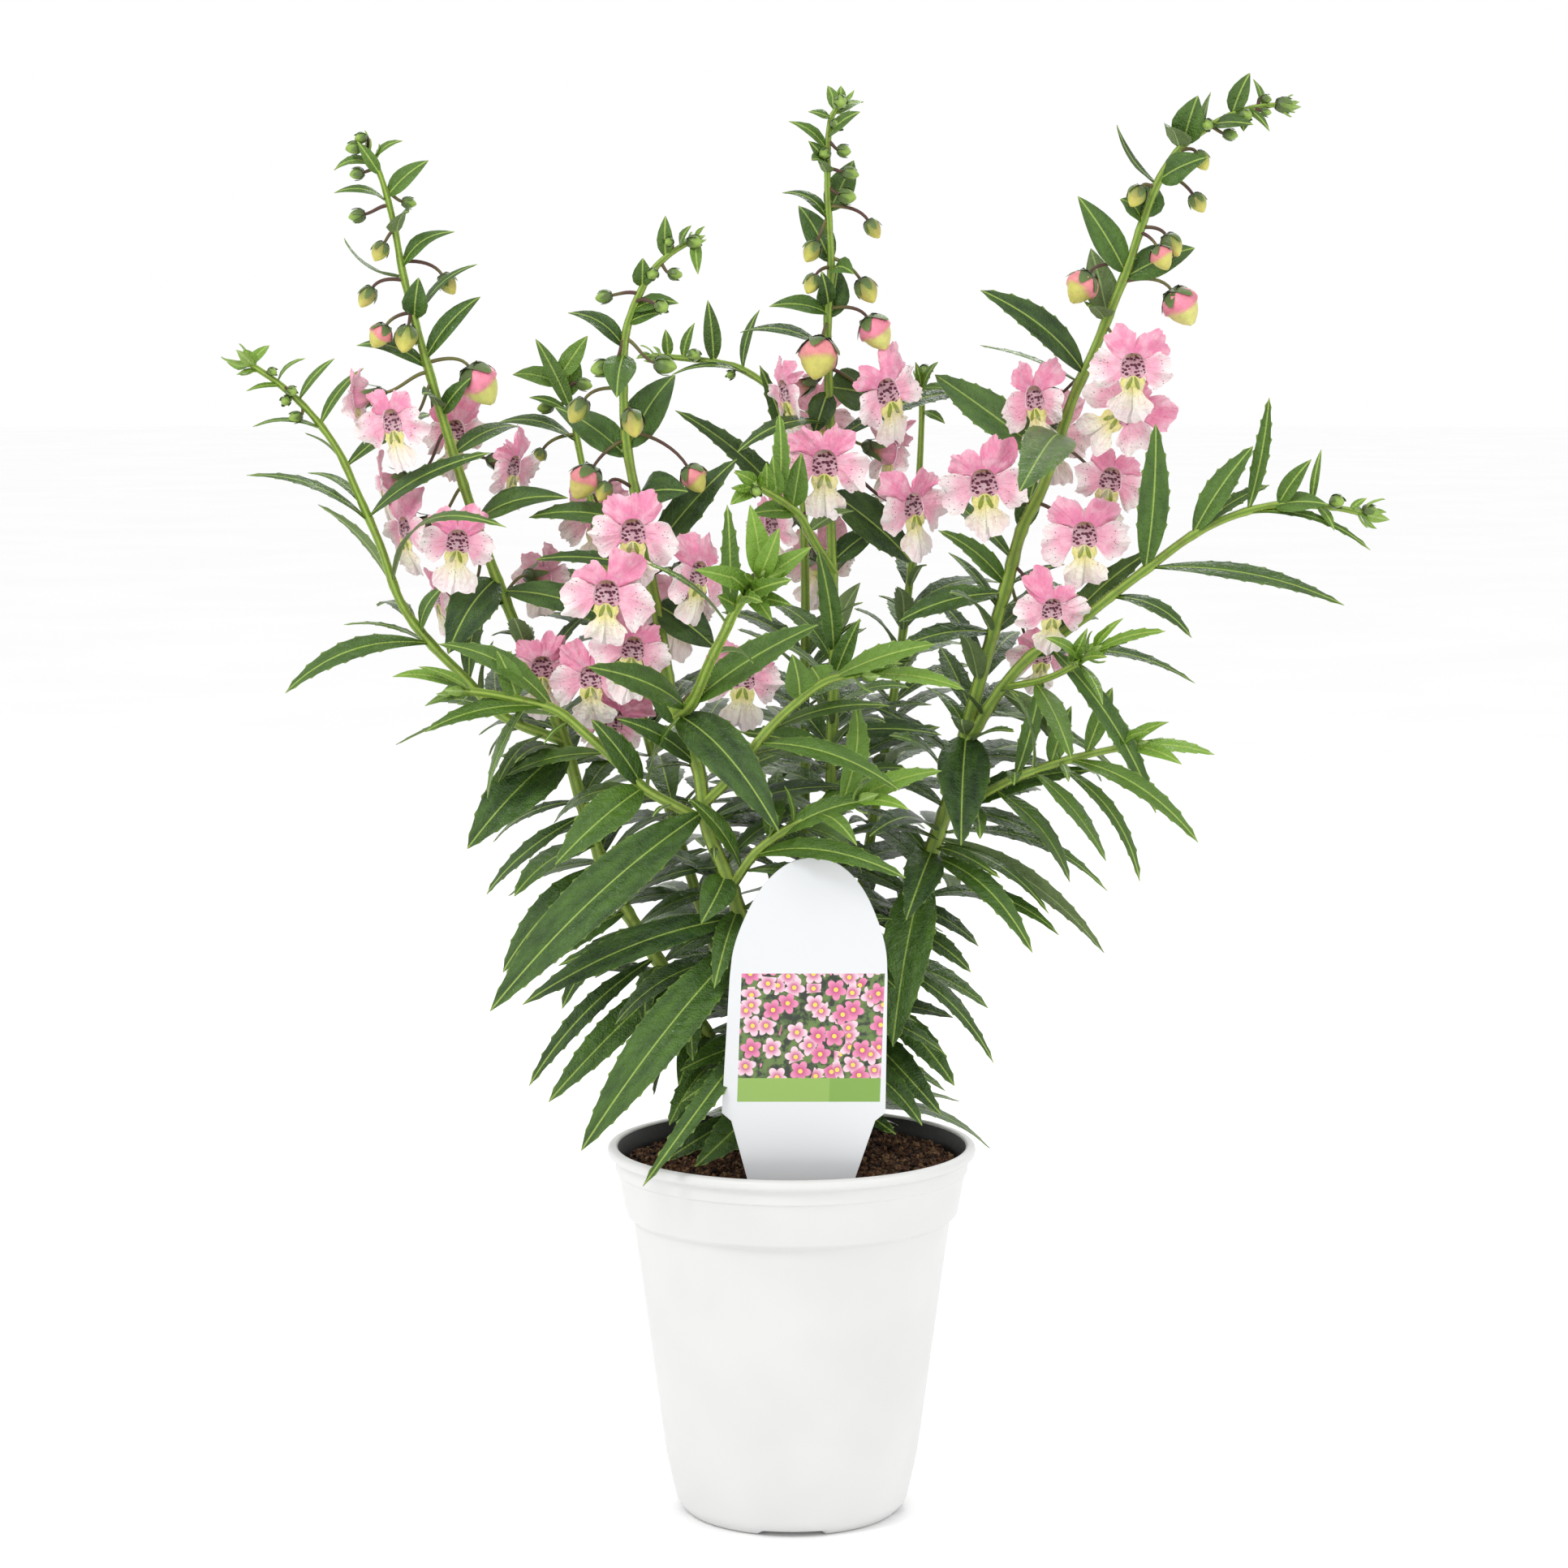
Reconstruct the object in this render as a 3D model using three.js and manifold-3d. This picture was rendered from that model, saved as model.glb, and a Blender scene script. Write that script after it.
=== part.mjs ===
// Potted summer snapdragon: leafy flower stems in peat, in a white grower pot with a label stake.
// Millimetres, +Z up. The origin is at the bottom centre of the whole plant's box. All shapes are
// laid out from the pot's axis, which stands a little to one side of it.
import * as THREE from "three";
import { mergeVertices } from "three/addons/utils/BufferGeometryUtils.js";
import Module from "manifold-3d";

const wasm = await Module();
wasm.setup();

// Driving dimensions
const POT_HEIGHT = 115.5;
const RIM_RADIUS = 57;
const COLLAR_TOP_RADIUS = 53.9;
const COLLAR_FOOT_RADIUS = 51.4;
const COLLAR_FOOT_HEIGHT = 91;
const WALL_TOP_RADIUS = 49.2;
const WALL_FOOT_RADIUS = 39.2;
const WALL_FOOT_HEIGHT = 18;
const WALL = 1.3;
const FOOT_RING = [25, 33];
const FLOOR = [1.8, 3.6];
const FOOT_NOTCH = { width: 16, height: 1.8, count: 4 };
const DRAIN_RADIUS = 4;
const POT_SIDES = 24;
const SOIL_HEIGHT = 103;
const SOIL_GAP = 0.5;
const CRUMB = 1.3;
const FIT_GAP = 0.3;
const FOOT_HEIGHT = 84;
const TAG = { depth: -38, thick: 0.8, middle: 2.4, lean: 0.036 };
const BLADE_THICK = 0.7;
const PEDICEL_RADIUS = 0.55;
const BLOOM_WIDTH = 27;
const CLEAR = 2.6;
const POT_AXIS = [-4.4, 7.4];
const OWN_EASE = 1.6;
const FOOT_REACH = 6;

// The plan is drawn on a board that stands square to the eye's line of sight, as the plant is seen
// from the front: across from the pot's axis, up from its foot, and the depth behind the axis.
const EYE = new THREE.Vector3(-2.4, -1240, 372);
const EYE_TILT = THREE.MathUtils.degToRad(6.65);
const EYE_TO_BOARD = 1253;
const EYE_ON_BOARD = [-2.5, 222];

function place(across, up, depth) {
  const a = across - EYE_ON_BOARD[0];
  const b = up - EYE_ON_BOARD[1];
  const ahead = EYE_TO_BOARD * Math.cos(EYE_TILT) + b * Math.sin(EYE_TILT);
  const rise = b * Math.cos(EYE_TILT) - EYE_TO_BOARD * Math.sin(EYE_TILT);
  const reach = (depth - EYE.y) / ahead;
  return new THREE.Vector3(EYE.x + a * reach, depth, EYE.z + rise * reach);
}

function onBoard(point) {
  const x = point.x - EYE.x;
  const y = point.y - EYE.y;
  const z = point.z - EYE.z;
  const along = y * Math.cos(EYE_TILT) - z * Math.sin(EYE_TILT);
  const rise = y * Math.sin(EYE_TILT) + z * Math.cos(EYE_TILT);
  const scale = EYE_TO_BOARD / along;
  return [x * scale + EYE_ON_BOARD[0], rise * scale + EYE_ON_BOARD[1]];
}

// The plan of each stem, read off the plant by hand. A shoot's path runs from its tip to its foot.
// path: across, up, depth. radius: at the tip and at the foot.
// leaves: foot across and up, tip across and up, tip's depth from the stem, width, arch as a share
// of the length, and how far the upper face turns from the sky (0) to the viewer (90).
// buds: foot across and up, bud across and up, depth from the stem, size, stage (0 green to 3 pink).
// blooms: foot across and up, throat across and up, depth from the stem, turn to the right, nod,
// roll clockwise, and width of the flower.
// rule: spare leaves on the far side: first and last height, spacing, first direction, length, width.
const PLAN = [
  {
    "node": "stem_front",
    "shoots": [
      {
        "radius": [0.7, 2.9],
        "path": [[-30, 390, -8], [-38, 385, -8], [-43, 380, -8], [-47, 373, -8], [-51, 362, -8],
          [-52, 348, -8], [-51, 327, -8], [-48, 310, -9], [-44, 287, -11], [-41, 272, -13],
          [-37, 248, -16], [-34, 240, -17], [-29, 227, -19], [-26, 208, -20], [-21, 196, -20],
          [-16, 181, -19], [-10, 150, -15], [-6, 120, -11], [-5, 98, -10]],
        "leaves": [
          [-51, 357, -69, 367, 0, 6, 0.18, 35], [-51, 355, -54, 341, -9, 8, 0.1, 70],
          [-50, 325, -36, 348, 6, 10, 0.1, 55], [-51, 325, -73, 338, 2, 9, 0.1, 50],
          [-48, 301, -81, 304, 4, 8, 0.12, 45], [-47, 310, -32, 312, -8, 10, 0.12, 50],
          [-44, 291, -17, 322, 2, 10, 0.08, 55], [-45, 290, -79, 291, 2, 5, 0.1, 40],
          [-41, 277, -24, 264, -3, 11, 0.1, 55], [-33, 227, -54, 242, -10, 7, 0.1, 50],
          [-34, 240, -45, 257, 6, 7, 0.08, 60], [-29, 213, -93, 152, -34, 15, 0.12, 55],
          [-17, 180, -83, 154, -20, 10, 0.15, 50], [-17, 178, -49, 173, -8, 5, 0.12, 30],
          [-17, 179, -72, 166, -14, 8, 0.15, 40], [-17, 173, -65, 109, -40, 14, 0.1, 60],
          [-17, 177, -24, 159, -14, 7.5, 0.12, 70], [-20, 194, -28, 179, -14, 10, 0.12, 70],
          [-11, 146, -46, 98, -40, 6, 0.12, 60], [-9, 136, -34, 124, -16, 8, 0.15, 60],
          [-34, 242, -4, 207, -24, 14, 0.2, 60], [-8, 126, -30, 104, -18, 11, 0.1, 70]],
        "buds": [
          [-32, 388, -30, 389, -2, 4, 0],
          [-48, 373, -58, 372, -2, 4, 0], [-47, 370, -40, 369, -13, 4, 0],
          [-49, 359, -39, 351, -4, 5.5, 0], [-52, 358, -59, 350, -4, 5, 0],
          [-53, 344, -66, 337, -4, 6.5, 1], [-51, 336, -49, 333, -9, 7, 1],
          [-52, 325, -64, 315, -4, 10, 2], [-50, 326, -30, 316, -6, 8, 2],
          [-49, 313, -58, 312, -6, 5, 1]],
        "blooms": [
          [-47, 305, -49, 300, -19, 0, -5, 0, 27], [-44, 290, -57, 281, -20, -8, -5, 3, 28],
          [-43, 290, -29, 287, -8, 45, -5, 5, 27], [-40, 272, -49, 264, -11, 10, 0, 10, 25],
          [-38, 262, -62, 255, -5, -12, -8, 0, 25], [-37, 255, -55, 242, 10, -10, -8, 20, 25],
          [-33, 246, -15, 255, -2, 10, -5, 5, 26], [-43, 285, -36, 276, 20, 160, -8, 0, 26]],
        "rule": [105, 245, 42, 60, 50, 8.8]
      },
      {
        "radius": [1.1, 1.7],
        "path": [[-103, 251, -28], [-94, 250, -28], [-84, 248, -27], [-73, 245, -26],
          [-63, 237, -24], [-49, 224, -20], [-46, 221, -19], [-28, 211, -19.5]],
        "leaves": [
          [-101, 251, -123, 255, -4, 5, 0.15, 30], [-85, 248, -91, 263, -6, 7, 0.1, 60], [-74, 245, -109, 270, -4, 8, 0.15, 40],
          [-76, 245, -113, 238, -4, 7, 0.1, 35], [-71, 242, -122, 234, 2, 5, 0.1, -30],
          [-46, 221, -73, 197, -14, 12, 0.15, 55], [-46, 221, -62, 242, -2, 8, 0.1, 50]],
        "buds": [],
        "blooms": []
      },
      {
        "radius": [1.2, 1.9],
        "path": [[-9, 286, -68], [-16, 278, -58], [-21, 268, -48], [-25, 260, -38],
          [-31, 247, -24], [-36, 243, -16.5]],
        "leaves": [
          [-10, 286, -13, 308, -6, 7, 0.1, 75], [-9, 286, -4, 301, -14, 5.5, 0.1, 75],
          [-9, 285, 6, 295, -8, 6, 0.1, 75], [-10, 285, -30, 288, -8, 6, 0.1, 75],
          [-9, 284, -6, 272, -12, 5.5, 0.1, 75], [-19, 271, -45, 290, -16, 4, 0.08, 20],
          [-14, 279, 0, 277, -10, 5, 0.1, 60], [-33, 246, -63, 258, -24, 9, 0.1, 60], [-31, 247, 8, 271, -12, 10, 0.1, 55],
          [-20, 272, -20, 308, -2, 5, 0.08, 60]],
        "buds": [[-9, 286, -9, 286, -2, 4, 0]],
        "blooms": []
      },
      {
        "radius": [1, 1.7],
        "path": [[22, 256, -44], [11, 254, -42], [0, 246, -38], [-8, 238, -34], [-19, 224, -26],
          [-27, 216, -19.5]],
        "leaves": [
          [20, 256, 53, 251, 0, 6, 0.1, 30], [14, 255, 44, 273, 6, 7, 0.1, 45],
          [12, 254, 34, 264, -6, 5, 0.1, 40], [9, 253, 6, 266, -10, 10, 0.1, 75],
          [3, 248, 0, 262, -6, 8, 0.1, 60], [-11, 235, 33, 220, -10, 7, 0.12, 40],
          [-8, 238, 30, 246, 4, 5, 0.1, 30]],
        "buds": [],
        "blooms": []
      },
      {
        "radius": [1, 1.6],
        "path": [[21, 217, -34], [4, 211, -31], [-10, 202, -27], [-19, 190, -19.5]],
        "leaves": [
          [-12, 200, 35, 193, -24, 8, 0.15, 35], [-4, 208, 26, 217, -6, 7, 0.1, 50],
          [18, 216, 46, 226, 0, 7, 0.1, 40], [8, 213, 20, 203, -12, 5, 0.15, 40],
          [20, 217, 36, 214, -6, 5, 0.1, 40]],
        "buds": [],
        "blooms": []
      }
    ]
  },
  {
    "node": "stem_left",
    "shoots": [
      {
        "radius": [0.7, 2.6],
        "path": [[-131, 418, 4], [-127, 410, 4], [-123, 396, 4], [-120, 380, 4], [-116, 364, 3],
          [-110, 343, 2], [-104, 323, 2], [-95, 296, 1], [-84, 268, 0], [-71, 238, 0],
          [-64, 214, 1], [-55, 190, 3], [-44, 172, 5], [-28, 148, 7], [-17, 126, 8], [-12, 98, 8]],
        "leaves": [
          [-128, 413, -141, 411, 0, 3.5, 0.2, 30], [-124, 403, -112, 414, 0, 5.5, 0.1, 50],
          [-125, 402, -141, 404, 0, 3.5, 0.15, 10], [-123, 392, -118, 398, -10, 7, 0.2, 20],
          [-121, 378, -138, 390, 2, 3.5, -0.15, -20], [-119, 381, -104, 392, 0, 5, 0.2, 40],
          [-117, 366, -115, 378, -6, 6.5, 0.15, 60], [-115, 364, -97, 377, 0, 4, 0.12, 20],
          [-112, 354, -96, 372, 0, 5.5, 0.1, 45], [-114, 350, -134, 357, -4, 5, 0.15, 35],
          [-109, 337, -114, 342, -10, 7, 0.2, 10], [-102, 325, -84, 332, 8, 6, 0.15, 30], [-95, 304, -69, 320, 10, 8, 0.15, 40],
          [-88, 282, -54, 271, -6, 9, 0.12, 50],
          [-92, 284, -106, 262, -16, 13, 0.2, 70], [-71, 233, -100, 202, -22, 16, 0.12, 60],
          [-58, 197, -89, 164, -8, 10, 0.12, 50], [-50, 184, -79, 165, -16, 6.5, 0.12, 50],
          [-36, 162, -75, 124, -26, 9.5, 0.12, 55], [-40, 170, -81, 129, -12, 6, 0.12, 50],
          [-26, 145, -35, 129, -18, 9, 0.12, 70], [-24, 138, -36, 113, -6, 10, 0.1, 75],
          [-64, 212, -94, 188, 8, 5.5, 0.12, 40], [-65, 216, -92, 204, 12, 4, 0.12, 30],
          [-15, 120, -39, 106, -10, 6.5, 0.1, 60]],
        "buds": [
          [-130, 416, -135, 418, -2, 4, 0],
          [-125, 402, -134, 397, 0, 4, 0], [-123, 392, -127, 386, -3, 5, 1],
          [-119, 382, -106, 376, 0, 5.5, 1], [-121, 378, -131, 372, -2, 5.5, 1],
          [-118, 367, -127, 360, -3, 7, 2], [-116, 366, -119, 359, -5, 7, 1],
          [-112, 352, -96, 345, 0, 12, 3]],
        "blooms": [
          [-116, 350, -134, 341, -2, -100, -10, 0, 22], [-113, 345, -123, 334, -12, -35, -8, -8, 26],
          [-112, 349, -104, 331, 14, 30, -5, 0, 24], [-106, 330, -126, 315, 13, -80, -10, 0, 21],
          [-101, 314, -119, 301, 2, -55, -10, 0, 26], [-98, 306, -103, 297, -17, 5, -5, 5, 25],
          [-102, 323, -86, 320, 2, 60, -12, 0, 24], [-97, 296, -109, 280, 6, -70, -12, 0, 22],
          [-88, 280, -77, 286, 14, 150, -5, 0, 22], [-82, 262, -77, 258, -12, 10, -5, 0, 25]],
        "rule": [115, 250, 42, 120, 48, 8.8]
      },
      {
        "radius": [0.8, 1.7],
        "path": [[-168, 352, 6], [-159, 346, 6], [-149, 337, 6], [-140, 325, 5], [-134, 312, 5],
          [-127, 296, 4], [-120, 277, 3], [-111, 265, 2], [-101, 255, 2], [-89, 243, 1],
          [-70, 235, 0]],
        "leaves": [
          [-166, 350, -169, 356, -3, 4, 0.1, 60], [-164, 349, -171, 348, 0, 3, 0.1, 20], [-152, 340, -141, 353, 0, 3.5, 0.1, 30],
          [-144, 332, -166, 332, 0, 3.5, 0.12, 10],
          [-138, 321, -150, 330, 6, 4, 0.1, -30], [-136, 321, -111, 336, -4, 5.5, 0.12, 40],
          [-130, 303, -168, 317, 0, 5, 0.12, 15], [-128, 304, -93, 324, -10, 6, 0.12, 45],
          [-121, 284, -146, 308, 6, 5, 0.1, -40], [-121, 285, -88, 287, -28, 5, 0.18, 30],
          [-111, 266, -156, 250, -6, 7, 0.2, 40], [-112, 265, -138, 271, 10, 3, 0.1, 0],
          [-113, 270, -107, 283, 8, 6, 0.1, 50], [-90, 244, -112, 247, 14, 5, 0.1, 30]],
        "buds": [
          ],
        "blooms": [],
        "rule": [235, 310, 36, 50, 34, 6]
      }
    ]
  },
  {
    "node": "stem_centre",
    "shoots": [
      {
        "radius": [0.7, 2.4],
        "path": [[15, 432, 4], [12, 427, 4], [11, 417, 4], [11, 403, 4], [12, 381, 4],
          [11, 366, 4], [11, 356, 4], [12, 323, 4], [12, 303, 4], [13, 263, 4], [12, 226, 4],
          [12, 206, 4], [9, 150, 5], [5, 120, 6], [4, 98, 7]],
        "leaves": [
          [11, 398, 19, 414, 2, 7, 0.08, 60], [11, 382, 2, 400, 0, 7, 0.08, 60], [11, 367, -7, 369, -6, 6, 0.15, 40], [12, 366, 14, 381, 6, 8, 0.08, 65],
          [11, 355, -16, 361, 2, 4.5, 0.15, 20],
          [11, 344, 25, 341, -4, 11, 0.1, 65], [11, 343, 7, 330, -2, 7, 0.1, 70],
          [11, 333, -17, 334, -6, 5.5, 0.12, 30], [12, 327, 56, 328, 10, 6, 0.1, 35],
          [12, 312, 37, 290, -8, 12, 0.12, 60], [13, 291, 27, 301, 6, 8, 0.1, 50],
          [12, 237, 46, 237, -12, 8, 0.08, 35], [12, 262, 8, 294, -8, 6, 0.1, 65],
          [13, 269, 21, 284, 10, 7, 0.1, -60], [13, 255, 21, 273, -6, 6, 0.1, 60],
          [12, 232, -16, 238, -10, 8, 0.1, 50], [12, 212, 34, 226, -6, 7, 0.1, 45]],
        "buds": [
          [14, 431, 15, 432, -3, 4, 0], [11, 412, 18, 410, -2, 4, 0], [11, 406, 17, 403, -3, 4.5, 0],
          [12, 399, 25, 393, -2, 5, 1], [11, 398, 6, 386, -3, 5.5, 1],
          [11, 381, 6, 376, -5, 5, 1], [12, 382, 23, 374, -4, 6.5, 1],
          [12, 367, 26, 361, -4, 10, 3], [11, 364, 8, 353, -9, 12, 2]],
        "blooms": [
          [11, 351, -2, 343, -3, -65, -15, 0, 27], [12, 350, 29, 343, -6, 35, -5, -20, 29],
          [12, 332, 10, 321, -18, -3, -5, 0, 29], [12, 330, 30, 324, 14, 120, -15, 0, 25],
          [12, 322, 37, 308, -4, 40, -5, -12, 27], [12, 312, -6, 302, 4, -50, -10, 0, 24],
          [12, 345, 8, 335, 26, 185, -8, 0, 26]],
        "rule": [110, 300, 44, 30, 50, 8.8]
      },
      {
        "radius": [1, 1.6],
        "path": [[-12, 314, -32], [-6, 311, -24], [2, 305, -14], [6, 298, -6], [13, 287, 4]],
        "leaves": [
          [-4, 310, -4, 336, -4, 4.5, 0.08, 60], [0, 307, 3, 324, -6, 7, 0.1, 65],
          [1, 306, -13, 305, -8, 7, 0.1, 50]],
        "buds": [],
        "blooms": []
      }
    ]
  },
  {
    "node": "stem_right",
    "shoots": [
      {
        "radius": [0.7, 2.9],
        "path": [[153, 431, -4], [146, 431, -4], [135, 428, -4], [122, 420, -3], [118, 416, -3],
          [113, 408, -2], [108, 395, -1], [103, 380, 0], [99, 370, 0], [92, 353, 1], [87, 342, 1],
          [77, 313, 2], [71, 301, 2], [66, 283, 2], [57, 251, 3], [48, 216, 4], [44, 204, 4],
          [38, 188, 4], [24, 150, 5], [15, 122, 6], [12, 98, 6]],
        "leaves": [
          [126, 424, 129, 440, 0, 3, 0.05, 10], [136, 429, 141, 441, -2, 5, 0.1, 60],
          [119, 420, 125, 434, -4, 8, 0.1, 60],
          [119, 418, 116, 424, -10, 8, 0.2, 10], [112, 408, 100, 425, 2, 3, -0.1, 10], [114, 408, 128, 415, -4, 8, 0.1, 60],
          [108, 396, 111, 407, 5, 8, 0.1, 65], [107, 395, 101, 402, -10, 8, 0.2, 20],
          [101, 380, 88, 403, -4, 8, 0.1, 60], [97, 367, 92, 387, 5, 8, 0.05, -60],
          [103, 379, 124, 387, -4, 8.5, 0.12, 55], [97, 366, 91, 369, -9, 8, 0.2, -20],
          [88, 349, 58, 366, -6, 9.5, 0.1, 60], [87, 346, 58, 357, 10, 3, 0.05, 0],
          [80, 322, 44, 348, 8, 11.5, 0.05, 60], [83, 330, 70, 312, -32, 14, 0.1, 60],
          [68, 291, 41, 313, 10, 6, 0.08, 20], [71, 300, 75, 316, 10, 7, 0.1, 50],
          [66, 284, 45, 300, 4, 7, 0.1, 45], [65, 280, 33, 272, -4, 8, 0.1, 45],
          [62, 268, 30, 262, -10, 7, 0.1, 40], [48, 212, 92, 226, -12, 8, 0.1, 45],
          [46, 206, 97, 189, -10, 5.5, 0.15, 20], [46, 205, 96, 170, -14, 8, 0.12, -50],
          [45, 205, 79, 182, 6, 4.5, 0.12, 10], [43, 200, 74, 170, -20, 7, 0.2, 50],
          [45, 203, 64, 193, -22, 4, 0.1, 40], [56, 236, 52, 203, -26, 15, 0.12, 75],
          [40, 196, 31, 141, -30, 14, 0.12, 75], [46, 204, 35, 180, -26, 11, 0.12, 70],
          [35, 178, 55, 164, -12, 6.5, 0.12, 40], [32, 166, 62, 136, -10, 5, 0.12, 25],
          [26, 154, 50, 129, -18, 8, 0.12, 50], [22, 146, 46, 120, -24, 10, 0.12, 60],
          [15, 121, 32, 106, -22, 7, 0.15, 50]],
        "buds": [
          [151, 431, 152, 431, 0, 5, 0],
          [119, 417, 126, 414, -3, 5, 1], [113, 408, 125, 401, -2, 5, 1],
          [112, 409, 106, 403, -4, 5.5, 1], [108, 394, 117, 388, -2, 6, 1],
          [107, 392, 114, 384, -7, 7, 2], [102, 380, 89, 375, -4, 9.5, 2],
          [103, 379, 120, 369, -3, 11, 3]],
        "blooms": [
          [87, 349, 75, 341, -2, -45, -5, -5, 27], [96, 364, 105, 351, -18, 5, -5, 0, 27],
          [90, 348, 103, 337, -7, -15, 0, 55, 27], [74, 308, 59, 315, -14, -3, -10, -5, 30],
          [82, 326, 98, 316, 0, 15, -5, 12, 26], [74, 309, 90, 299, -13, 5, -5, 0, 28],
          [68, 291, 80, 276, -16, 15, -12, 0, 24], [66, 284, 77, 262, 4, 20, -15, 0, 22],
          [85, 336, 80, 330, 20, 190, -8, 0, 26]],
        "rule": [112, 262, 42, 80, 50, 8.8]
      },
      {
        "radius": [0.8, 2],
        "path": [[177, 305, -6], [168, 307, -7], [150, 308, -8], [137, 305, -8], [124, 299, -8],
          [109, 288, -8], [101, 282, -7], [91, 274, -6], [80, 266, -4], [73, 261, -2],
          [65, 252, 0], [55, 236, 2], [51, 226, 3.5]],
        "leaves": [
          [109, 288, 112, 333, -2, 8.5, 0.05, 75], [111, 288, 170, 277, -6, 7, 0.1, 30],
          [123, 300, 142, 326, -2, 7.5, 0.08, 60], [140, 308, 147, 341, 2, 4.5, -0.08, 30],
          [123, 299, 147, 314, 4, 5, 0.1, 30], [140, 304, 178, 294, -4, 4, 0.12, 20],
          [150, 308, 160, 322, -2, 5.5, 0.08, 55], [150, 306, 165, 308, -6, 7, 0.1, 55],
          [98, 280, 123, 267, -6, 5.5, 0.15, 30], [82, 267, 111, 294, -6, 7.5, 0.06, 45],
          [73, 261, 124, 253, -4, 5, 0.12, 25], [79, 264, 112, 213, -14, 6.5, 0.15, 40],
          [64, 251, 82, 230, -14, 7.5, 0.15, -50], [60, 245, 102, 224, -2, 5, 0.1, 20],
          [174, 306, 179, 303, 0, 2.5, 0.1, 30]],
        "buds": [[166, 307, 168, 309, -3, 4, 0], [176, 305, 178, 306, 0, 4, 0]],
        "blooms": [],
        "rule": [240, 300, 34, 70, 42, 6]
      },
      {
        "radius": [0.9, 1.2],
        "path": [[93, 263, -17], [86, 258, -14], [77, 254, -8], [67, 252, -1]],
        "leaves": [
          [91, 262, 115, 269, 0, 4, 0.1, 30]],
        "buds": [],
        "blooms": []
      },
      {
        "radius": [1, 1.6],
        "path": [[105, 234, -15], [91, 231, -14], [80, 228, -12], [69, 224, -9], [63, 221, -6],
          [47, 212, 4]],
        "leaves": [
          [105, 234, 130, 231, -2, 5, 0.1, 35],
          [104, 233, 120, 228, -6, 5, 0.1, 45], [69, 224, 77, 255, 4, 5, 0.05, 50],
          [80, 228, 86, 246, 2, 6, 0.08, 50], [86, 229, 125, 204, -8, 6.5, 0.15, 35],
          [80, 228, 107, 192, -6, 5, 0.15, 20]],
        "buds": [],
        "blooms": []
      }
    ]
  },
  {
    "node": "stem_back_left",
    "shoots": [
      {
        "radius": [0.8, 2.2],
        "path": [[-72, 347, 35], [-68, 338, 35], [-66, 327, 34], [-63, 313, 32], [-55, 280, 28],
          [-44, 235, 25], [-30, 190, 22], [-14, 140, 19], [-8, 98, 18]],
        "leaves": [
          [-71, 345, -86, 348, 0, 6, 0.12, 45],
          [-69, 341, -68, 357, 0, 7, 0.1, 60], [-70, 346, -63, 360, 0, 5.5, 0.1, 60],
          [-66, 327, -91, 333, 0, 5, 0.15, 20]],
        "buds": [[-69, 343, -64, 345, -2, 4, 0], [-69, 341, -76, 338, -2, 4, 0],
          [-66, 328, -78, 323, -3, 4, 1]],
        "blooms": [[-63, 314, -60, 304, 18, 190, -8, 0, 26]],
        "rule": [120, 290, 30, 100, 46, 8]
      }
    ]
  },
  {
    "node": "stem_back_centre",
    "shoots": [
      {
        "radius": [0.8, 2.2],
        "path": [[-43, 354, 45], [-32, 353, 44], [-24, 352, 42], [-16, 350, 40], [-4, 341, 36],
          [2, 325, 32], [4, 290, 27], [4, 240, 23], [4, 190, 21], [4, 140, 20], [3, 98, 20]],
        "leaves": [
          [-24, 352, -26, 371, 0, 4.5, 0.08, 50], [3, 300, -36, 337, -6, 8, 0.08, 45],
          [3, 310, -10, 351, -4, 6, 0.05, 50], [-43, 354, -48, 353, -2, 3, 0.1, 30]],
        "buds": [[-31, 353, -30, 354, -3, 4, 0]],
        "blooms": [[3, 300, 8, 292, 18, 175, -8, 0, 26]],
        "rule": [110, 280, 30, 60, 46, 8]
      }
    ]
  },
  {
    "node": "stem_back_right",
    "shoots": [
      {
        "radius": [0.8, 2.2],
        "path": [[40, 346, 40], [40, 335, 38], [38, 300, 34], [33, 260, 30], [25, 210, 26],
          [15, 150, 21], [11, 98, 19]],
        "leaves": [
          ],
        "buds": [[40, 346, 41, 349, -3, 4, 0]],
        "blooms": [],
        "rule": [120, 325, 30, 20, 46, 8]
      }
    ]
  }
];

// Turning and bending steps by which a leaf gets clear of what belongs to other stems: the tip's
// change in depth and in height.
const BENDS = [[0, 0], [-5, 0], [5, 0], [-10, 0], [10, 0], [0, 5], [0, -5], [-7, 5], [7, 5],
  [-7, -5], [7, -5], [-16, 0], [16, 0], [-12, 8], [12, 8], [-12, -8], [12, -8], [-22, 0], [22, 0],
  [-18, 10], [18, 10], [-18, -10], [18, -10], [-28, 0], [28, 0], [-24, 14], [24, 14]];

// Outlines of a blade: share of the length and share of the half width, with forward teeth on the
// larger leaves.
const OUTLINES = [
  { upTo: 4.1, stations: [[0.42, 1]] },
  { upTo: 9.8, stations: [[0.33, 1], [0.68, 0.7]] },
  { upTo: 99, stations: [[0.3, 0.97], [0.58, 1], [0.61, 0.76]] }
];

// Seeded random numbers from 0 to 1
function randomFrom(seed) {
  let state = seed;
  return () => {
    state = (state * 16807) % 2147483647;
    return state / 2147483647;
  };
}

// Solids and their meshes
function solid(points, triangles) {
  const vertProperties = new Float32Array(points.flatMap((p) => [p.x, p.y, p.z]));
  const triVerts = new Uint32Array(triangles.flat());
  const made = new wasm.Manifold(new wasm.Mesh({ numProp: 3, vertProperties, triVerts }));
  if (made.volume() > 0) {
    return made;
  }
  const turned = new Uint32Array(triangles.map(([a, b, c]) => [a, c, b]).flat());
  return new wasm.Manifold(new wasm.Mesh({ numProp: 3, vertProperties, triVerts: turned }));
}

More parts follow.
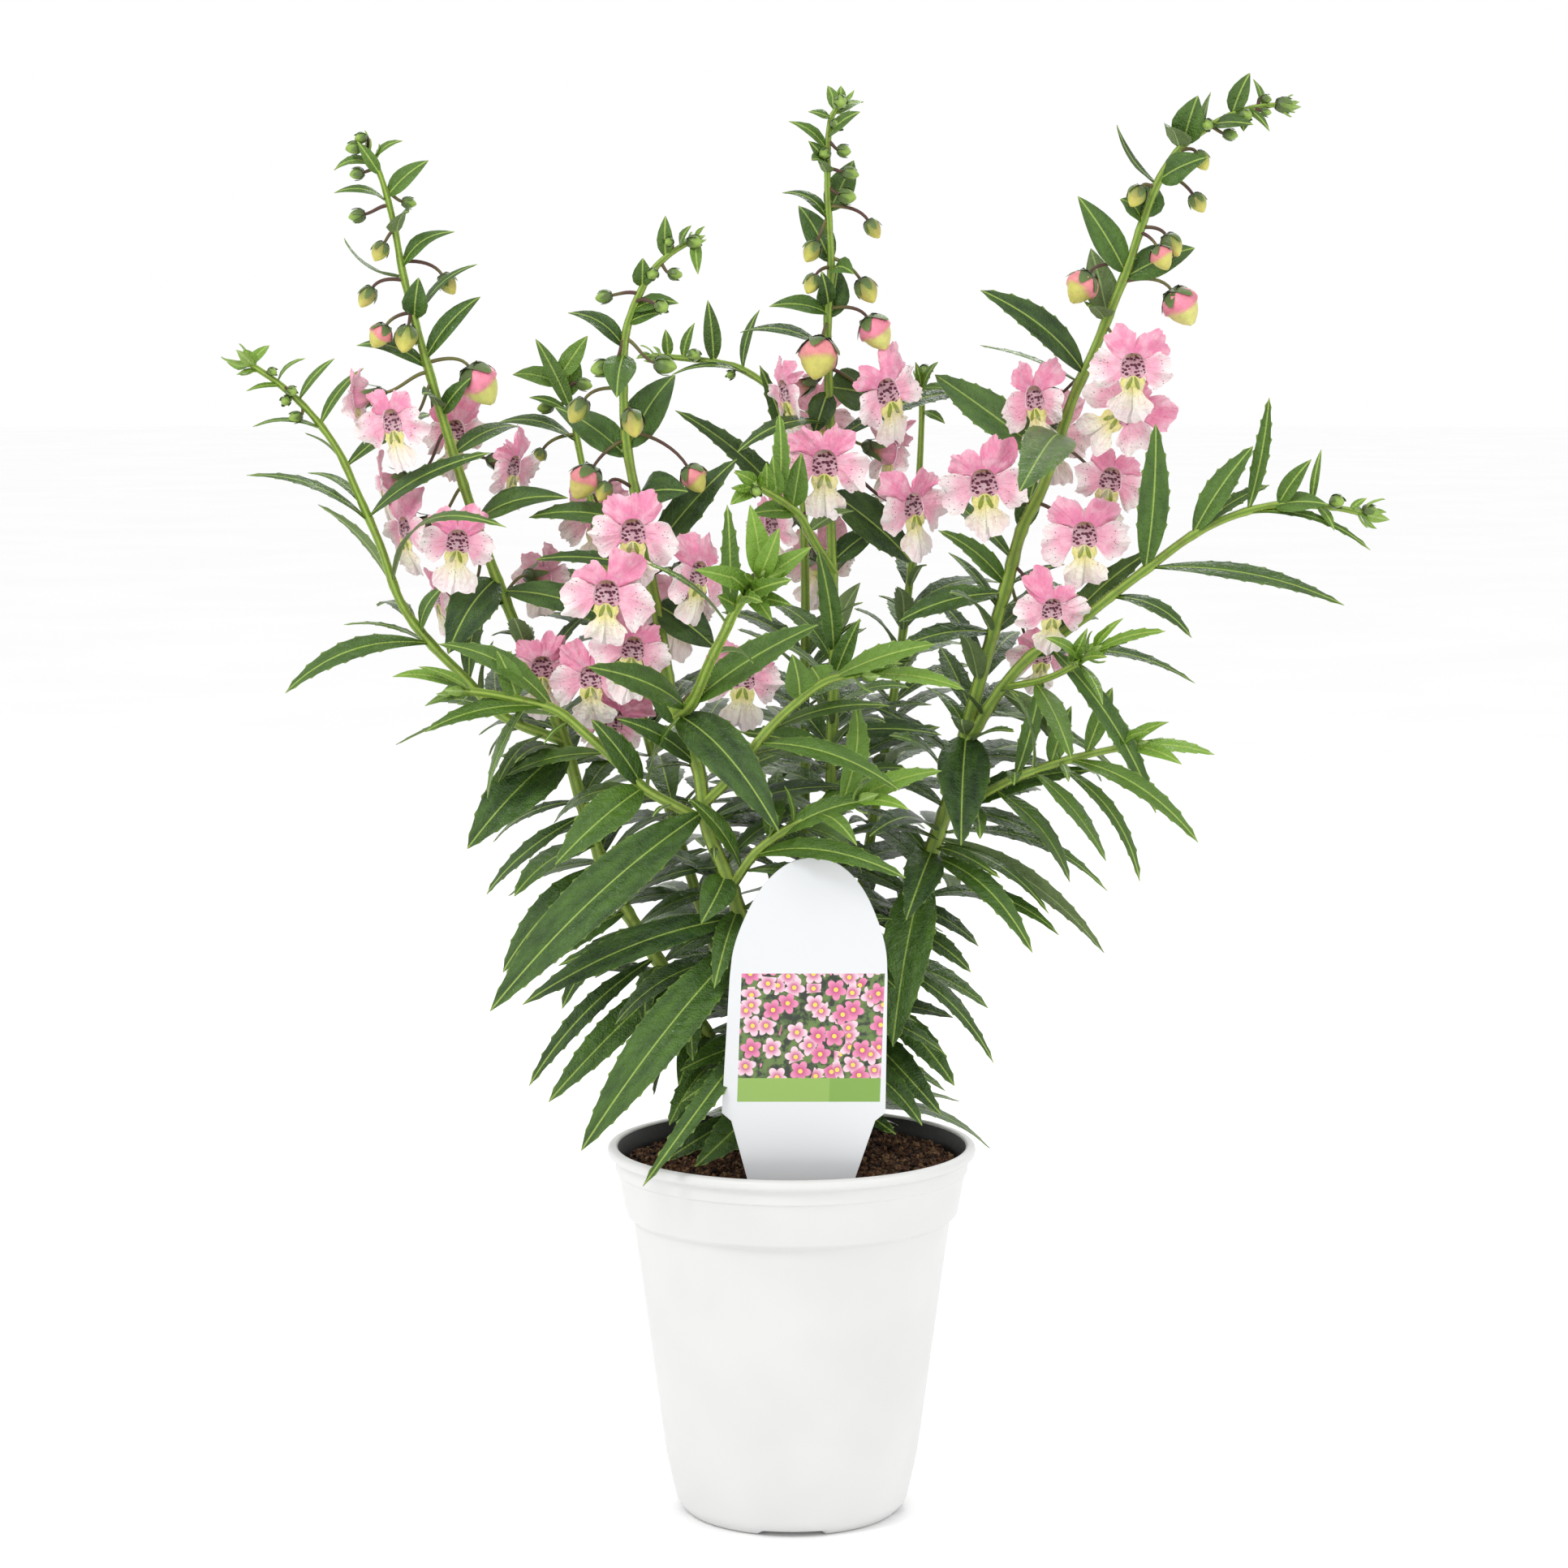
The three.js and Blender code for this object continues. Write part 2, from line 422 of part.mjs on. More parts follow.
function solidOf(geometry) {
  geometry.deleteAttribute("normal");
  geometry.deleteAttribute("uv");
  const merged = mergeVertices(geometry, 1e-4);
  return new wasm.Manifold(new wasm.Mesh({
    numProp: 3,
    vertProperties: merged.attributes.position.array,
    triVerts: new Uint32Array(merged.index.array)
  }));
}

// Joining solids leaves short edges and slivers. The shortest edges are shut and the long edge of a
// slim triangle is turned, so that each face can be written to a file and read again.
const SHORT_EDGE = 0.12;
const SLIM_HEIGHT = 0.02;

function triangleCross(points, [a, b, c]) {
  const first = points[b].clone().sub(points[a]);
  return first.cross(points[c].clone().sub(points[a]));
}

function turnsOver(points, triangle, from, to) {
  const moved = triangle.map((v) => (v === from ? to : v));
  const before = triangleCross(points, triangle);
  const after = triangleCross(points, moved);
  return after.length() < 1e-4 || before.dot(after) < 0.2 * before.length() * after.length();
}

function shutEdge(points, faces, around, from, to) {
  const shared = [...around[from]].filter((f) => around[to].has(f));
  const near = (v) => new Set([...around[v]].flatMap((f) => faces[f]));
  const common = [...near(from)].filter((v) => near(to).has(v) && v !== from && v !== to);
  const rest = [...around[from]].filter((f) => !around[to].has(f));
  const slim = (f) => triangleCross(points, faces[f]).length() < 1e-3;
  if (shared.length !== 2 || common.length !== 2
    || rest.some((f) => !slim(f) && turnsOver(points, faces[f], from, to))) {
    return false;
  }
  shared.forEach((f) => {
    faces[f].forEach((v) => around[v].delete(f));
    faces[f] = null;
  });
  rest.forEach((f) => {
    faces[f] = faces[f].map((v) => (v === from ? to : v));
    around[to].add(f);
  });
  around[from].clear();
  return true;
}

function turnEdge(points, faces, around, f) {
  const lengths = faces[f].map((v, k) => points[v].distanceTo(points[faces[f][(k + 1) % 3]]));
  const k = lengths.indexOf(Math.max(...lengths));
  const [a, b, c] = [0, 1, 2].map((i) => faces[f][(k + i) % 3]);
  const g = [...around[a]].find((other) => other !== f && around[b].has(other));
  const d = faces[g].find((v) => v !== a && v !== b);
  if ([...around[c]].some((other) => around[d].has(other))) {
    return;
  }
  around[b].delete(f);
  around[a].delete(g);
  faces[f] = [a, d, c];
  faces[g] = [d, b, c];
  around[d].add(f);
  around[c].add(g);
}

function withoutSlivers(points, faces) {
  const around = points.map(() => new Set());
  faces.forEach((face, f) => face.forEach((v) => around[v].add(f)));
  for (let round = 0; round < 6; round += 1) {
    for (let f = 0; f < faces.length; f += 1) {
      for (let k = 0; k < 3 && faces[f]; k += 1) {
        const [a, b] = [faces[f][k], faces[f][(k + 1) % 3]];
        if (points[a].distanceTo(points[b]) < SHORT_EDGE) {
          shutEdge(points, faces, around, a, b) || shutEdge(points, faces, around, b, a);
        }
      }
    }
    for (let f = 0; f < faces.length; f += 1) {
      if (faces[f]) {
        const lengths = faces[f].map((v, k) => points[v].distanceTo(points[faces[f][(k + 1) % 3]]));
        if (triangleCross(points, faces[f]).length() < SLIM_HEIGHT * Math.max(...lengths)) {
          turnEdge(points, faces, around, f);
        }
      }
    }
  }
  return faces.filter((face) => face);
}

function geometryOf(made) {
  const bodies = made.decompose().sort((a, b) => b.volume() - a.volume());
  const mesh = bodies[0].simplify(0.01).getMesh();
  const points = Array.from({ length: mesh.vertProperties.length / 3 }, (_, v) =>
    new THREE.Vector3(...mesh.vertProperties.slice(3 * v, 3 * v + 3)));
  const faces = Array.from({ length: mesh.triVerts.length / 3 }, (_, f) =>
    [...mesh.triVerts.slice(3 * f, 3 * f + 3)]);
  const kept = withoutSlivers(points, faces);
  const area = (face) => triangleCross(points, face).length();
  kept.sort((a, b) => area(b) - area(a));
  const geometry = new THREE.BufferGeometry();
  const flat = kept.flatMap((face) => face.flatMap((v) => points[v].toArray()));
  geometry.setAttribute("position", new THREE.BufferAttribute(new Float32Array(flat), 3));
  return geometry;
}

const plant = new THREE.Group();

function addNode(name, made, material) {
  const geometry = geometryOf(made);
  geometry.translate(POT_AXIS[0], POT_AXIS[1], 0);
  geometry.computeVertexNormals();
  const mesh = new THREE.Mesh(geometry, material);
  mesh.name = name;
  plant.add(mesh);
}

const whitePlastic = new THREE.MeshStandardMaterial({ color: 0xf4f4f2, roughness: 0.45 });
const labelPlastic = new THREE.MeshStandardMaterial({ color: 0xfafafa, roughness: 0.35 });
const peat = new THREE.MeshStandardMaterial({ color: 0x3a2418, roughness: 0.95 });
const leafGreen = new THREE.MeshStandardMaterial({ color: 0x3f7a33, roughness: 0.5 });
const petalPink = new THREE.MeshStandardMaterial({ color: 0xf29bc1, roughness: 0.6 });

// Pot: a lathed wall with rim lip and collar, a notched foot ring and drain holes.
function pot() {
  const inner = (radius) => radius - WALL;
  const profile = [
    [0, FLOOR[0]], [FOOT_RING[0] - 1, FLOOR[0]], [FOOT_RING[0], 0], [FOOT_RING[1] - 0.5, 0],
    [FOOT_RING[1] + 2.9, 3.2], [WALL_FOOT_RADIUS, WALL_FOOT_HEIGHT],
    [WALL_TOP_RADIUS, COLLAR_FOOT_HEIGHT - 1.4], [COLLAR_FOOT_RADIUS, COLLAR_FOOT_HEIGHT],
    [COLLAR_TOP_RADIUS, POT_HEIGHT - 5.9], [RIM_RADIUS, POT_HEIGHT - 5.1],
    [RIM_RADIUS, POT_HEIGHT - 0.6], [RIM_RADIUS - 1, POT_HEIGHT], [RIM_RADIUS - 2.8, POT_HEIGHT],
    [inner(COLLAR_TOP_RADIUS), POT_HEIGHT - 5], [inner(COLLAR_FOOT_RADIUS), COLLAR_FOOT_HEIGHT + 1],
    [inner(WALL_TOP_RADIUS), COLLAR_FOOT_HEIGHT - 2], [inner(WALL_FOOT_RADIUS), WALL_FOOT_HEIGHT],
    [FOOT_RING[1] + 1, FLOOR[1]], [0, FLOOR[1]]
  ];
  const lathe = new THREE.LatheGeometry(profile.map(([r, z]) => new THREE.Vector2(r, z)), POT_SIDES);
  lathe.rotateX(Math.PI / 2);
  let made = solidOf(lathe);
  for (let i = 0; i < FOOT_NOTCH.count; i += 1) {
    const turn = (i / FOOT_NOTCH.count) * 2 * Math.PI;
    const notch = new THREE.BoxGeometry(FOOT_NOTCH.width, 30, 2 * FOOT_NOTCH.height);
    notch.translate(0, -33, 0).rotateZ(turn);
    const drain = new THREE.CylinderGeometry(DRAIN_RADIUS, DRAIN_RADIUS, 12, 6);
    drain.rotateX(Math.PI / 2).translate(0, -19, 0).rotateZ(turn);
    made = made.subtract(solidOf(notch)).subtract(solidOf(drain));
  }
  return made;
}

// Soil: fills the pot, with a crumbly top.
function soil(feet, slot) {
  const random = randomFrom(41);
  const inside = (radius) => radius - WALL - SOIL_GAP;
  const rings = [
    [FOOT_RING[1] - 0.6, FLOOR[1] + FIT_GAP], [inside(WALL_FOOT_RADIUS), WALL_FOOT_HEIGHT],
    [inside(WALL_TOP_RADIUS), COLLAR_FOOT_HEIGHT - 2],
    [inside(COLLAR_FOOT_RADIUS), COLLAR_FOOT_HEIGHT + 1.5], [50.4, SOIL_HEIGHT - 0.6],
    [36, SOIL_HEIGHT], [21, SOIL_HEIGHT + 0.4]
  ];
  const points = [new THREE.Vector3(0, 0, rings[0][1])];
  rings.forEach(([radius, height], k) => {
    for (let i = 0; i < POT_SIDES; i += 1) {
      const angle = (i / POT_SIDES) * 2 * Math.PI;
      const bump = k > 3 ? (random() - 0.5) * 2 * CRUMB : 0;
      points.push(new THREE.Vector3(radius * Math.cos(angle), radius * Math.sin(angle), height + bump));
    }
  });
  points.push(new THREE.Vector3(0, 0, SOIL_HEIGHT + 0.5));
  const triangles = [];
  const at = (k, i) => 1 + k * POT_SIDES + (i % POT_SIDES);
  for (let i = 0; i < POT_SIDES; i += 1) {
    triangles.push([0, at(0, i + 1), at(0, i)]);
    for (let k = 0; k + 1 < rings.length; k += 1) {
      triangles.push([at(k, i), at(k, i + 1), at(k + 1, i + 1)]);
      triangles.push([at(k, i), at(k + 1, i + 1), at(k + 1, i)]);
    }
    triangles.push([at(rings.length - 1, i), at(rings.length - 1, i + 1), points.length - 1]);
  }
  let made = solid(points, triangles);
  for (const foot of feet) {
    made = made.subtract(tube(foot.points, foot.points.map(() => foot.radius), 5));
  }
  return made.subtract(slot);
}

// Label stake: an arched plate that narrows to a point in the soil.
const TAG_EDGE = [[0, 210], [5.5, 208.9], [10.5, 205.8], [15.5, 200], [20, 191], [22.8, 182],
  [23.6, 174], [24.6, 132.5], [21.6, 130], [16, 111.6], [7, 74], [0, 62]];

function tagPlate(grow) {
  const lean = (z) => TAG.middle + (z - SOIL_HEIGHT) * TAG.lean;
  const right = TAG_EDGE.map(([x, z]) => new THREE.Vector2(lean(z) + x + (x > 0 ? grow : 0), z));
  const left = TAG_EDGE.slice(1, -1).reverse()
    .map(([x, z]) => new THREE.Vector2(lean(z) - x - grow, z));
  const shape = new THREE.Shape([...right, ...left]);
  const thick = TAG.thick + 2 * grow;
  const plate = new THREE.ExtrudeGeometry(shape, { depth: thick, bevelEnabled: false });
  plate.rotateX(Math.PI / 2).translate(0, TAG.depth + thick / 2, 0);
  return solidOf(plate);
}

// A skin over rings of points, each turned the same way round the same axis. A ring of one point
// closes the end; a wider end ring is closed flat.
function loft(rings) {
  const points = rings.flat();
  const starts = rings.map((_, k) => rings.slice(0, k).reduce((sum, ring) => sum + ring.length, 0));
  const triangles = [];
  for (let k = 0; k + 1 < rings.length; k += 1) {
    const [m, n] = [rings[k].length, rings[k + 1].length];
    const [a, b] = [starts[k], starts[k + 1]];
    let i = 0;
    let j = 0;
    while ((m > 1 && i < m) || (n > 1 && j < n)) {
      const first = n === 1 || j === n || (m > 1 && i < m && (i + 0.5) / m < (j + 0.5) / n);
      if (first) {
        triangles.push([a + (i % m), a + ((i + 1) % m), b + (j % n)]);
        i += 1;
      } else {
        triangles.push([a + (i % m), b + ((j + 1) % n), b + (j % n)]);
        j += 1;
      }
    }
  }
  const last = starts[rings.length - 1];
  for (let i = 1; i + 1 < rings[0].length; i += 1) {
    triangles.push([0, i + 1, i]);
  }
  for (let i = 1; i + 1 < rings[rings.length - 1].length; i += 1) {
    triangles.push([last, last + i, last + i + 1]);
  }
  return solid(points, triangles);
}

// Rings round a line of points, each with its own radius.
function ringsAlong(points, radii, sides) {
  const first = points[1].clone().sub(points[0]).normalize();
  const seed = Math.abs(first.z) > 0.9 ? new THREE.Vector3(1, 0, 0) : new THREE.Vector3(0, 0, 1);
  const side = seed.addScaledVector(first, -seed.dot(first)).normalize();
  const rings = points.map((point, k) => {
    const before = points[Math.max(k - 1, 0)];
    const after = points[Math.min(k + 1, points.length - 1)];
    const along = after.clone().sub(before).normalize();
    side.addScaledVector(along, -side.dot(along)).normalize();
    return ringAt(point, side, along.clone().cross(side), sides, () => [radii[k], 0], along);
  });
  return { rings, side };
}

function ringAt(centre, side, other, sides, shape, along) {
  return Array.from({ length: sides }, (_, i) => {
    const angle = (i / sides) * 2 * Math.PI;
    const [reach, lift] = shape(i);
    return centre.clone()
      .addScaledVector(side, reach * Math.cos(angle))
      .addScaledVector(other, reach * Math.sin(angle))
      .addScaledVector(along, lift);
  });
}

function tube(points, radii, sides) {
  return loft(ringsAlong(points, radii, sides).rings);
}

// A shoot's centre line, sampled evenly.
const STEM_STEP = 19;
const FINE_STEPS = 240;
const FOOT_PITCH = 1.3;

function centreLine(shoot) {
  const curve = new THREE.CatmullRomCurve3(shoot.path.map((p) => place(...p)), false, "centripetal");
  const length = curve.getLength();
  const steps = Math.max(3, Math.round(length / STEM_STEP));
  const radiusAt = (s) => shoot.radius[0] + (shoot.radius[1] - shoot.radius[0]) * Math.pow(s, 0.7);
  const fine = curve.getSpacedPoints(FINE_STEPS);
  return { curve, steps, radiusAt, fine, pace: length / FINE_STEPS, taken: [] };
}

// The point of a shoot's centre line where a leaf or stalk seen at that place stands. What stands
// at one joint is set a little apart along the stem.
function footOn(line, across, up) {
  const aways = line.fine.map((point, k) => {
    const [a, b] = onBoard(point);
    const taken = line.taken.some((used) => Math.abs(used - k) * line.pace < FOOT_PITCH);
    return Math.hypot(a - across, b - up) + (taken ? 100 : 0);
  });
  const k = aways.indexOf(Math.min(...aways));
  line.taken.push(k);
  const after = line.fine[Math.min(k + 1, FINE_STEPS)];
  const before = line.fine[Math.max(k - 1, 0)];
  const along = after.clone().sub(before).normalize();
  return { point: line.fine[k], radius: line.radiusAt(k / FINE_STEPS), along };
}

// A blade from its foot, just inside the stem, to its tip, arched along its length.
const FOOT_SINK = 0.3;

function bladeFrame(leaf, bend) {
  const tip = place(leaf.tip[0], leaf.tip[1] + bend[1], leaf.tip[2] + bend[0]);
  const outward = tip.clone().sub(leaf.foot.point);
  outward.addScaledVector(leaf.foot.along, -outward.dot(leaf.foot.along)).normalize();
  const foot = leaf.foot.point.clone().addScaledVector(outward, FOOT_SINK * leaf.foot.radius);
  const chord = tip.clone().sub(foot);
  const length = chord.length();
  const along = chord.normalize();
  const turn = THREE.MathUtils.degToRad(leaf.face);
  const face = new THREE.Vector3(0, -Math.sin(turn), Math.cos(turn));
  face.addScaledVector(along, -face.dot(along));
  if (face.length() < 0.15) {
    face.set(0, -Math.cos(turn), Math.sin(turn)).addScaledVector(along, along.y * Math.cos(turn));
    face.addScaledVector(along, -face.dot(along));
  }
  face.normalize();
  const side = face.clone().cross(along);
  const petiole = Math.min(0.5, 0.4 * leaf.foot.radius, 0.1 * leaf.width);
  return { foot, length, along, face, side, petiole, arch: leaf.arch, width: leaf.width };
}

function bladePoint(frame, share, across) {
  const rise = frame.arch * frame.length * 4 * share * (1 - share);
  return frame.foot.clone()
    .addScaledVector(frame.along, frame.length * share)
    .addScaledVector(frame.face, rise)
    .addScaledVector(frame.side, (across * frame.width) / 2);
}

function bladeNormal(frame, share) {
  const slope = frame.arch * 4 * (1 - 2 * share);
  return frame.face.clone().addScaledVector(frame.along, -slope).normalize();
}

function outlineFor(width) {
  return OUTLINES.find((outline) => width < outline.upTo).stations;
}

function blade(frame) {
  const section = (share, wide) => {
    const normal = bladeNormal(frame, share).multiplyScalar(BLADE_THICK / 2);
    const low = normal.clone().negate();
    return [[-wide, normal], [wide, normal], [wide, low], [-wide, low]]
      .map(([across, lift]) => bladePoint(frame, share, across).add(lift));
  };
  const foot = section(0, (2 * frame.petiole) / frame.width);
  const keel = foot[2].clone().lerp(foot[3], 0.5);
  const tip = bladePoint(frame, 1, 0);
  const points = [foot[0], foot[1], keel];
  const stations = outlineFor(frame.width);
  stations.forEach(([share, wide]) => points.push(...section(share, wide)));
  points.push(tip);
  const triangles = [[0, 1, 2], [0, 3, 4], [0, 4, 1], [1, 4, 5], [1, 5, 2], [2, 5, 6], [2, 6, 0],
    [0, 6, 3]];
  for (let k = 0; k + 1 < stations.length; k += 1) {
    const a = 4 * k + 3;
    const b = a + 4;
    triangles.push([a, b, b + 1], [a, b + 1, a + 1]);
    triangles.push([a + 3, a + 2, b + 2], [a + 3, b + 2, b + 3]);
    triangles.push([a + 1, b + 1, b + 2], [a + 1, b + 2, a + 2]);
    triangles.push([a, a + 3, b + 3], [a, b + 3, b]);
  }
  const e = 4 * stations.length - 1;
  const t = points.length - 1;
  triangles.push([e, t, e + 1], [e + 1, t, e + 2], [e + 2, t, e + 3], [e + 3, t, e]);
  return solid(points, triangles);
}

// What a leaf of another stem has to stay clear of, kept in boxes of space.
const BOX = 8;
const crowd = new Map();

function boxKey(x, y, z) {
  return x + "," + y + "," + z;
}

function occupy(node, point, radius, soft) {
  const key = boxKey(...[point.x, point.y, point.z].map((v) => Math.floor(v / BOX)));
  if (!crowd.has(key)) {
    crowd.set(key, []);
  }
  crowd.get(key).push({ node, point, radius, soft });
}

function clearance(node, point, nearFoot) {
  let least = BOX;
  const [x, y, z] = [point.x, point.y, point.z].map((v) => Math.floor(v / BOX));
  for (let i = x - 1; i <= x + 1; i += 1) {
    for (let j = y - 1; j <= y + 1; j += 1) {
      for (let k = z - 1; k <= z + 1; k += 1) {
        for (const other of crowd.get(boxKey(i, j, k)) || []) {
          if (other.node !== node) {
            least = Math.min(least, other.point.distanceTo(point) - other.radius);
          } else if (other.soft && !nearFoot) {
            least = Math.min(least, other.point.distanceTo(point) - other.radius + OWN_EASE);
          }
        }
      }
    }
  }
  return least;
}

function bladeSamples(frame) {
  const samples = [];
  const steps = Math.max(3, Math.ceil(frame.length / 3));
  const rows = frame.width > 8 ? [-0.9, -0.45, 0, 0.45, 0.9] : [-0.85, 0, 0.85];
  for (let k = 1; k <= steps; k += 1) {
    const share = k / steps;
    const wide = Math.min(1, share * 3, (1 - share) * 2.6 + 0.05);
    for (const row of rows) {
      samples.push(bladePoint(frame, share, row * wide));
    }
  }
  return samples;
}

function bendClear(node, leaf) {
  let best = null;
  let most = -Infinity;
  for (const bend of BENDS) {
    const frame = bladeFrame(leaf, bend);
    const samples = bladeSamples(frame);
    const least = Math.min(...samples.map((point) =>
      clearance(node, point, point.distanceTo(leaf.foot.point) < FOOT_REACH)));
    if (least > most) {
      most = least;
      best = { frame, samples };
    }
    if (most >= CLEAR) {
      break;
    }
  }
  best.samples.filter((point) => point.distanceTo(leaf.foot.point) > FOOT_REACH / 2)
    .forEach((point) => occupy(node, point, BLADE_THICK / 2, true));
  return best.frame;
}

// A flower stalk: an arched thread that reaches its end along the given direction.
function stalk(node, foot, end, along) {
  const from = foot.point;
  const reach = from.distanceTo(end);
  const curve = new THREE.CubicBezierCurve3(from,
    from.clone().lerp(end, 0.35).add(new THREE.Vector3(0, 0, 0.15 * reach)),
    end.clone().addScaledVector(along, -0.35 * reach), end);
  const points = curve.getPoints(reach > 12 ? 3 : reach > 6 ? 2 : 1);
  curve.getPoints(Math.ceil(reach / 2)).slice(1)
    .forEach((point) => occupy(node, point, PEDICEL_RADIUS, true));
  return ringsAlong(points, points.map(() => PEDICEL_RADIUS), 3);
}

// A bud that hangs from its stalk.
function bud(node, foot, centre, size, stage) {
  const out = centre.clone().sub(foot.point).setZ(0).normalize();
  const axis = out.add(new THREE.Vector3(0, 0, stage > 0 ? -1.6 : -0.2)).normalize();
  const length = size * (stage > 1 ? 1.15 : 1.3);
  const top = centre.clone().addScaledVector(axis, -length / 2);
  const end = centre.clone().addScaledVector(axis, length / 2);
  const { rings, side } = stalk(node, foot, top.clone().addScaledVector(axis, length * 0.05), axis);
  const other = axis.clone().cross(side);
  const waist = stage > 1 ? [[0.28, 0.44], [0.7, 0.42]] : [[0.42, 0.5]];
  for (const [share, wide] of waist) {
    const middle = top.clone().addScaledVector(axis, length * share);
    rings.push(ringAt(middle, side, other, stage > 0 ? 5 : 4, () => [size * wide, 0], axis));
  }
  rings.push([end]);
  occupy(node, centre, size / 2, true);
  return loft(rings);
}

// The way a flower faces: forward, up and to its right as the viewer sees it.
function bloomFrame(turn, nod, roll) {
  const [a, b, c] = [turn, nod, roll].map(THREE.MathUtils.degToRad);
  const forward = new THREE.Vector3(
    Math.sin(a) * Math.cos(b), -Math.cos(a) * Math.cos(b), Math.sin(b));
  const level = new THREE.Vector3(0, 0, 1).addScaledVector(forward, -forward.z).normalize();
  const across = forward.clone().cross(level).negate();
  const up = level.clone().multiplyScalar(Math.cos(c)).addScaledVector(across, Math.sin(c));
  const right = forward.clone().cross(up).negate();
  return { forward, up, right };
}

// Outline of the flower from straight up, clockwise: angle, reach and how far the edge stands
// forward. Two upper lobes, two side lobes and the long lower lip, with valleys between.
const HALF_BLOOM = [[14, 12, 0], [33, 13.4, -1.5], [54, 12.4, -0.5], [72, 7.4, 1.2],
  [86, 13, 0.6], [108, 14.4, 0.2], [131, 12.4, 0.4], [150, 5, 0.8], [162, 14, 1.5]];
const BLOOM_OUTLINE = [[0, 8.6, 0.6], ...HALF_BLOOM, [180, 17.5, 0],
  ...HALF_BLOOM.map(([angle, reach, lift]) => [360 - angle, reach, lift]).reverse()];
const THROAT_RING = [[0, 4.4], [72, 4.8], [150, 3.6], [210, 3.6], [288, 4.8]];
const THROAT_DEPTH = 3;
const TUBE_LENGTH = 8;

function bloom(centre, facing, width) {
  const k = width / BLOOM_WIDTH;
  const at = (angle, reach, lift) => {
    const a = THREE.MathUtils.degToRad(angle);
    return centre.clone()
      .addScaledVector(facing.up, k * reach * Math.cos(a))
      .addScaledVector(facing.right, k * reach * Math.sin(a))
      .addScaledVector(facing.forward, k * lift);
  };
  const count = BLOOM_OUTLINE.length;
  const points = [at(0, 0, -THROAT_DEPTH), at(0, 0, -TUBE_LENGTH)];
  THROAT_RING.forEach(([angle, reach]) => points.push(at(angle, reach, 0.4)));
  THROAT_RING.forEach(([angle, reach]) => points.push(at(angle, reach + 0.2, -1.6)));
  BLOOM_OUTLINE.forEach(([angle, reach, lift]) => points.push(at(angle, reach, lift + 0.4)));
  BLOOM_OUTLINE.forEach(([angle, reach, lift]) => points.push(at(angle, reach, lift - 0.4)));
  const starts = [0, 4, 8, 12, 16, 20];
  const triangles = [];
  for (const back of [0, 1]) {
    const ring = 2 + 5 * back;
    const edge = 12 + count * back;
    const push = (a, b, c) => triangles.push(back ? [a, c, b] : [a, b, c]);
    for (let i = 0; i < 5; i += 1) {
      const j = (i + 1) % 5;
      push(back, ring + j, ring + i);
      const half = (starts[i] + starts[i + 1]) / 2;
      for (let e = starts[i]; e < starts[i + 1]; e += 1) {
        push(ring + (e < half ? i : j), edge + ((e + 1) % count), edge + e);
      }
      push(ring + i, ring + j, edge + half);
    }
  }
  for (let e = 0; e < count; e += 1) {
    const f = (e + 1) % count;
    triangles.push([12 + e, 12 + f, 12 + count + f], [12 + e, 12 + count + f, 12 + count + e]);
  }
  return { made: solid(points, triangles), points };
}

// The calyx at the end of its stalk: a cup of five sepals that the flower's tube stands in.
function calyx(node, foot, centre, facing, width) {
  const k = width / BLOOM_WIDTH;
  const seat = centre.clone().addScaledVector(facing.forward, -k * TUBE_LENGTH - FIT_GAP);
  const back = seat.clone().addScaledVector(facing.forward, -2.2);
  const { rings, side } = stalk(node, foot, back, facing.forward);
  const other = facing.forward.clone().cross(side);
  rings.push(ringAt(seat, side, other, 5, () => [2.4, 0.4], facing.forward), [seat]);
  occupy(node, seat, 2.6, true);
  return loft(rings);
}

// Spare leaves on the far side of a shoot, in pairs that turn a quarter each time.
function spareLeaves(line, rule, seed) {
  const [low, high, spacing, first, length, width] = rule;
  const random = randomFrom(seed);
  const leaves = [];
  let turn = first;
  for (let up = low; up <= high; up += spacing) {
    const aim = line.fine.reduce((a, b) =>
      (Math.abs(onBoard(b)[1] - up) < Math.abs(onBoard(a)[1] - up) ? b : a));
    const foot = footOn(line, ...onBoard(aim));
    const share = (up - low) / (high - low);
    const swing = THREE.MathUtils.degToRad(turn + 24 * (random() - 0.5));
    const reach = length * (1 - 0.35 * share) * (0.85 + 0.3 * random());
    const lift = reach * (0.1 + 0.45 * share - 0.2 * random());
    const tip = foot.point.clone().add(new THREE.Vector3(
      reach * Math.cos(swing), reach * Math.abs(Math.sin(swing)), lift));
    leaves.push({ foot, tip: [...onBoard(tip), tip.y],
      width: width * (1 - 0.3 * share), arch: 0.14, face: 0 });
    turn += 75;
  }
  return leaves;
}

// Growing the plant: stems and flowers first, then the leaves, widest first, each bent clear.
const growth = PLAN.map(({ node }) => ({ node, parts: [], leaves: [], feet: [] }));
const blooms = [];
const feet = [];

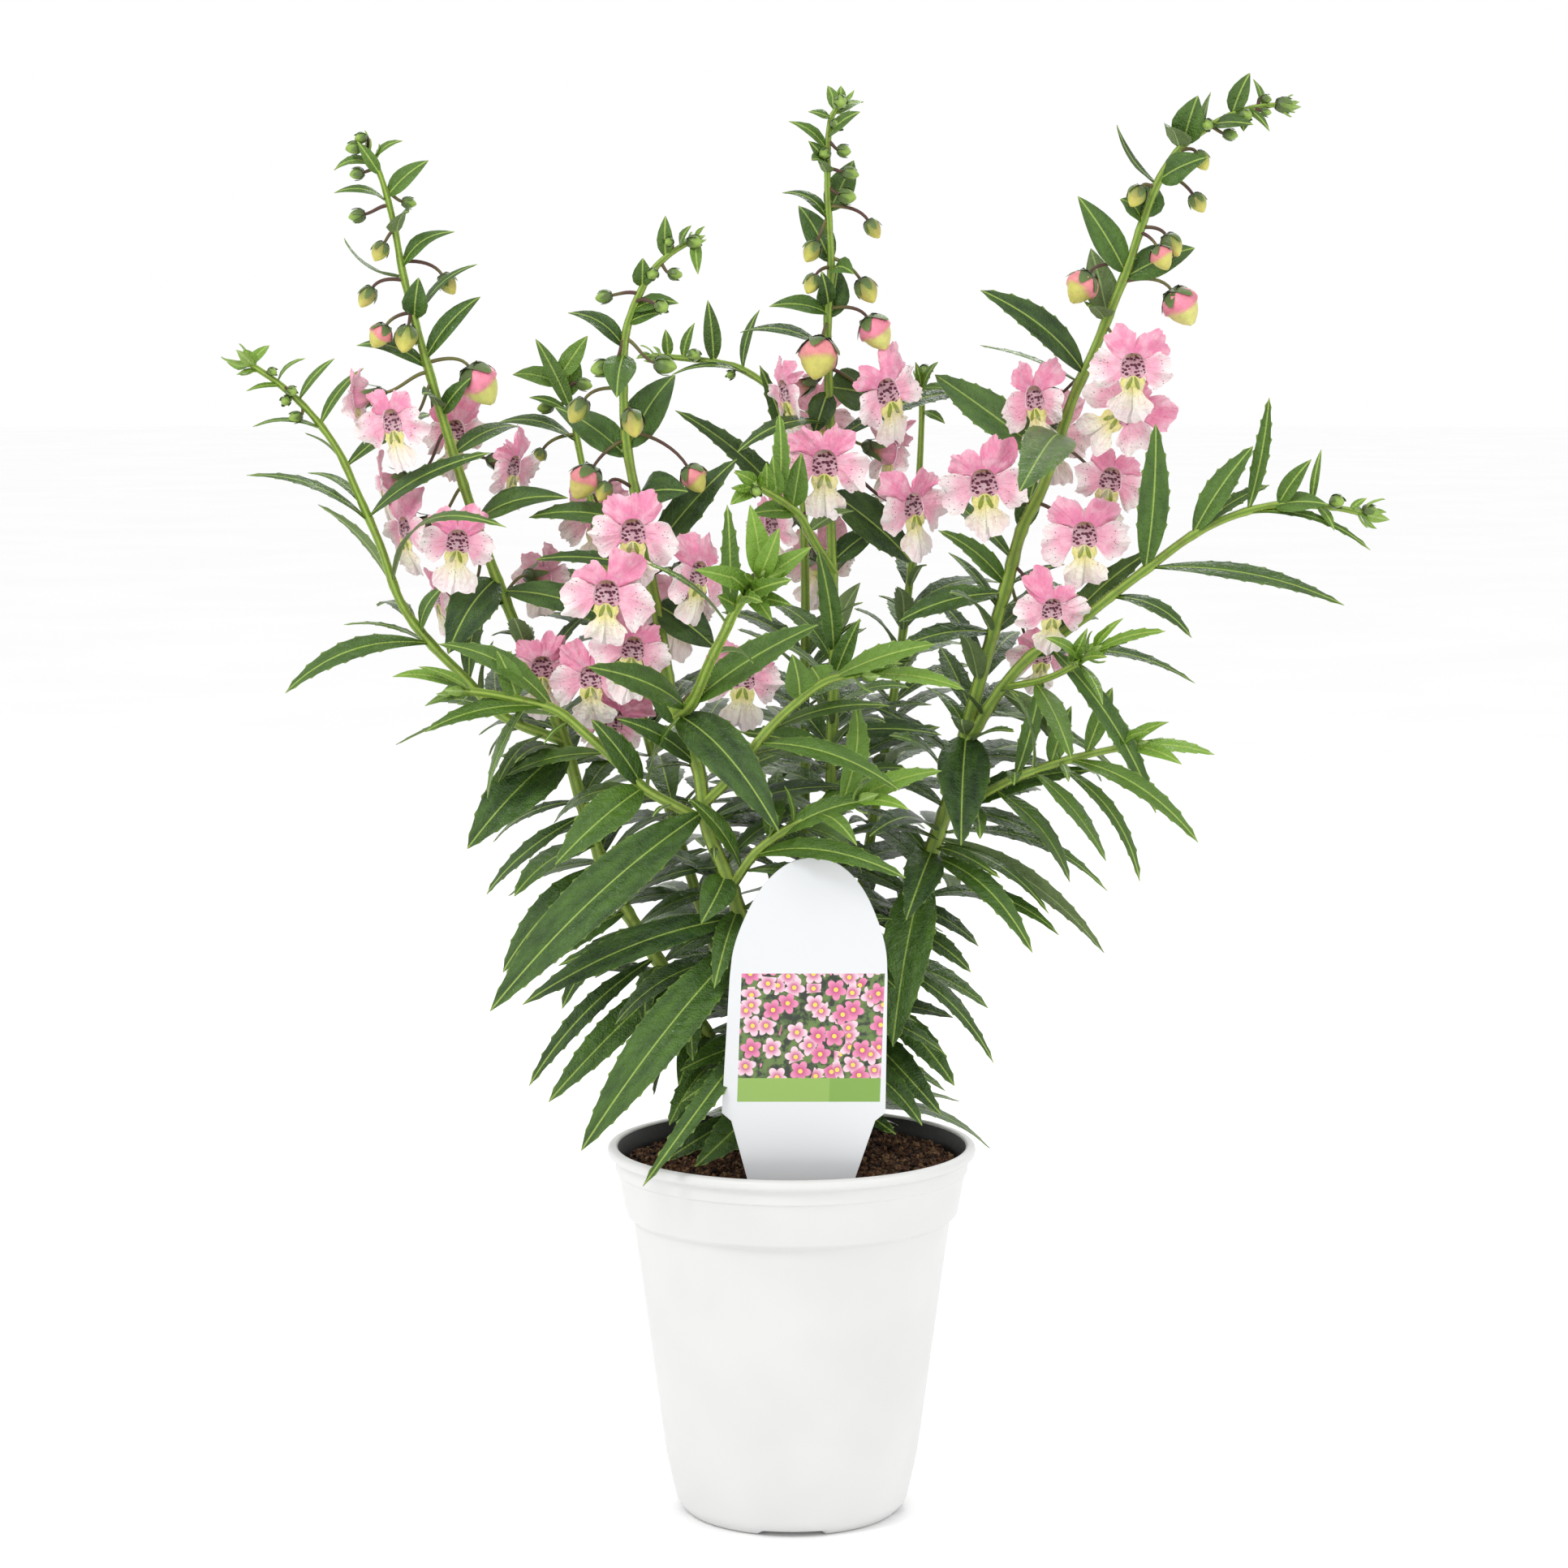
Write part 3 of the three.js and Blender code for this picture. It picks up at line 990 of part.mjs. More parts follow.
PLAN.forEach(({ node, shoots }, index) => {
  shoots.forEach((shoot, order) => {
    const line = centreLine(shoot);
    const points = line.curve.getSpacedPoints(line.steps);
    const radii = points.map((_, k) => line.radiusAt(k / line.steps));
    line.fine.forEach((point, k) => occupy(node, point, line.radiusAt(k / FINE_STEPS)));
    if (order === 0) {
      const foot = points[points.length - 1].clone();
      points.push(new THREE.Vector3(foot.x, foot.y, FOOT_HEIGHT));
      radii.push(shoot.radius[1]);
      const low = new THREE.Vector3(foot.x, foot.y, FOOT_HEIGHT - 2 * FIT_GAP);
      const above = line.fine.filter((point) => point.z > SOIL_HEIGHT + 5).pop();
      feet.push({ points: [low, foot, above], radius: shoot.radius[1] + 2.5 * FIT_GAP });
    }
    growth[index].parts.push(tube(points, radii, 4));
    for (const [fa, fu, ta, tu, depth, width, arch, face] of shoot.leaves) {
      const foot = footOn(line, fa, fu);
      growth[index].leaves.push({ foot, tip: [ta, tu, foot.point.y + depth], width, arch, face });
    }
    if (shoot.rule) {
      growth[index].leaves.push(...spareLeaves(line, shoot.rule, 7 + 10 * index + order));
    }
    for (const [fa, fu, ba, bu, depth, size, stage] of shoot.buds) {
      const foot = footOn(line, fa, fu);
      growth[index].parts.push(bud(node, foot, place(ba, bu, foot.point.y + depth), size, stage));
    }
    for (const [fa, fu, ba, bu, depth, turn, nod, roll, width] of shoot.blooms) {
      const foot = footOn(line, fa, fu);
      const centre = place(ba, bu, foot.point.y + depth);
      const facing = bloomFrame(turn, nod, roll);
      const name = "bloom_" + node.slice(5) + "_" + (growth[index].feet.length + 1);
      growth[index].feet.push(name);
      growth[index].parts.push(calyx(node, foot, centre, facing, width));
      const flower = bloom(centre, facing, width);
      flower.points.forEach((point) => occupy(name, point, 0.6));
      BLOOM_OUTLINE.forEach((_, e) => {
        const middle = flower.points[12 + e].clone().lerp(flower.points[0], 0.35);
        occupy(name, middle, 1);
      });
      blooms.push({ name, made: flower.made });
    }
  });
});

// The tag, the pot's rim and the soil are in the way of the leaves too.
for (let z = SOIL_HEIGHT; z <= 210; z += 4) {
  for (let x = -21; x <= 21; x += 4.2) {
    const edge = z > 190 ? 0.75 * x : x;
    occupy("tag", new THREE.Vector3(TAG.middle + edge + (z - SOIL_HEIGHT) * TAG.lean, TAG.depth, z), 0.6);
  }
}
for (let i = 0; i < 120; i += 1) {
  const angle = (i / 120) * 2 * Math.PI;
  for (const z of [POT_HEIGHT - 1.5, POT_HEIGHT - 5, POT_HEIGHT - 9]) {
    const radius = RIM_RADIUS - 1.8;
    occupy("pot", new THREE.Vector3(radius * Math.cos(angle), radius * Math.sin(angle), z), 2);
  }
}
for (let x = -50; x <= 50; x += 4) {
  for (let y = -50; y <= 50; y += 4) {
    if (Math.hypot(x, y) < 51) {
      occupy("soil", new THREE.Vector3(x, y, SOIL_HEIGHT), CRUMB);
    }
  }
}

const turns = growth.flatMap((stem) => stem.leaves.map((leaf) => ({ stem, leaf })));
turns.sort((a, b) => b.leaf.width - a.leaf.width);
for (const { stem, leaf } of turns) {
  stem.parts.push(blade(bendClear(stem.node, leaf)));
}

addNode("pot", pot(), whitePlastic);
addNode("soil", soil(feet, tagPlate(FIT_GAP)), peat);
addNode("tag", tagPlate(0), labelPlastic);
for (const { node, parts } of growth) {
  addNode(node, wasm.Manifold.union(parts), leafGreen);
}
for (const { name, made } of blooms) {
  addNode(name, made, petalPink);
}

export default plant;
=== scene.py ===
"""Potted summer snapdragon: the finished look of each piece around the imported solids."""

import math
import random

import bpy
import numpy as np
from bpy.props import FloatProperty, FloatVectorProperty, IntProperty, PointerProperty
from mathutils import Euler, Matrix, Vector
from mathutils.bvhtree import BVHTree


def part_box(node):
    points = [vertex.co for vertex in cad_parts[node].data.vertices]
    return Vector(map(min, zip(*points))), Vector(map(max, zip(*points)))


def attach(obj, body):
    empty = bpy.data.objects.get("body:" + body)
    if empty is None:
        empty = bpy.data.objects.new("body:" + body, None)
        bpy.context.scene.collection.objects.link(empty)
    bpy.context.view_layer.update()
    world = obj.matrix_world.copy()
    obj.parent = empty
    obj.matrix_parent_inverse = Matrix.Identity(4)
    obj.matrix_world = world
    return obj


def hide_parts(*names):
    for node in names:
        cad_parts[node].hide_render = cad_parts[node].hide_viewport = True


bl_info = {
    "name": "Potted Summer Snapdragon",
    "version": (1, 0, 0),
    "blender": (4, 5, 0),
    "location": "3D View > Sidebar > Potted plant",
    "description": "Builds a potted summer snapdragon piece by piece around its packed solids",
    "category": "Add Mesh",
}

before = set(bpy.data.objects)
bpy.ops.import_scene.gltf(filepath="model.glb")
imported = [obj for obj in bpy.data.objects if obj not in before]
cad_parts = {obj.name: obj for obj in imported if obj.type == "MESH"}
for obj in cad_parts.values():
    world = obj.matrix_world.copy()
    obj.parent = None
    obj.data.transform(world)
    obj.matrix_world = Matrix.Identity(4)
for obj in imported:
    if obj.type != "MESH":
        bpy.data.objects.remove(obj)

MM = 0.001

# Sizes in millimetres, as the solids have them. Only the collar's foot and the peat's top follow
# the photograph more closely: the solids have them at 91 and 103.
POT_HEIGHT = 115.5
RIM_RADIUS = 57
COLLAR_TOP_RADIUS = 53.9
COLLAR_FOOT_RADIUS = 51.4
COLLAR_FOOT_HEIGHT = 94.2
WALL_TOP_RADIUS = 49.2
WALL_FOOT_RADIUS = 39.2
WALL_FOOT_HEIGHT = 18
WALL = 1.3
FOOT_RING = (25, 33)
FLOOR = (1.8, 3.6)
FOOT_NOTCH = {"width": 16, "height": 1.8, "count": 4}
DRAIN_RADIUS = 4
DRAIN_RING = 19
SOIL_HEIGHT = 103
SOIL_GAP = 0.5
PEAT_HEIGHT = 110.5
FIT_GAP = 0.3
STEM_FOOT_HEIGHT = 84
TAG = {"depth": -38, "thick": 0.8, "middle": 2.4, "lean": 0.036}
TAG_EDGE = (
    (0, 210), (5.5, 208.9), (10.5, 205.8), (15.5, 200), (20, 191), (22.8, 182),
    (23.6, 174), (24.6, 132.5), (21.6, 130), (16, 111.6), (7, 74), (0, 62),
)
BLADE_THICK = 0.7
BLOOM_WIDTH = 27
THROAT_LENGTH = 8
JOINT_PITCH = 1.3

# How deep a leaf's foot sits in its shoot, as a share of the shoot's radius
LEAF_SINK = 0.3

# The steps that a smooth line and a shoot are measured in
PATH_STEPS = 200
SHOOT_STEPS = 240

# The pot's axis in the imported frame
pot_low, pot_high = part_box("pot")
POT_AXIS = Vector(((pot_low.x + pot_high.x) / 2, (pot_low.y + pot_high.y) / 2, pot_low.z))

# The plan is drawn on a board that stands square to the eye's line of sight, as the plant is seen
# from the front: across from the pot's axis, up from its foot, and the depth behind the axis.
EYE = Vector((-2.4, -1240, 372))
EYE_TILT = math.radians(6.65)
EYE_TO_BOARD = 1253
EYE_ON_BOARD = (-2.5, 222)
EYE_LENS = 93.4

# The plan of each stem, as the solids have it. A shoot's path runs from its tip to its foot.
# path: across, up, depth. radius: at the tip and at the foot.
# leaves: foot across and up, tip across and up, tip's depth from the stem, width, arch as a share
# of the length, and how far the upper face turns from the sky (0) to the viewer (90).
# buds: foot across and up, bud across and up, depth from the stem, size, stage (0 green to 3 pink).
# blooms: foot across and up, throat across and up, depth from the stem, turn to the right, nod,
# roll clockwise, and width of the flower.
# rule: spare leaves on the far side: first and last height, spacing, first direction, length, width.
# small_leaves and small_buds: the small repeats that only this script has.
PLAN = [
    {"stem": "stem_front", "radius": (0.7, 2.9), "path": [
        (-30, 390, -8), (-38, 385, -8), (-43, 380, -8), (-47, 373, -8), (-51, 362, -8), (-52, 348, -8),
        (-51, 327, -8), (-48, 310, -9), (-44, 287, -11), (-41, 272, -13), (-37, 248, -16), (-34, 240, -17),
        (-29, 227, -19), (-26, 208, -20), (-21, 196, -20), (-16, 181, -19), (-10, 150, -15), (-6, 120, -11),
        (-5, 98, -10),
    ], "leaves": [
        (-51, 357, -69, 367, 0, 6, 0.18, 35), (-51, 355, -54, 341, -9, 8, 0.1, 70),
        (-50, 325, -36, 348, 6, 10, 0.1, 55), (-51, 325, -73, 338, 2, 9, 0.1, 50),
        (-48, 301, -81, 304, 4, 8, 0.12, 45), (-47, 310, -32, 312, -8, 10, 0.12, 50),
        (-44, 291, -17, 322, 2, 10, 0.08, 55), (-45, 290, -79, 291, 2, 5, 0.1, 40),
        (-41, 277, -24, 264, -3, 11, 0.1, 55), (-33, 227, -54, 242, -10, 7, 0.1, 50),
        (-34, 240, -45, 257, 6, 7, 0.08, 60), (-29, 213, -93, 152, -34, 15, 0.12, 55),
        (-17, 180, -83, 154, -20, 10, 0.15, 50), (-17, 178, -49, 173, -8, 5, 0.12, 30),
        (-17, 179, -72, 166, -14, 8, 0.15, 40), (-17, 173, -65, 109, -40, 14, 0.1, 60),
        (-17, 177, -24, 159, -14, 7.5, 0.12, 70), (-20, 194, -28, 179, -14, 10, 0.12, 70),
        (-11, 146, -46, 98, -40, 6, 0.12, 60), (-9, 136, -34, 124, -16, 8, 0.15, 60),
        (-34, 242, -4, 207, -24, 14, 0.2, 60), (-8, 126, -30, 104, -18, 11, 0.1, 70),
    ], "buds": [
        (-32, 388, -30, 389, -2, 4, 0), (-48, 373, -58, 372, -2, 4, 0), (-47, 370, -40, 369, -13, 4, 0),
        (-49, 359, -39, 351, -4, 5.5, 0), (-52, 358, -59, 350, -4, 5, 0), (-53, 344, -66, 337, -4, 6.5, 1),
        (-51, 336, -49, 333, -9, 7, 1), (-52, 325, -64, 315, -4, 10, 2), (-50, 326, -30, 316, -6, 8, 2),
        (-49, 313, -58, 312, -6, 5, 1),
    ], "blooms": [
        (-47, 305, -49, 300, -19, 0, -5, 0, 27), (-44, 290, -57, 281, -20, -8, -5, 3, 28),
        (-43, 290, -29, 287, -8, 45, -5, 5, 27), (-40, 272, -49, 264, -11, 10, 0, 10, 25),
        (-38, 262, -62, 255, -5, -12, -8, 0, 25), (-37, 255, -55, 242, 10, -10, -8, 20, 25),
        (-33, 246, -15, 255, -2, 10, -5, 5, 26), (-43, 285, -36, 276, 20, 160, -8, 0, 26),
    ], "small_leaves": [
        (-38, 386, -39, 397, -2, 4, 0.1, 50), (-33, 388, -31, 394, 0, 3, 0.1, 40),
        (-48, 372, -46, 384, -4, 5, 0.1, 60), (-32, 387, -29, 379, -2, 3, 0.1, 40),
        (-48, 370, -35, 370, -8, 5.5, 0.15, 40), (-50, 358, -40, 367, -4, 5, 0.1, 50),
    ], "small_buds": [
        (-37, 386, -38, 389, -3, 2.5, 0), (-43, 381, -43, 379, -4, 3.5, 0),
        (-41, 381, -36, 379, -2, 3.5, 0),
    ], "rule": (105, 245, 42, 60, 50, 8.8)},
    {"stem": "stem_front", "radius": (1.1, 1.7), "path": [
        (-103, 251, -28), (-94, 250, -28), (-84, 248, -27), (-73, 245, -26), (-63, 237, -24),
        (-49, 224, -20), (-46, 221, -19), (-28, 211, -19.5),
    ], "leaves": [
        (-101, 251, -123, 255, -4, 5, 0.15, 30), (-85, 248, -91, 263, -6, 7, 0.1, 60),
        (-74, 245, -109, 270, -4, 8, 0.15, 40), (-76, 245, -113, 238, -4, 7, 0.1, 35),
        (-71, 242, -122, 234, 2, 5, 0.1, -30), (-46, 221, -73, 197, -14, 12, 0.15, 55),
        (-46, 221, -62, 242, -2, 8, 0.1, 50),
    ], "small_leaves": [
        (-99, 251, -115, 258, -2, 4, 0.1, 30), (-102, 251, -108, 250, -3, 5, 0.1, 40),
        (-102, 251, -113, 246, 0, 4, 0.1, 40),
    ]},
    {"stem": "stem_front", "radius": (1.2, 1.9), "path": [
        (-9, 286, -68), (-16, 278, -58), (-21, 268, -48), (-25, 260, -38), (-31, 247, -24),
        (-36, 243, -16.5),
    ], "leaves": [
        (-10, 286, -13, 308, -6, 7, 0.1, 75), (-9, 286, -4, 301, -14, 5.5, 0.1, 75),
        (-9, 285, 6, 295, -8, 6, 0.1, 75), (-10, 285, -30, 288, -8, 6, 0.1, 75),
        (-9, 284, -6, 272, -12, 5.5, 0.1, 75), (-19, 271, -45, 290, -16, 4, 0.08, 20),
        (-14, 279, 0, 277, -10, 5, 0.1, 60), (-33, 246, -63, 258, -24, 9, 0.1, 60),
        (-31, 247, 8, 271, -12, 10, 0.1, 55), (-20, 272, -20, 308, -2, 5, 0.08, 60),
    ], "buds": [
        (-9, 286, -9, 286, -2, 4, 0),
    ], "small_leaves": [
        (-10, 286, -19, 286, -14, 4, 0.1, 75), (-9, 285, 0, 285, -14, 5, 0.1, 75),
        (-10, 285, -9, 278, -16, 4, 0.1, 75), (-10, 285, -23, 280, -6, 5.5, 0.1, 70),
        (-24, 263, -12, 259, -8, 4, 0.2, -40),
    ]},
    {"stem": "stem_front", "radius": (1, 1.7), "path": [
        (22, 256, -44), (11, 254, -42), (0, 246, -38), (-8, 238, -34), (-19, 224, -26), (-27, 216, -19.5),
    ], "leaves": [
        (20, 256, 53, 251, 0, 6, 0.1, 30), (14, 255, 44, 273, 6, 7, 0.1, 45),
        (12, 254, 34, 264, -6, 5, 0.1, 40), (9, 253, 6, 266, -10, 10, 0.1, 75),
        (3, 248, 0, 262, -6, 8, 0.1, 60), (-11, 235, 33, 220, -10, 7, 0.12, 40),
        (-8, 238, 30, 246, 4, 5, 0.1, 30),
    ]},
    {"stem": "stem_front", "radius": (1, 1.6), "path": [
        (21, 217, -34), (4, 211, -31), (-10, 202, -27), (-19, 190, -19.5),
    ], "leaves": [
        (-12, 200, 35, 193, -24, 8, 0.15, 35), (-4, 208, 26, 217, -6, 7, 0.1, 50),
        (18, 216, 46, 226, 0, 7, 0.1, 40), (8, 213, 20, 203, -12, 5, 0.15, 40),
        (20, 217, 36, 214, -6, 5, 0.1, 40),
    ]},
    {"stem": "stem_left", "radius": (0.7, 2.6), "path": [
        (-131, 418, 4), (-127, 410, 4), (-123, 396, 4), (-120, 380, 4), (-116, 364, 3), (-110, 343, 2),
        (-104, 323, 2), (-95, 296, 1), (-84, 268, 0), (-71, 238, 0), (-64, 214, 1), (-55, 190, 3),
        (-44, 172, 5), (-28, 148, 7), (-17, 126, 8), (-12, 98, 8),
    ], "leaves": [
        (-128, 413, -141, 411, 0, 3.5, 0.2, 30), (-124, 403, -112, 414, 0, 5.5, 0.1, 50),
        (-125, 402, -141, 404, 0, 3.5, 0.15, 10), (-123, 392, -118, 398, -10, 7, 0.2, 20),
        (-121, 378, -138, 390, 2, 3.5, -0.15, -20), (-119, 381, -104, 392, 0, 5, 0.2, 40),
        (-117, 366, -115, 378, -6, 6.5, 0.15, 60), (-115, 364, -97, 377, 0, 4, 0.12, 20),
        (-112, 354, -96, 372, 0, 5.5, 0.1, 45), (-114, 350, -134, 357, -4, 5, 0.15, 35),
        (-109, 337, -114, 342, -10, 7, 0.2, 10), (-102, 325, -84, 332, 8, 6, 0.15, 30),
        (-95, 304, -69, 320, 10, 8, 0.15, 40), (-88, 282, -54, 271, -6, 9, 0.12, 50),
        (-92, 284, -106, 262, -16, 13, 0.2, 70), (-71, 233, -100, 202, -22, 16, 0.12, 60),
        (-58, 197, -89, 164, -8, 10, 0.12, 50), (-50, 184, -79, 165, -16, 6.5, 0.12, 50),
        (-36, 162, -75, 124, -26, 9.5, 0.12, 55), (-40, 170, -81, 129, -12, 6, 0.12, 50),
        (-26, 145, -35, 129, -18, 9, 0.12, 70), (-24, 138, -36, 113, -6, 10, 0.1, 75),
        (-64, 212, -94, 188, 8, 5.5, 0.12, 40), (-65, 216, -92, 204, 12, 4, 0.12, 30),
        (-15, 120, -39, 106, -10, 6.5, 0.1, 60),
    ], "buds": [
        (-130, 416, -135, 418, -2, 4, 0), (-125, 402, -134, 397, 0, 4, 0), (-123, 392, -127, 386, -3, 5, 1),
        (-119, 382, -106, 376, 0, 5.5, 1), (-121, 378, -131, 372, -2, 5.5, 1),
        (-118, 367, -127, 360, -3, 7, 2), (-116, 366, -119, 359, -5, 7, 1), (-112, 352, -96, 345, 0, 12, 3),
    ], "blooms": [
        (-116, 350, -134, 341, -2, -100, -10, 0, 22), (-113, 345, -123, 334, -12, -35, -8, -8, 26),
        (-112, 349, -104, 331, 14, 30, -5, 0, 24), (-106, 330, -126, 315, 13, -80, -10, 0, 21),
        (-101, 314, -119, 301, 2, -55, -10, 0, 26), (-98, 306, -103, 297, -17, 5, -5, 5, 25),
        (-102, 323, -86, 320, 2, 60, -12, 0, 24), (-97, 296, -109, 280, 6, -70, -12, 0, 22),
        (-88, 280, -77, 286, 14, 150, -5, 0, 22), (-82, 262, -77, 258, -12, 10, -5, 0, 25),
    ], "small_leaves": [
        (-127, 410, -134, 420, -4, 3.5, 0.1, 60), (-128, 414, -120, 420, 0, 3, 0.15, 20),
        (-107, 337, -99, 347, -6, 5.5, 0.1, 50), (-90, 280, -97, 276, -4, 4, 0.1, 40),
    ], "small_buds": [
        (-130, 417, -133, 421, -2, 3, 0), (-129, 411, -134, 410, 0, 3.5, 0),
        (-123, 404, -118, 401, 0, 3.5, 0),
    ], "rule": (115, 250, 42, 120, 48, 8.8)},
    {"stem": "stem_left", "radius": (0.8, 1.7), "path": [
        (-168, 352, 6), (-159, 346, 6), (-149, 337, 6), (-140, 325, 5), (-134, 312, 5), (-127, 296, 4),
        (-120, 277, 3), (-111, 265, 2), (-101, 255, 2), (-89, 243, 1), (-70, 235, 0),
    ], "leaves": [
        (-166, 350, -169, 356, -3, 4, 0.1, 60), (-164, 349, -171, 348, 0, 3, 0.1, 20),
        (-152, 340, -141, 353, 0, 3.5, 0.1, 30), (-144, 332, -166, 332, 0, 3.5, 0.12, 10),
        (-138, 321, -150, 330, 6, 4, 0.1, -30), (-136, 321, -111, 336, -4, 5.5, 0.12, 40),
        (-130, 303, -168, 317, 0, 5, 0.12, 15), (-128, 304, -93, 324, -10, 6, 0.12, 45),
        (-121, 284, -146, 308, 6, 5, 0.1, -40), (-121, 285, -88, 287, -28, 5, 0.18, 30),
        (-111, 266, -156, 250, -6, 7, 0.2, 40), (-112, 265, -138, 271, 10, 3, 0.1, 0),
        (-113, 270, -107, 283, 8, 6, 0.1, 50), (-90, 244, -112, 247, 14, 5, 0.1, 30),
    ], "small_leaves": [
        (-165, 350, -161, 357, 0, 3.5, 0.1, 40), (-159, 345, -150, 353, 0, 2.5, 0.15, 20),
        (-158, 344, -168, 343, 0, 3, 0.1, 30), (-143, 333, -132, 350, 0, 4, 0.1, 30),
    ], "small_buds": [
        (-157, 344, -154, 343, -3, 3, 0), (-156, 344, -156, 340, -2, 3, 0),
        (-151, 338, -153, 335, -2, 3.5, 0), (-162, 348, -160, 349, -2, 2.5, 0),
    ], "rule": (235, 310, 36, 50, 34, 6)},
    {"stem": "stem_centre", "radius": (0.7, 2.4), "path": [
        (15, 432, 4), (12, 427, 4), (11, 417, 4), (11, 403, 4), (12, 381, 4), (11, 366, 4), (11, 356, 4),
        (12, 323, 4), (12, 303, 4), (13, 263, 4), (12, 226, 4), (12, 206, 4), (9, 150, 5), (5, 120, 6),
        (4, 98, 7),
    ], "leaves": [
        (11, 398, 19, 414, 2, 7, 0.08, 60), (11, 382, 2, 400, 0, 7, 0.08, 60),
        (11, 367, -7, 369, -6, 6, 0.15, 40), (12, 366, 14, 381, 6, 8, 0.08, 65),
        (11, 355, -16, 361, 2, 4.5, 0.15, 20), (11, 344, 25, 341, -4, 11, 0.1, 65),
        (11, 343, 7, 330, -2, 7, 0.1, 70), (11, 333, -17, 334, -6, 5.5, 0.12, 30),
        (12, 327, 56, 328, 10, 6, 0.1, 35), (12, 312, 37, 290, -8, 12, 0.12, 60),
        (13, 291, 27, 301, 6, 8, 0.1, 50), (12, 237, 46, 237, -12, 8, 0.08, 35),
        (12, 262, 8, 294, -8, 6, 0.1, 65), (13, 269, 21, 284, 10, 7, 0.1, -60),
        (13, 255, 21, 273, -6, 6, 0.1, 60), (12, 232, -16, 238, -10, 8, 0.1, 50),
        (12, 212, 34, 226, -6, 7, 0.1, 45),
    ], "buds": [
        (14, 431, 15, 432, -3, 4, 0), (11, 412, 18, 410, -2, 4, 0), (11, 406, 17, 403, -3, 4.5, 0),
        (12, 399, 25, 393, -2, 5, 1), (11, 398, 6, 386, -3, 5.5, 1), (11, 381, 6, 376, -5, 5, 1),
        (12, 382, 23, 374, -4, 6.5, 1), (12, 367, 26, 361, -4, 10, 3), (11, 364, 8, 353, -9, 12, 2),
    ], "blooms": [
        (11, 351, -2, 343, -3, -65, -15, 0, 27), (12, 350, 29, 343, -6, 35, -5, -20, 29),
        (12, 332, 10, 321, -18, -3, -5, 0, 29), (12, 330, 30, 324, 14, 120, -15, 0, 25),
        (12, 322, 37, 308, -4, 40, -5, -12, 27), (12, 312, -6, 302, 4, -50, -10, 0, 24),
        (12, 345, 8, 335, 26, 185, -8, 0, 26),
    ], "small_leaves": [
        (12, 430, 11, 437, 0, 3, 0.1, 50), (14, 432, 15, 437, 0, 2.5, 0.1, 50),
        (13, 429, 22, 432, -2, 3.5, 0.1, 40), (12, 429, 5, 429, -2, 3, 0.1, 40),
        (12, 420, 21, 429, 0, 4.5, 0.1, 45), (11, 419, -1, 426, 0, 4, 0.15, 30),
        (11, 413, 5, 420, -3, 4, 0.1, 50), (11, 411, 6, 414, -10, 6, 0.2, 10),
        (11, 398, -3, 404, 0, 4.5, 0.2, 25), (12, 381, 19, 379, -10, 6, 0.2, 50),
        (11, 368, 9, 380, -4, 4.5, 0.1, 60),
    ], "small_buds": [
        (12, 425, 14, 425, -3, 3.5, 0), (11, 420, 16, 417, -3, 3.5, 0), (11, 419, 10, 416, -3, 3.5, 0),
    ], "rule": (110, 300, 44, 30, 50, 8.8)},
    {"stem": "stem_centre", "radius": (1, 1.6), "path": [
        (-12, 314, -32), (-6, 311, -24), (2, 305, -14), (6, 298, -6), (13, 287, 4),
    ], "leaves": [
        (-4, 310, -4, 336, -4, 4.5, 0.08, 60), (0, 307, 3, 324, -6, 7, 0.1, 65),
        (1, 306, -13, 305, -8, 7, 0.1, 50),
    ], "small_leaves": [
        (-10, 313, -18, 318, -4, 4.5, 0.1, 60), (-8, 312, -8, 321, -3, 4, 0.1, 60),
        (-4, 311, -6, 323, 0, 5, 0.1, 60), (-11, 313, -19, 308, -4, 5, 0.1, 50),
        (7, 301, 19, 306, -6, 5.5, 0.15, -50), (-12, 314, -17, 312, -4, 4, 0.1, 60),
    ], "small_buds": [
        (-12, 314, -11, 312, -4, 3, 0),
    ]},
    {"stem": "stem_right", "radius": (0.7, 2.9), "path": [
        (153, 431, -4), (146, 431, -4), (135, 428, -4), (122, 420, -3), (118, 416, -3), (113, 408, -2),
        (108, 395, -1), (103, 380, 0), (99, 370, 0), (92, 353, 1), (87, 342, 1), (77, 313, 2), (71, 301, 2),
        (66, 283, 2), (57, 251, 3), (48, 216, 4), (44, 204, 4), (38, 188, 4), (24, 150, 5), (15, 122, 6),
        (12, 98, 6),
    ], "leaves": [
        (126, 424, 129, 440, 0, 3, 0.05, 10), (136, 429, 141, 441, -2, 5, 0.1, 60),
        (119, 420, 125, 434, -4, 8, 0.1, 60), (119, 418, 116, 424, -10, 8, 0.2, 10),
        (112, 408, 100, 425, 2, 3, -0.1, 10), (114, 408, 128, 415, -4, 8, 0.1, 60),
        (108, 396, 111, 407, 5, 8, 0.1, 65), (107, 395, 101, 402, -10, 8, 0.2, 20),
        (101, 380, 88, 403, -4, 8, 0.1, 60), (97, 367, 92, 387, 5, 8, 0.05, -60),
        (103, 379, 124, 387, -4, 8.5, 0.12, 55), (97, 366, 91, 369, -9, 8, 0.2, -20),
        (88, 349, 58, 366, -6, 9.5, 0.1, 60), (87, 346, 58, 357, 10, 3, 0.05, 0),
        (80, 322, 44, 348, 8, 11.5, 0.05, 60), (83, 330, 70, 312, -32, 14, 0.1, 60),
        (68, 291, 41, 313, 10, 6, 0.08, 20), (71, 300, 75, 316, 10, 7, 0.1, 50),
        (66, 284, 45, 300, 4, 7, 0.1, 45), (65, 280, 33, 272, -4, 8, 0.1, 45),
        (62, 268, 30, 262, -10, 7, 0.1, 40), (48, 212, 92, 226, -12, 8, 0.1, 45),
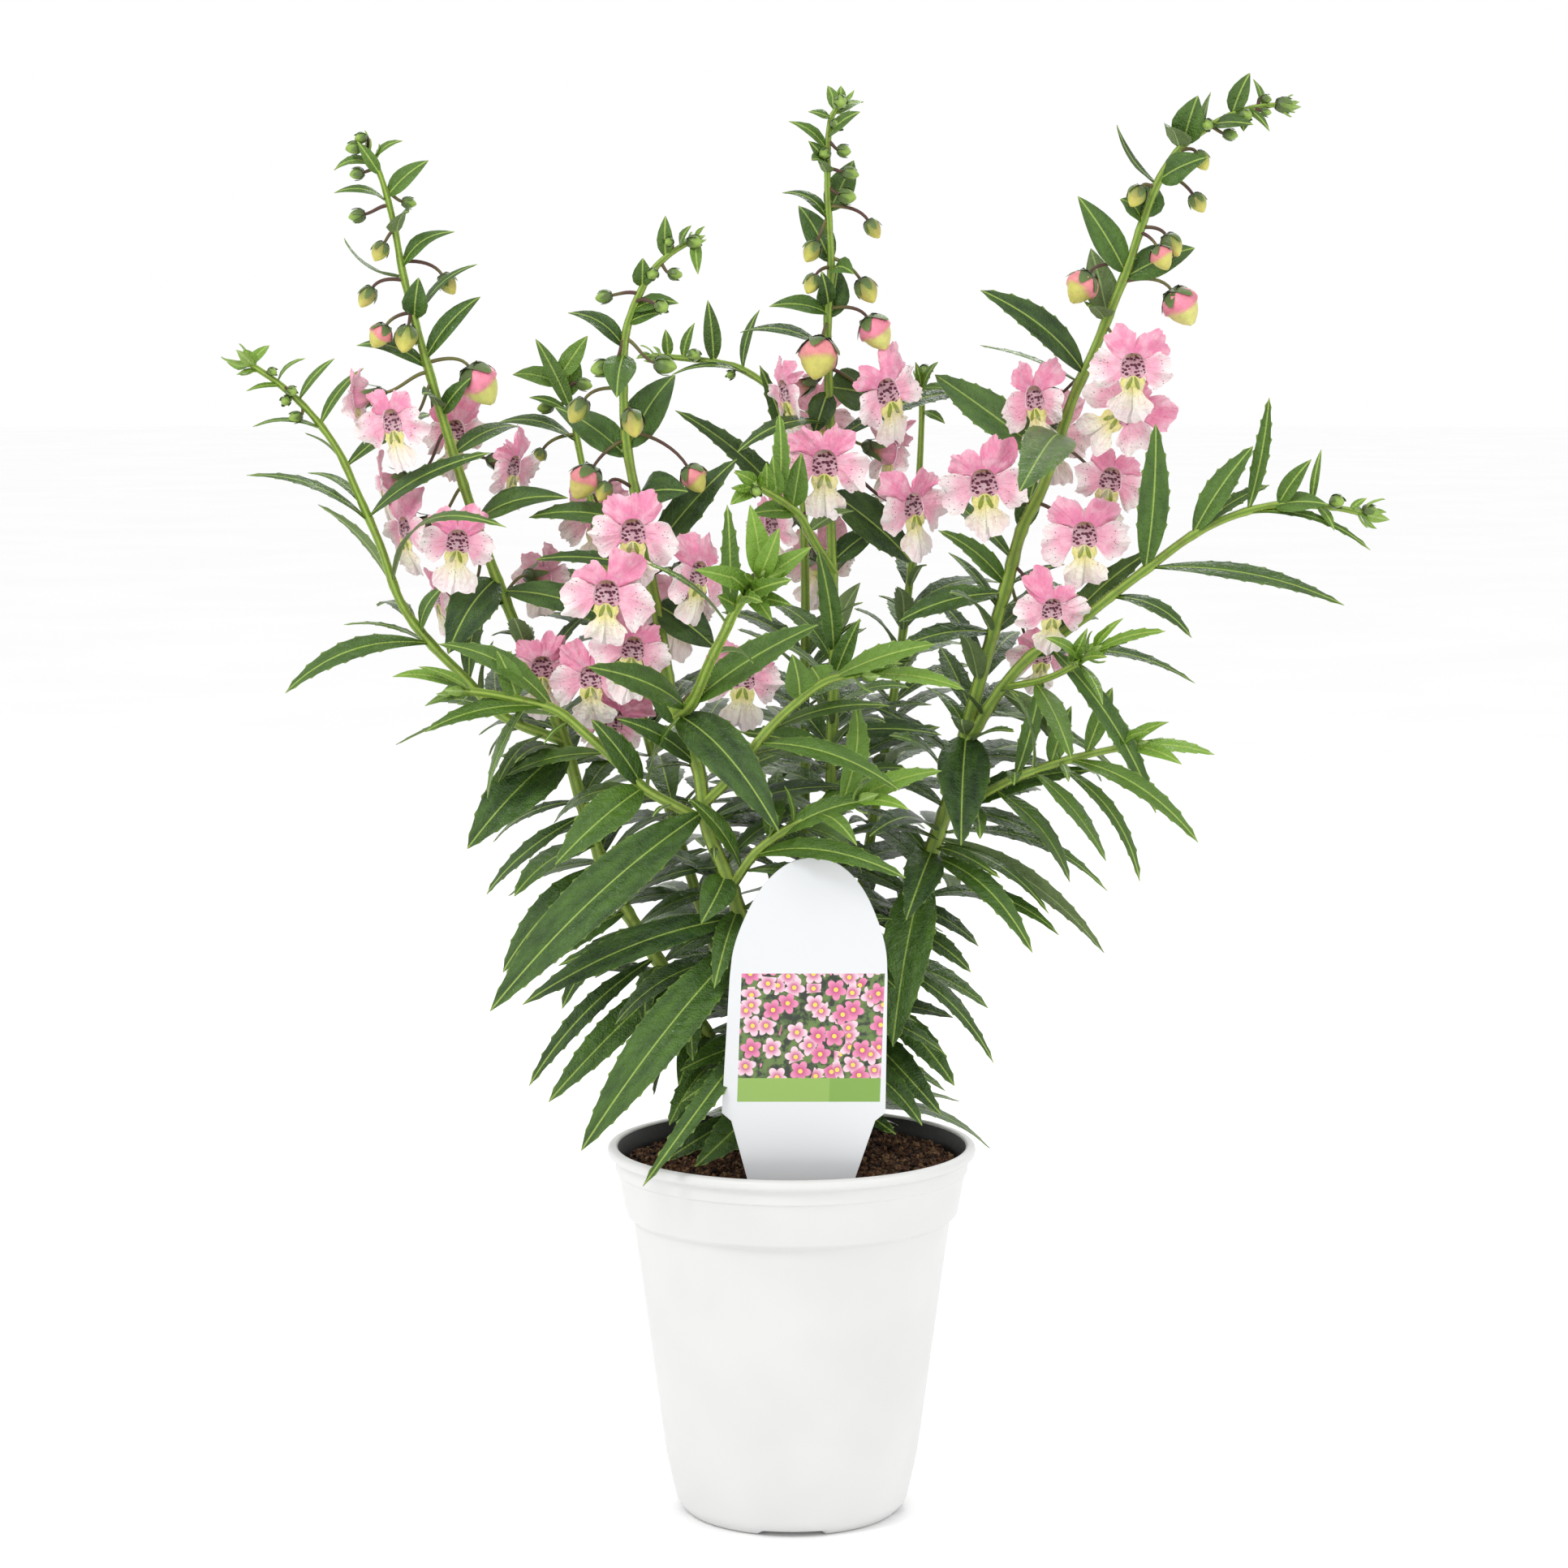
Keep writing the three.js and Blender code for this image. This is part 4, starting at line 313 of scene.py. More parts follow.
        (46, 206, 97, 189, -10, 5.5, 0.15, 20), (46, 205, 96, 170, -14, 8, 0.12, -50),
        (45, 205, 79, 182, 6, 4.5, 0.12, 10), (43, 200, 74, 170, -20, 7, 0.2, 50),
        (45, 203, 64, 193, -22, 4, 0.1, 40), (56, 236, 52, 203, -26, 15, 0.12, 75),
        (40, 196, 31, 141, -30, 14, 0.12, 75), (46, 204, 35, 180, -26, 11, 0.12, 70),
        (35, 178, 55, 164, -12, 6.5, 0.12, 40), (32, 166, 62, 136, -10, 5, 0.12, 25),
        (26, 154, 50, 129, -18, 8, 0.12, 50), (22, 146, 46, 120, -24, 10, 0.12, 60),
        (15, 121, 32, 106, -22, 7, 0.15, 50),
    ], "buds": [
        (151, 431, 152, 431, 0, 5, 0), (119, 417, 126, 414, -3, 5, 1), (113, 408, 125, 401, -2, 5, 1),
        (112, 409, 106, 403, -4, 5.5, 1), (108, 394, 117, 388, -2, 6, 1), (107, 392, 114, 384, -7, 7, 2),
        (102, 380, 89, 375, -4, 9.5, 2), (103, 379, 120, 369, -3, 11, 3),
    ], "blooms": [
        (87, 349, 75, 341, -2, -45, -5, -5, 27), (96, 364, 105, 351, -18, 5, -5, 0, 27),
        (90, 348, 103, 337, -7, -15, 0, 55, 27), (74, 308, 59, 315, -14, -3, -10, -5, 30),
        (82, 326, 98, 316, 0, 15, -5, 12, 26), (74, 309, 90, 299, -13, 5, -5, 0, 28),
        (68, 291, 80, 276, -16, 15, -12, 0, 24), (66, 284, 77, 262, 4, 20, -15, 0, 22),
        (85, 336, 80, 330, 20, 190, -8, 0, 26),
    ], "small_leaves": [
        (143, 431, 142, 439, 3, 2.5, 0.1, 0), (128, 425, 142, 425, -4, 5, 0.1, 50),
        (143, 430, 147, 423, -2, 2.5, 0.1, 30), (137, 428, 139, 423, -6, 4, 0.1, 50),
    ], "small_buds": [
        (126, 424, 128, 425, -4, 3.5, 0), (128, 425, 135, 422, -2, 3.5, 0), (143, 431, 146, 433, 0, 2.5, 0),
        (143, 430, 146, 429, -2, 2.5, 0), (138, 429, 140, 428, -4, 3.5, 0),
    ], "rule": (112, 262, 42, 80, 50, 8.8)},
    {"stem": "stem_right", "radius": (0.8, 2), "path": [
        (177, 305, -6), (168, 307, -7), (150, 308, -8), (137, 305, -8), (124, 299, -8), (109, 288, -8),
        (101, 282, -7), (91, 274, -6), (80, 266, -4), (73, 261, -2), (65, 252, 0), (55, 236, 2),
        (51, 226, 3.5),
    ], "leaves": [
        (109, 288, 112, 333, -2, 8.5, 0.05, 75), (111, 288, 170, 277, -6, 7, 0.1, 30),
        (123, 300, 142, 326, -2, 7.5, 0.08, 60), (140, 308, 147, 341, 2, 4.5, -0.08, 30),
        (123, 299, 147, 314, 4, 5, 0.1, 30), (140, 304, 178, 294, -4, 4, 0.12, 20),
        (150, 308, 160, 322, -2, 5.5, 0.08, 55), (150, 306, 165, 308, -6, 7, 0.1, 55),
        (98, 280, 123, 267, -6, 5.5, 0.15, 30), (82, 267, 111, 294, -6, 7.5, 0.06, 45),
        (73, 261, 124, 253, -4, 5, 0.12, 25), (79, 264, 112, 213, -14, 6.5, 0.15, 40),
        (64, 251, 82, 230, -14, 7.5, 0.15, -50), (60, 245, 102, 224, -2, 5, 0.1, 20),
        (174, 306, 179, 303, 0, 2.5, 0.1, 30),
    ], "buds": [
        (166, 307, 168, 309, -3, 4, 0), (176, 305, 178, 306, 0, 4, 0),
    ], "small_leaves": [
        (160, 307, 163, 325, 2, 2.5, 0.05, 20), (162, 306, 167, 300, -2, 3, 0.1, 40),
        (172, 306, 177, 310, 0, 2.5, 0.1, 40),
    ], "rule": (240, 300, 34, 70, 42, 6)},
    {"stem": "stem_right", "radius": (0.9, 1.2), "path": [
        (93, 263, -17), (86, 258, -14), (77, 254, -8), (67, 252, -1),
    ], "leaves": [
        (91, 262, 115, 269, 0, 4, 0.1, 30),
    ], "small_leaves": [
        (92, 264, 102, 273, 0, 3, 0.1, 30), (92, 264, 115, 269, 0, 4, 0.1, 30),
        (88, 265, 78, 267, -8, 5, 0.1, 40), (92, 264, 97, 261, -4, 4, 0.1, 50),
        (91, 264, 88, 259, -6, 4, 0.1, 60), (92, 265, 91, 270, -6, 4, 0.1, 60),
    ]},
    {"stem": "stem_right", "radius": (1, 1.6), "path": [
        (105, 234, -15), (91, 231, -14), (80, 228, -12), (69, 224, -9), (63, 221, -6), (47, 212, 4),
    ], "leaves": [
        (105, 234, 130, 231, -2, 5, 0.1, 35), (104, 233, 120, 228, -6, 5, 0.1, 45),
        (69, 224, 77, 255, 4, 5, 0.05, 50), (80, 228, 86, 246, 2, 6, 0.08, 50),
        (86, 229, 125, 204, -8, 6.5, 0.15, 35), (80, 228, 107, 192, -6, 5, 0.15, 20),
    ], "small_leaves": [
        (104, 234, 116, 241, -2, 4.5, 0.1, 40), (104, 234, 110, 238, -4, 4, 0.1, 50),
    ]},
    {"stem": "stem_back_left", "radius": (0.8, 2.2), "path": [
        (-72, 347, 35), (-68, 338, 35), (-66, 327, 34), (-63, 313, 32), (-55, 280, 28), (-44, 235, 25),
        (-30, 190, 22), (-14, 140, 19), (-8, 98, 18),
    ], "leaves": [
        (-71, 345, -86, 348, 0, 6, 0.12, 45), (-69, 341, -68, 357, 0, 7, 0.1, 60),
        (-70, 346, -63, 360, 0, 5.5, 0.1, 60), (-66, 327, -91, 333, 0, 5, 0.15, 20),
    ], "buds": [
        (-69, 343, -64, 345, -2, 4, 0), (-69, 341, -76, 338, -2, 4, 0), (-66, 328, -78, 323, -3, 4, 1),
    ], "blooms": [
        (-63, 314, -60, 304, 18, 190, -8, 0, 26),
    ], "small_leaves": [
        (-72, 347, -79, 359, 0, 4.5, 0.1, 50), (-71, 343, -81, 341, 0, 3.5, 0.1, 30),
    ], "rule": (120, 290, 30, 100, 46, 8)},
    {"stem": "stem_back_centre", "radius": (0.8, 2.2), "path": [
        (-43, 354, 45), (-32, 353, 44), (-24, 352, 42), (-16, 350, 40), (-4, 341, 36), (2, 325, 32),
        (4, 290, 27), (4, 240, 23), (4, 190, 21), (4, 140, 20), (3, 98, 20),
    ], "leaves": [
        (-24, 352, -26, 371, 0, 4.5, 0.08, 50), (3, 300, -36, 337, -6, 8, 0.08, 45),
        (3, 310, -10, 351, -4, 6, 0.05, 50), (-43, 354, -48, 353, -2, 3, 0.1, 30),
    ], "buds": [
        (-31, 353, -30, 354, -3, 4, 0),
    ], "blooms": [
        (3, 300, 8, 292, 18, 175, -8, 0, 26),
    ], "small_leaves": [
        (-38, 354, -39, 362, 0, 3, 0.1, 30), (-32, 354, -30, 364, 0, 3, 0.1, 30),
        (-16, 350, -10, 368, 0, 3.5, 0.08, 10), (-16, 349, -37, 348, -4, 3, 0.12, 10),
    ], "small_buds": [
        (-18, 350, -19, 348, -3, 2.5, 0),
    ], "rule": (110, 280, 30, 60, 46, 8)},
    {"stem": "stem_back_right", "radius": (0.8, 2.2), "path": [
        (40, 346, 40), (40, 335, 38), (38, 300, 34), (33, 260, 30), (25, 210, 26), (15, 150, 21),
        (11, 98, 19),
    ], "buds": [
        (40, 346, 41, 349, -3, 4, 0),
    ], "small_leaves": [
        (40, 346, 49, 343, -2, 3.5, 0.1, 30), (40, 346, 38, 352, -2, 3, 0.1, 50),
        (40, 346, 45, 352, -2, 3.5, 0.1, 40), (40, 337, 47, 333, -2, 3, 0.1, 30),
    ], "rule": (120, 325, 30, 20, 46, 8)},
]

# Bending steps by which the solids' leaves got clear of each other: the tip's depth and height.
BENDS = (
    (0, 0), (-5, 0), (5, 0), (-10, 0), (10, 0), (0, 5), (0, -5), (-7, 5), (7, 5), (-7, -5), (7, -5),
    (-16, 0), (16, 0), (-12, 8), (12, 8), (-12, -8), (12, -8), (-22, 0), (22, 0), (-18, 10),
    (18, 10), (-18, -10), (18, -10), (-28, 0), (28, 0), (-24, 14), (24, 14),
)

# Where the solids' blades have their cross-sections, by width
SOLID_STATIONS = ((4.1, (0.42,)), (9.8, (0.33, 0.68)), (99, (0.3, 0.58)))

# The lobes of a flower. edge: across and up from the throat's middle, in millimetres.
# base: where the lobe stands on the throat's rim, in degrees from straight up.
# curl, cup: the least and most that its edge and its sides bend forward, in millimetres.
# grown: the least and most of its size. ruffle: how deep its waves are beside the upper lobes'.
# shade: how strongly painted shade darkens its folds.
# specks: how large its maroon specks are, beside 1 in the throat.
LOBES = {
    "upper": {
        "edge": (
            (-0.2, 4.9), (0.2, 8.0), (1.8, 11.0), (4.4, 12.4), (7.6, 12.2), (10.4, 10.2),
            (11.8, 7.4), (10.6, 4.8), (7.8, 3.2), (4.9, 2.2),
        ),
        "base": (-3, 62), "curl": (-4.2, 2.4), "cup": (-6.0, 1.5), "grown": (0.7, 1.0),
        "ruffle": 1.0, "shade": 0.8, "specks": 0.0,
    },
    "side": {
        "edge": (
            (4.7, 1.4), (7.2, 3.4), (10.6, 3.9), (13.6, 1.4), (14.3, -2.6), (13.2, -6.4),
            (10.6, -9.2), (7.6, -9.0), (5.4, -6.4), (3.7, -3.4),
        ),
        "base": (60, 136), "curl": (-1.6, 1.6), "cup": (-3.5, 1.0), "grown": (0.76, 0.98),
        "ruffle": 1.0, "shade": 0.8, "specks": 0.42,
    },
    "lip": {
        "edge": (
            (3.3, -3.5), (4.0, -5.2), (3.4, -7.6), (3.5, -9.6), (5.5, -9.9), (7.1, -11.5),
            (6.5, -13.9), (5.4, -16.2), (3.0, -17.6), (0.6, -17.0), (-1.9, -17.9), (-4.3, -16.9),
            (-5.9, -15.1), (-6.9, -12.4), (-5.7, -9.9), (-3.6, -9.6), (-3.3, -7.6), (-4.0, -5.2),
            (-3.3, -3.5),
        ),
        "base": (134, 226), "curl": (-1.6, 1.6), "cup": (-2.5, 0.5), "grown": (0.84, 1.04),
        "ruffle": 0.6, "shade": 0.2, "specks": 0.34,
    },
}

# How far small leaves stay from the solids, and leaves between the shoots from solids and leaves
SMALL_CLEARANCE = 1.2
SOLID_CLEARANCE = 0.8
LEAF_CLEARANCE = 1.6


def linear(code):
    """An sRGB hex colour as linear values."""
    channels = [int(code[i:i + 2], 16) / 255 for i in (1, 3, 5)]
    return tuple(c / 12.92 if c <= 0.04045 else ((c + 0.055) / 1.055) ** 2.4 for c in channels)


def blend_colours(first, second, share):
    share = min(1.0, max(0.0, share))
    return tuple(a + (b - a) * share for a, b in zip(first, second))


def ease(low, high, value):
    """A soft step from 0 at the first bound to 1 at the second."""
    share = min(1.0, max(0.0, (value - low) / (high - low)))
    return share * share * (3 - 2 * share)


def place(across, up, depth):
    """A point of the plan in millimetres from the pot's foot."""
    rise = up - EYE_ON_BOARD[1]
    ahead = EYE_TO_BOARD * math.cos(EYE_TILT) + rise * math.sin(EYE_TILT)
    lift = rise * math.cos(EYE_TILT) - EYE_TO_BOARD * math.sin(EYE_TILT)
    reach = (depth - EYE.y) / ahead
    return Vector((EYE.x + (across - EYE_ON_BOARD[0]) * reach, depth, EYE.z + lift * reach))


def on_board(point):
    """Where a point is seen on the plan."""
    away = point - EYE
    along = away.y * math.cos(EYE_TILT) - away.z * math.sin(EYE_TILT)
    rise = away.y * math.sin(EYE_TILT) + away.z * math.cos(EYE_TILT)
    scale = EYE_TO_BOARD / along
    return away.x * scale + EYE_ON_BOARD[0], rise * scale + EYE_ON_BOARD[1]


def to_frame(point):
    """Millimetres from the pot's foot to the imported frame's metres."""
    return Vector(point) * MM + POT_AXIS


def seeded(seed):
    """Numbers from 0 to 1, the same ones that the solids' spare leaves are laid out with."""
    state = seed
    while True:
        state = (state * 16807) % 2147483647
        yield state / 2147483647


def turns(count):
    """The angles of even steps round a circle."""
    return [i / count * 2 * math.pi for i in range(count)]


def square_to(along):
    """Two directions that are square to a line and to each other."""
    first = along.orthogonal().normalized()
    return first, along.cross(first)


def around(radius, turn):
    """Across and back from an axis at a radius and a turn."""
    return radius * math.cos(turn), radius * math.sin(turn)


def swing(first, second, turn):
    """The direction at a turn from the first of two square directions towards the second."""
    return first * math.cos(turn) + second * math.sin(turn)


class Path:
    """A smooth line through given points, of even pace."""

    def __init__(self, points):
        self.points = points
        marks = [self.at(i / PATH_STEPS) for i in range(PATH_STEPS + 1)]
        steps = [(b - a).length for a, b in zip(marks, marks[1:])]
        self.lengths = np.concatenate([[0.0], np.cumsum(steps)])
        self.length = float(self.lengths[-1])

    def at(self, share):
        """The point at a share of the way; every stretch between two given points counts alike."""
        last = len(self.points) - 1
        step = min(int(last * share), last - 1)
        weight = last * share - step
        near = [self.points[step], self.points[step + 1]]
        before = self.points[step - 1] if step > 0 else near[0] * 2 - self.points[1]
        after = self.points[step + 2] if step + 2 <= last else near[1] * 2 - self.points[last - 1]
        spans = [(b - a).length_squared ** 0.25 for a, b in zip([before, *near], [*near, after])]
        first, middle, end = spans
        leave = (near[0] - before) / first - (near[1] - before) / (first + middle)
        leave = (leave + (near[1] - near[0]) / middle) * middle
        arrive = (near[1] - near[0]) / middle - (after - near[0]) / (middle + end)
        arrive = (arrive + (after - near[1]) / end) * middle
        square = -3 * near[0] + 3 * near[1] - 2 * leave - arrive
        cube = 2 * near[0] - 2 * near[1] + leave + arrive
        return near[0] + leave * weight + square * weight ** 2 + cube * weight ** 3

    def spaced(self, count):
        """Points at even distances along the line."""
        marks = np.linspace(0, self.length, count + 1)
        shares = np.interp(marks, self.lengths, np.linspace(0, 1, PATH_STEPS + 1))
        return [self.at(float(share)) for share in shares]


class Shoot:
    """A shoot's centre line and the joints on it that are taken."""

    def __init__(self, plan, main):
        self.main = main
        self.path = Path([place(*p) for p in plan["path"]])
        self.radii = plan["radius"]
        self.fine = self.path.spaced(SHOOT_STEPS)
        self.seen = [on_board(point) for point in self.fine]
        self.pace = self.path.length / SHOOT_STEPS
        self.taken = []

    def radius_at(self, share):
        return self.radii[0] + (self.radii[1] - self.radii[0]) * share ** 0.7

    def joint(self, across, up):
        """The point of the line that is seen nearest to a place on the plan and isn't taken."""
        def miss(k):
            taken = any(abs(used - k) * self.pace < JOINT_PITCH for used in self.taken)
            return math.hypot(self.seen[k][0] - across, self.seen[k][1] - up) + (100 if taken else 0)

        nearest = min(range(SHOOT_STEPS + 1), key=miss)
        self.taken.append(nearest)
        before = self.fine[max(nearest - 1, 0)]
        after = self.fine[min(nearest + 1, SHOOT_STEPS)]
        return {
            "point": self.fine[nearest],
            "radius": self.radius_at(nearest / SHOOT_STEPS),
            "along": (after - before).normalized(),
            "from_tip": nearest * self.pace,
        }


class Blade:
    """A leaf's centre line and the way its faces turn."""

    def __init__(self, foot, tip, face, width, arch):
        self.foot = foot
        self.length = (tip - foot).length
        self.along = (tip - foot).normalized()
        self.face = (face - self.along * face.dot(self.along)).normalized()
        self.side = self.face.cross(self.along)
        self.width = width
        self.arch = arch

    def at(self, share, across=0.0):
        """A point at a share of the length, and across it from -1 to 1 at the margins."""
        rise = self.arch * self.length * 4 * share * (1 - share)
        level = self.foot + self.along * self.length * share
        return level + self.face * rise + self.side * across * self.width / 2


def bent_blade(leaf, bend):
    """The blade of a leaf of the plan, with its tip moved by a bending step."""
    tip = place(leaf["tip"][0], leaf["tip"][1] + bend[1], leaf["tip"][2] + bend[0])
    joint = leaf["joint"]
    outward = tip - joint["point"]
    outward = (outward - joint["along"] * outward.dot(joint["along"])).normalized()
    foot = joint["point"] + outward * LEAF_SINK * joint["radius"]
    along = (tip - foot).normalized()
    turn = math.radians(leaf["face"])
    face = Vector((0, -math.sin(turn), math.cos(turn)))
    if (face - along * face.dot(along)).length < 0.15:
        face = Vector((0, -math.cos(turn), math.sin(turn)))
        face = face + along * along.y * math.cos(turn)
    return Blade(foot, tip, face, leaf["width"], leaf["arch"])


def spare_leaves(shoot, rule, seed):
    """Spare leaves on the far side of a shoot, each 75 degrees on from the last."""
    low, high, spacing, turn, length, width = rule
    chance = seeded(seed)
    leaves = []
    up = low
    while up <= high:
        nearest = min(range(SHOOT_STEPS + 1), key=lambda k: (abs(shoot.seen[k][1] - up), k))
        joint = shoot.joint(*shoot.seen[nearest])
        share = (up - low) / (high - low)
        heading = math.radians(turn + 24 * (next(chance) - 0.5))
        reach = length * (1 - 0.35 * share) * (0.85 + 0.3 * next(chance))
        lift = reach * (0.1 + 0.45 * share - 0.2 * next(chance))
        step = Vector((reach * math.cos(heading), reach * abs(math.sin(heading)), lift))
        tip = joint["point"] + step
        leaves.append({
            "joint": joint, "tip": (*on_board(tip), tip.y), "width": width * (1 - 0.3 * share),
            "arch": 0.14, "face": 0, "shoot": shoot,
        })
        turn += 75
        up += spacing
    return leaves


def anchored(shoot, row):
    """A row's joint on its shoot, and its far end across, up and in depth."""
    joint = shoot.joint(*row[:2])
    return joint, (*row[2:4], joint["point"].y + row[4])


def leaf_from_row(shoot, row):
    joint, tip = anchored(shoot, row)
    return {"joint": joint, "tip": tip, "width": row[5], "arch": row[6], "face": row[7], "shoot": shoot}


def bud_from_row(shoot, row):
    joint, spot = anchored(shoot, row)
    return {"joint": joint, "centre": place(*spot), "size": row[5], "stage": row[6]}


def bloom_from_row(shoot, row):
    joint, spot = anchored(shoot, row)
    facing = bloom_facing(*row[5:8])
    return {"joint": joint, "centre": place(*spot), "facing": facing, "width": row[8]}


def bloom_facing(turn, nod, roll):
    """Forward, up and right of a flower, as the viewer sees it."""
    a, b, c = (math.radians(angle) for angle in (turn, nod, roll))
    forward = Vector((math.sin(a) * math.cos(b), -math.cos(a) * math.cos(b), math.sin(b)))
    level = (Vector((0, 0, 1)) - forward * forward.z).normalized()
    up = swing(level, -forward.cross(level), c)
    return {"forward": forward, "up": up, "right": -forward.cross(up)}


def stalk_line(start, end, along, count):
    """The arched line of a flower stalk that reaches its end along the given direction."""
    reach = (end - start).length
    first = start.lerp(end, 0.35) + Vector((0, 0, 0.15 * reach))
    second = end - along * 0.35 * reach
    line = []
    for k in range(count + 1):
        t = k / count
        line.append(start * (1 - t) ** 3 + first * 3 * t * (1 - t) ** 2
                    + second * 3 * t * t * (1 - t) + end * t ** 3)
    return line


def grow_plan():
    """Every stem with its shoots, leaves, buds and flowers in place; its main shoot comes first."""
    stems = []
    for plan in PLAN:
        if not stems or stems[-1]["node"] != plan["stem"]:
            stems.append({"node": plan["stem"], "name": plan["stem"].replace("stem_", ""),
                          "shoots": [], "leaves": [], "small": [], "buds": [], "blooms": []})
        stem = stems[-1]
        shoot = Shoot(plan, main=not stem["shoots"])
        leaves = [leaf_from_row(shoot, row) for row in plan.get("leaves", ())]
        if "rule" in plan:
            seed = 10 * len(stems) - 3 + len(stem["shoots"])
            leaves.extend(spare_leaves(shoot, plan["rule"], seed))
        stem["shoots"].append(shoot)
        stem["leaves"].extend(leaves)
        stem["buds"].extend(bud_from_row(shoot, row) for row in plan.get("buds", ()))
        stem["blooms"].extend(bloom_from_row(shoot, row) for row in plan.get("blooms", ()))
        stem["buds"].extend(bud_from_row(shoot, row) for row in plan.get("small_buds", ()))
        stem["small"].extend(leaf_from_row(shoot, row) for row in plan.get("small_leaves", ()))
    for stem in stems:
        for number, bloom in enumerate(stem["blooms"], 1):
            bloom["node"] = "bloom_%s_%d" % (stem["name"], number)
    return stems


def surface_of(*names):
    """The solids' surface, for the distance from it."""
    points, faces = [], []
    for name in names:
        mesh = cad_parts[name].data
        start = len(points)
        points.extend(v.co.copy() for v in mesh.vertices)
        faces.extend([start + v for v in polygon.vertices] for polygon in mesh.polygons)
    return BVHTree.FromPolygons(points, faces)


def away_from(surface, point):
    return surface.find_nearest(to_frame(point))[3] / MM


def blade_in_solid(leaf, surface):
    """The leaf bent as its solid is: its middle line lies in the solid and its tip ends there."""
    stations = next(shares for width, shares in SOLID_STATIONS if leaf["width"] < width)

    def miss(blade):
        depths = [abs(away_from(surface, blade.at(s)) - BLADE_THICK / 2) for s in stations]
        return away_from(surface, blade.at(1)) + sum(depths)

    return min((bent_blade(leaf, bend) for bend in BENDS), key=miss)


def blade_in_gap(leaf, surface):
    """A small leaf bent to where no solid is in its way: the first bend that will do, or the best."""
    def clearance(blade):
        marks = [blade.at(s, a) for s in (0.4, 0.6, 0.8, 1.0) for a in (-0.7, 0, 0.7)]
        return min(away_from(surface, mark) for mark in marks)

    blades = [bent_blade(leaf, bend) for bend in BENDS]
    return next((b for b in blades if clearance(b) > SMALL_CLEARANCE), max(blades, key=clearance))


# Leaves between the shoots, in millimetres: the least and most between two pairs, and the lengths
# that are tried for a leaf, longest first: for a young one, and how much more for an old one
FILL_SPACING = (6, 9.5)
FILL_LENGTHS = ((28, 22), (26, 16), (20, 12), (12, 0))

# What leaves between the shoots keep clear of, in millimetres: the solid soil, the label, and the
# rim for what lies further out than RIM_START. A flower's circle is a share of its width.
SOIL_CLEARANCE = 6
LABEL_CLEARANCE = 4
RIM_CLEARANCE = 5.5
RIM_START = 42
FLOWER_CIRCLE = 0.56

# How far the foliage reaches on the board at each height: up, left and right
FOLIAGE = (
    (112, -45, 40), (118, -60, 45), (133, -80, 53), (152, -83, 60), (177, -91, 92), (203, -96, 105),
    (229, -99, 108), (255, -105, 108), (280, -100, 92), (296, -80, 85),
)


class Thicket:
    """What the plant already fills, so that leaves between the shoots stay clear of it."""

    def __init__(self):
        self.solids = surface_of(*[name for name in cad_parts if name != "soil"])
        self.marks = np.empty((0, 3))
        self.blooms = [(bloom, on_board(bloom["centre"])) for stem in STEMS for bloom in stem["blooms"]]

    def marks_on(self, blade):
        """Points along a blade's middle and near its margins."""
        return [blade.at(s, a) for s in (0.3, 0.5, 0.7, 0.85, 1.0) for a in (-0.8, 0, 0.8)]

    def add(self, blade):
        self.marks = np.vstack([self.marks, self.marks_on(blade)])

    def in_the_way(self, mark):
        """Whether a mark hides a flower or the label, nears the soil or the rim, or is too far out."""
        across, up = on_board(mark)
        heights = [row[0] for row in FOLIAGE]
        left = np.interp(up, heights, [row[1] for row in FOLIAGE])
        right = np.interp(up, heights, [row[2] for row in FOLIAGE])
        if not left < across < right or not heights[0] < up < heights[-1]:
            return True
        if mark.y < TAG["depth"] + LABEL_CLEARANCE or mark.z < SOIL_HEIGHT + SOIL_CLEARANCE:
            return True
        if mark.z < POT_HEIGHT + RIM_CLEARANCE and mark.xy.length > RIM_START:
            return True
        for bloom, (x, y) in self.blooms:
            near = math.hypot(across - x, up - y + 2) < FLOWER_CIRCLE * bloom["width"]
            if near and mark.y < bloom["centre"].y + 2:
                return True
        return False

    def has_room(self, blade):
        marks = self.marks_on(blade)
        if any(self.in_the_way(mark) for mark in marks):
            return False
        if any(away_from(self.solids, mark) < SOLID_CLEARANCE for mark in marks):
            return False
        gaps = np.linalg.norm(self.marks[:, None] - np.array(marks)[None], axis=2)
        return gaps.min() > LEAF_CLEARANCE


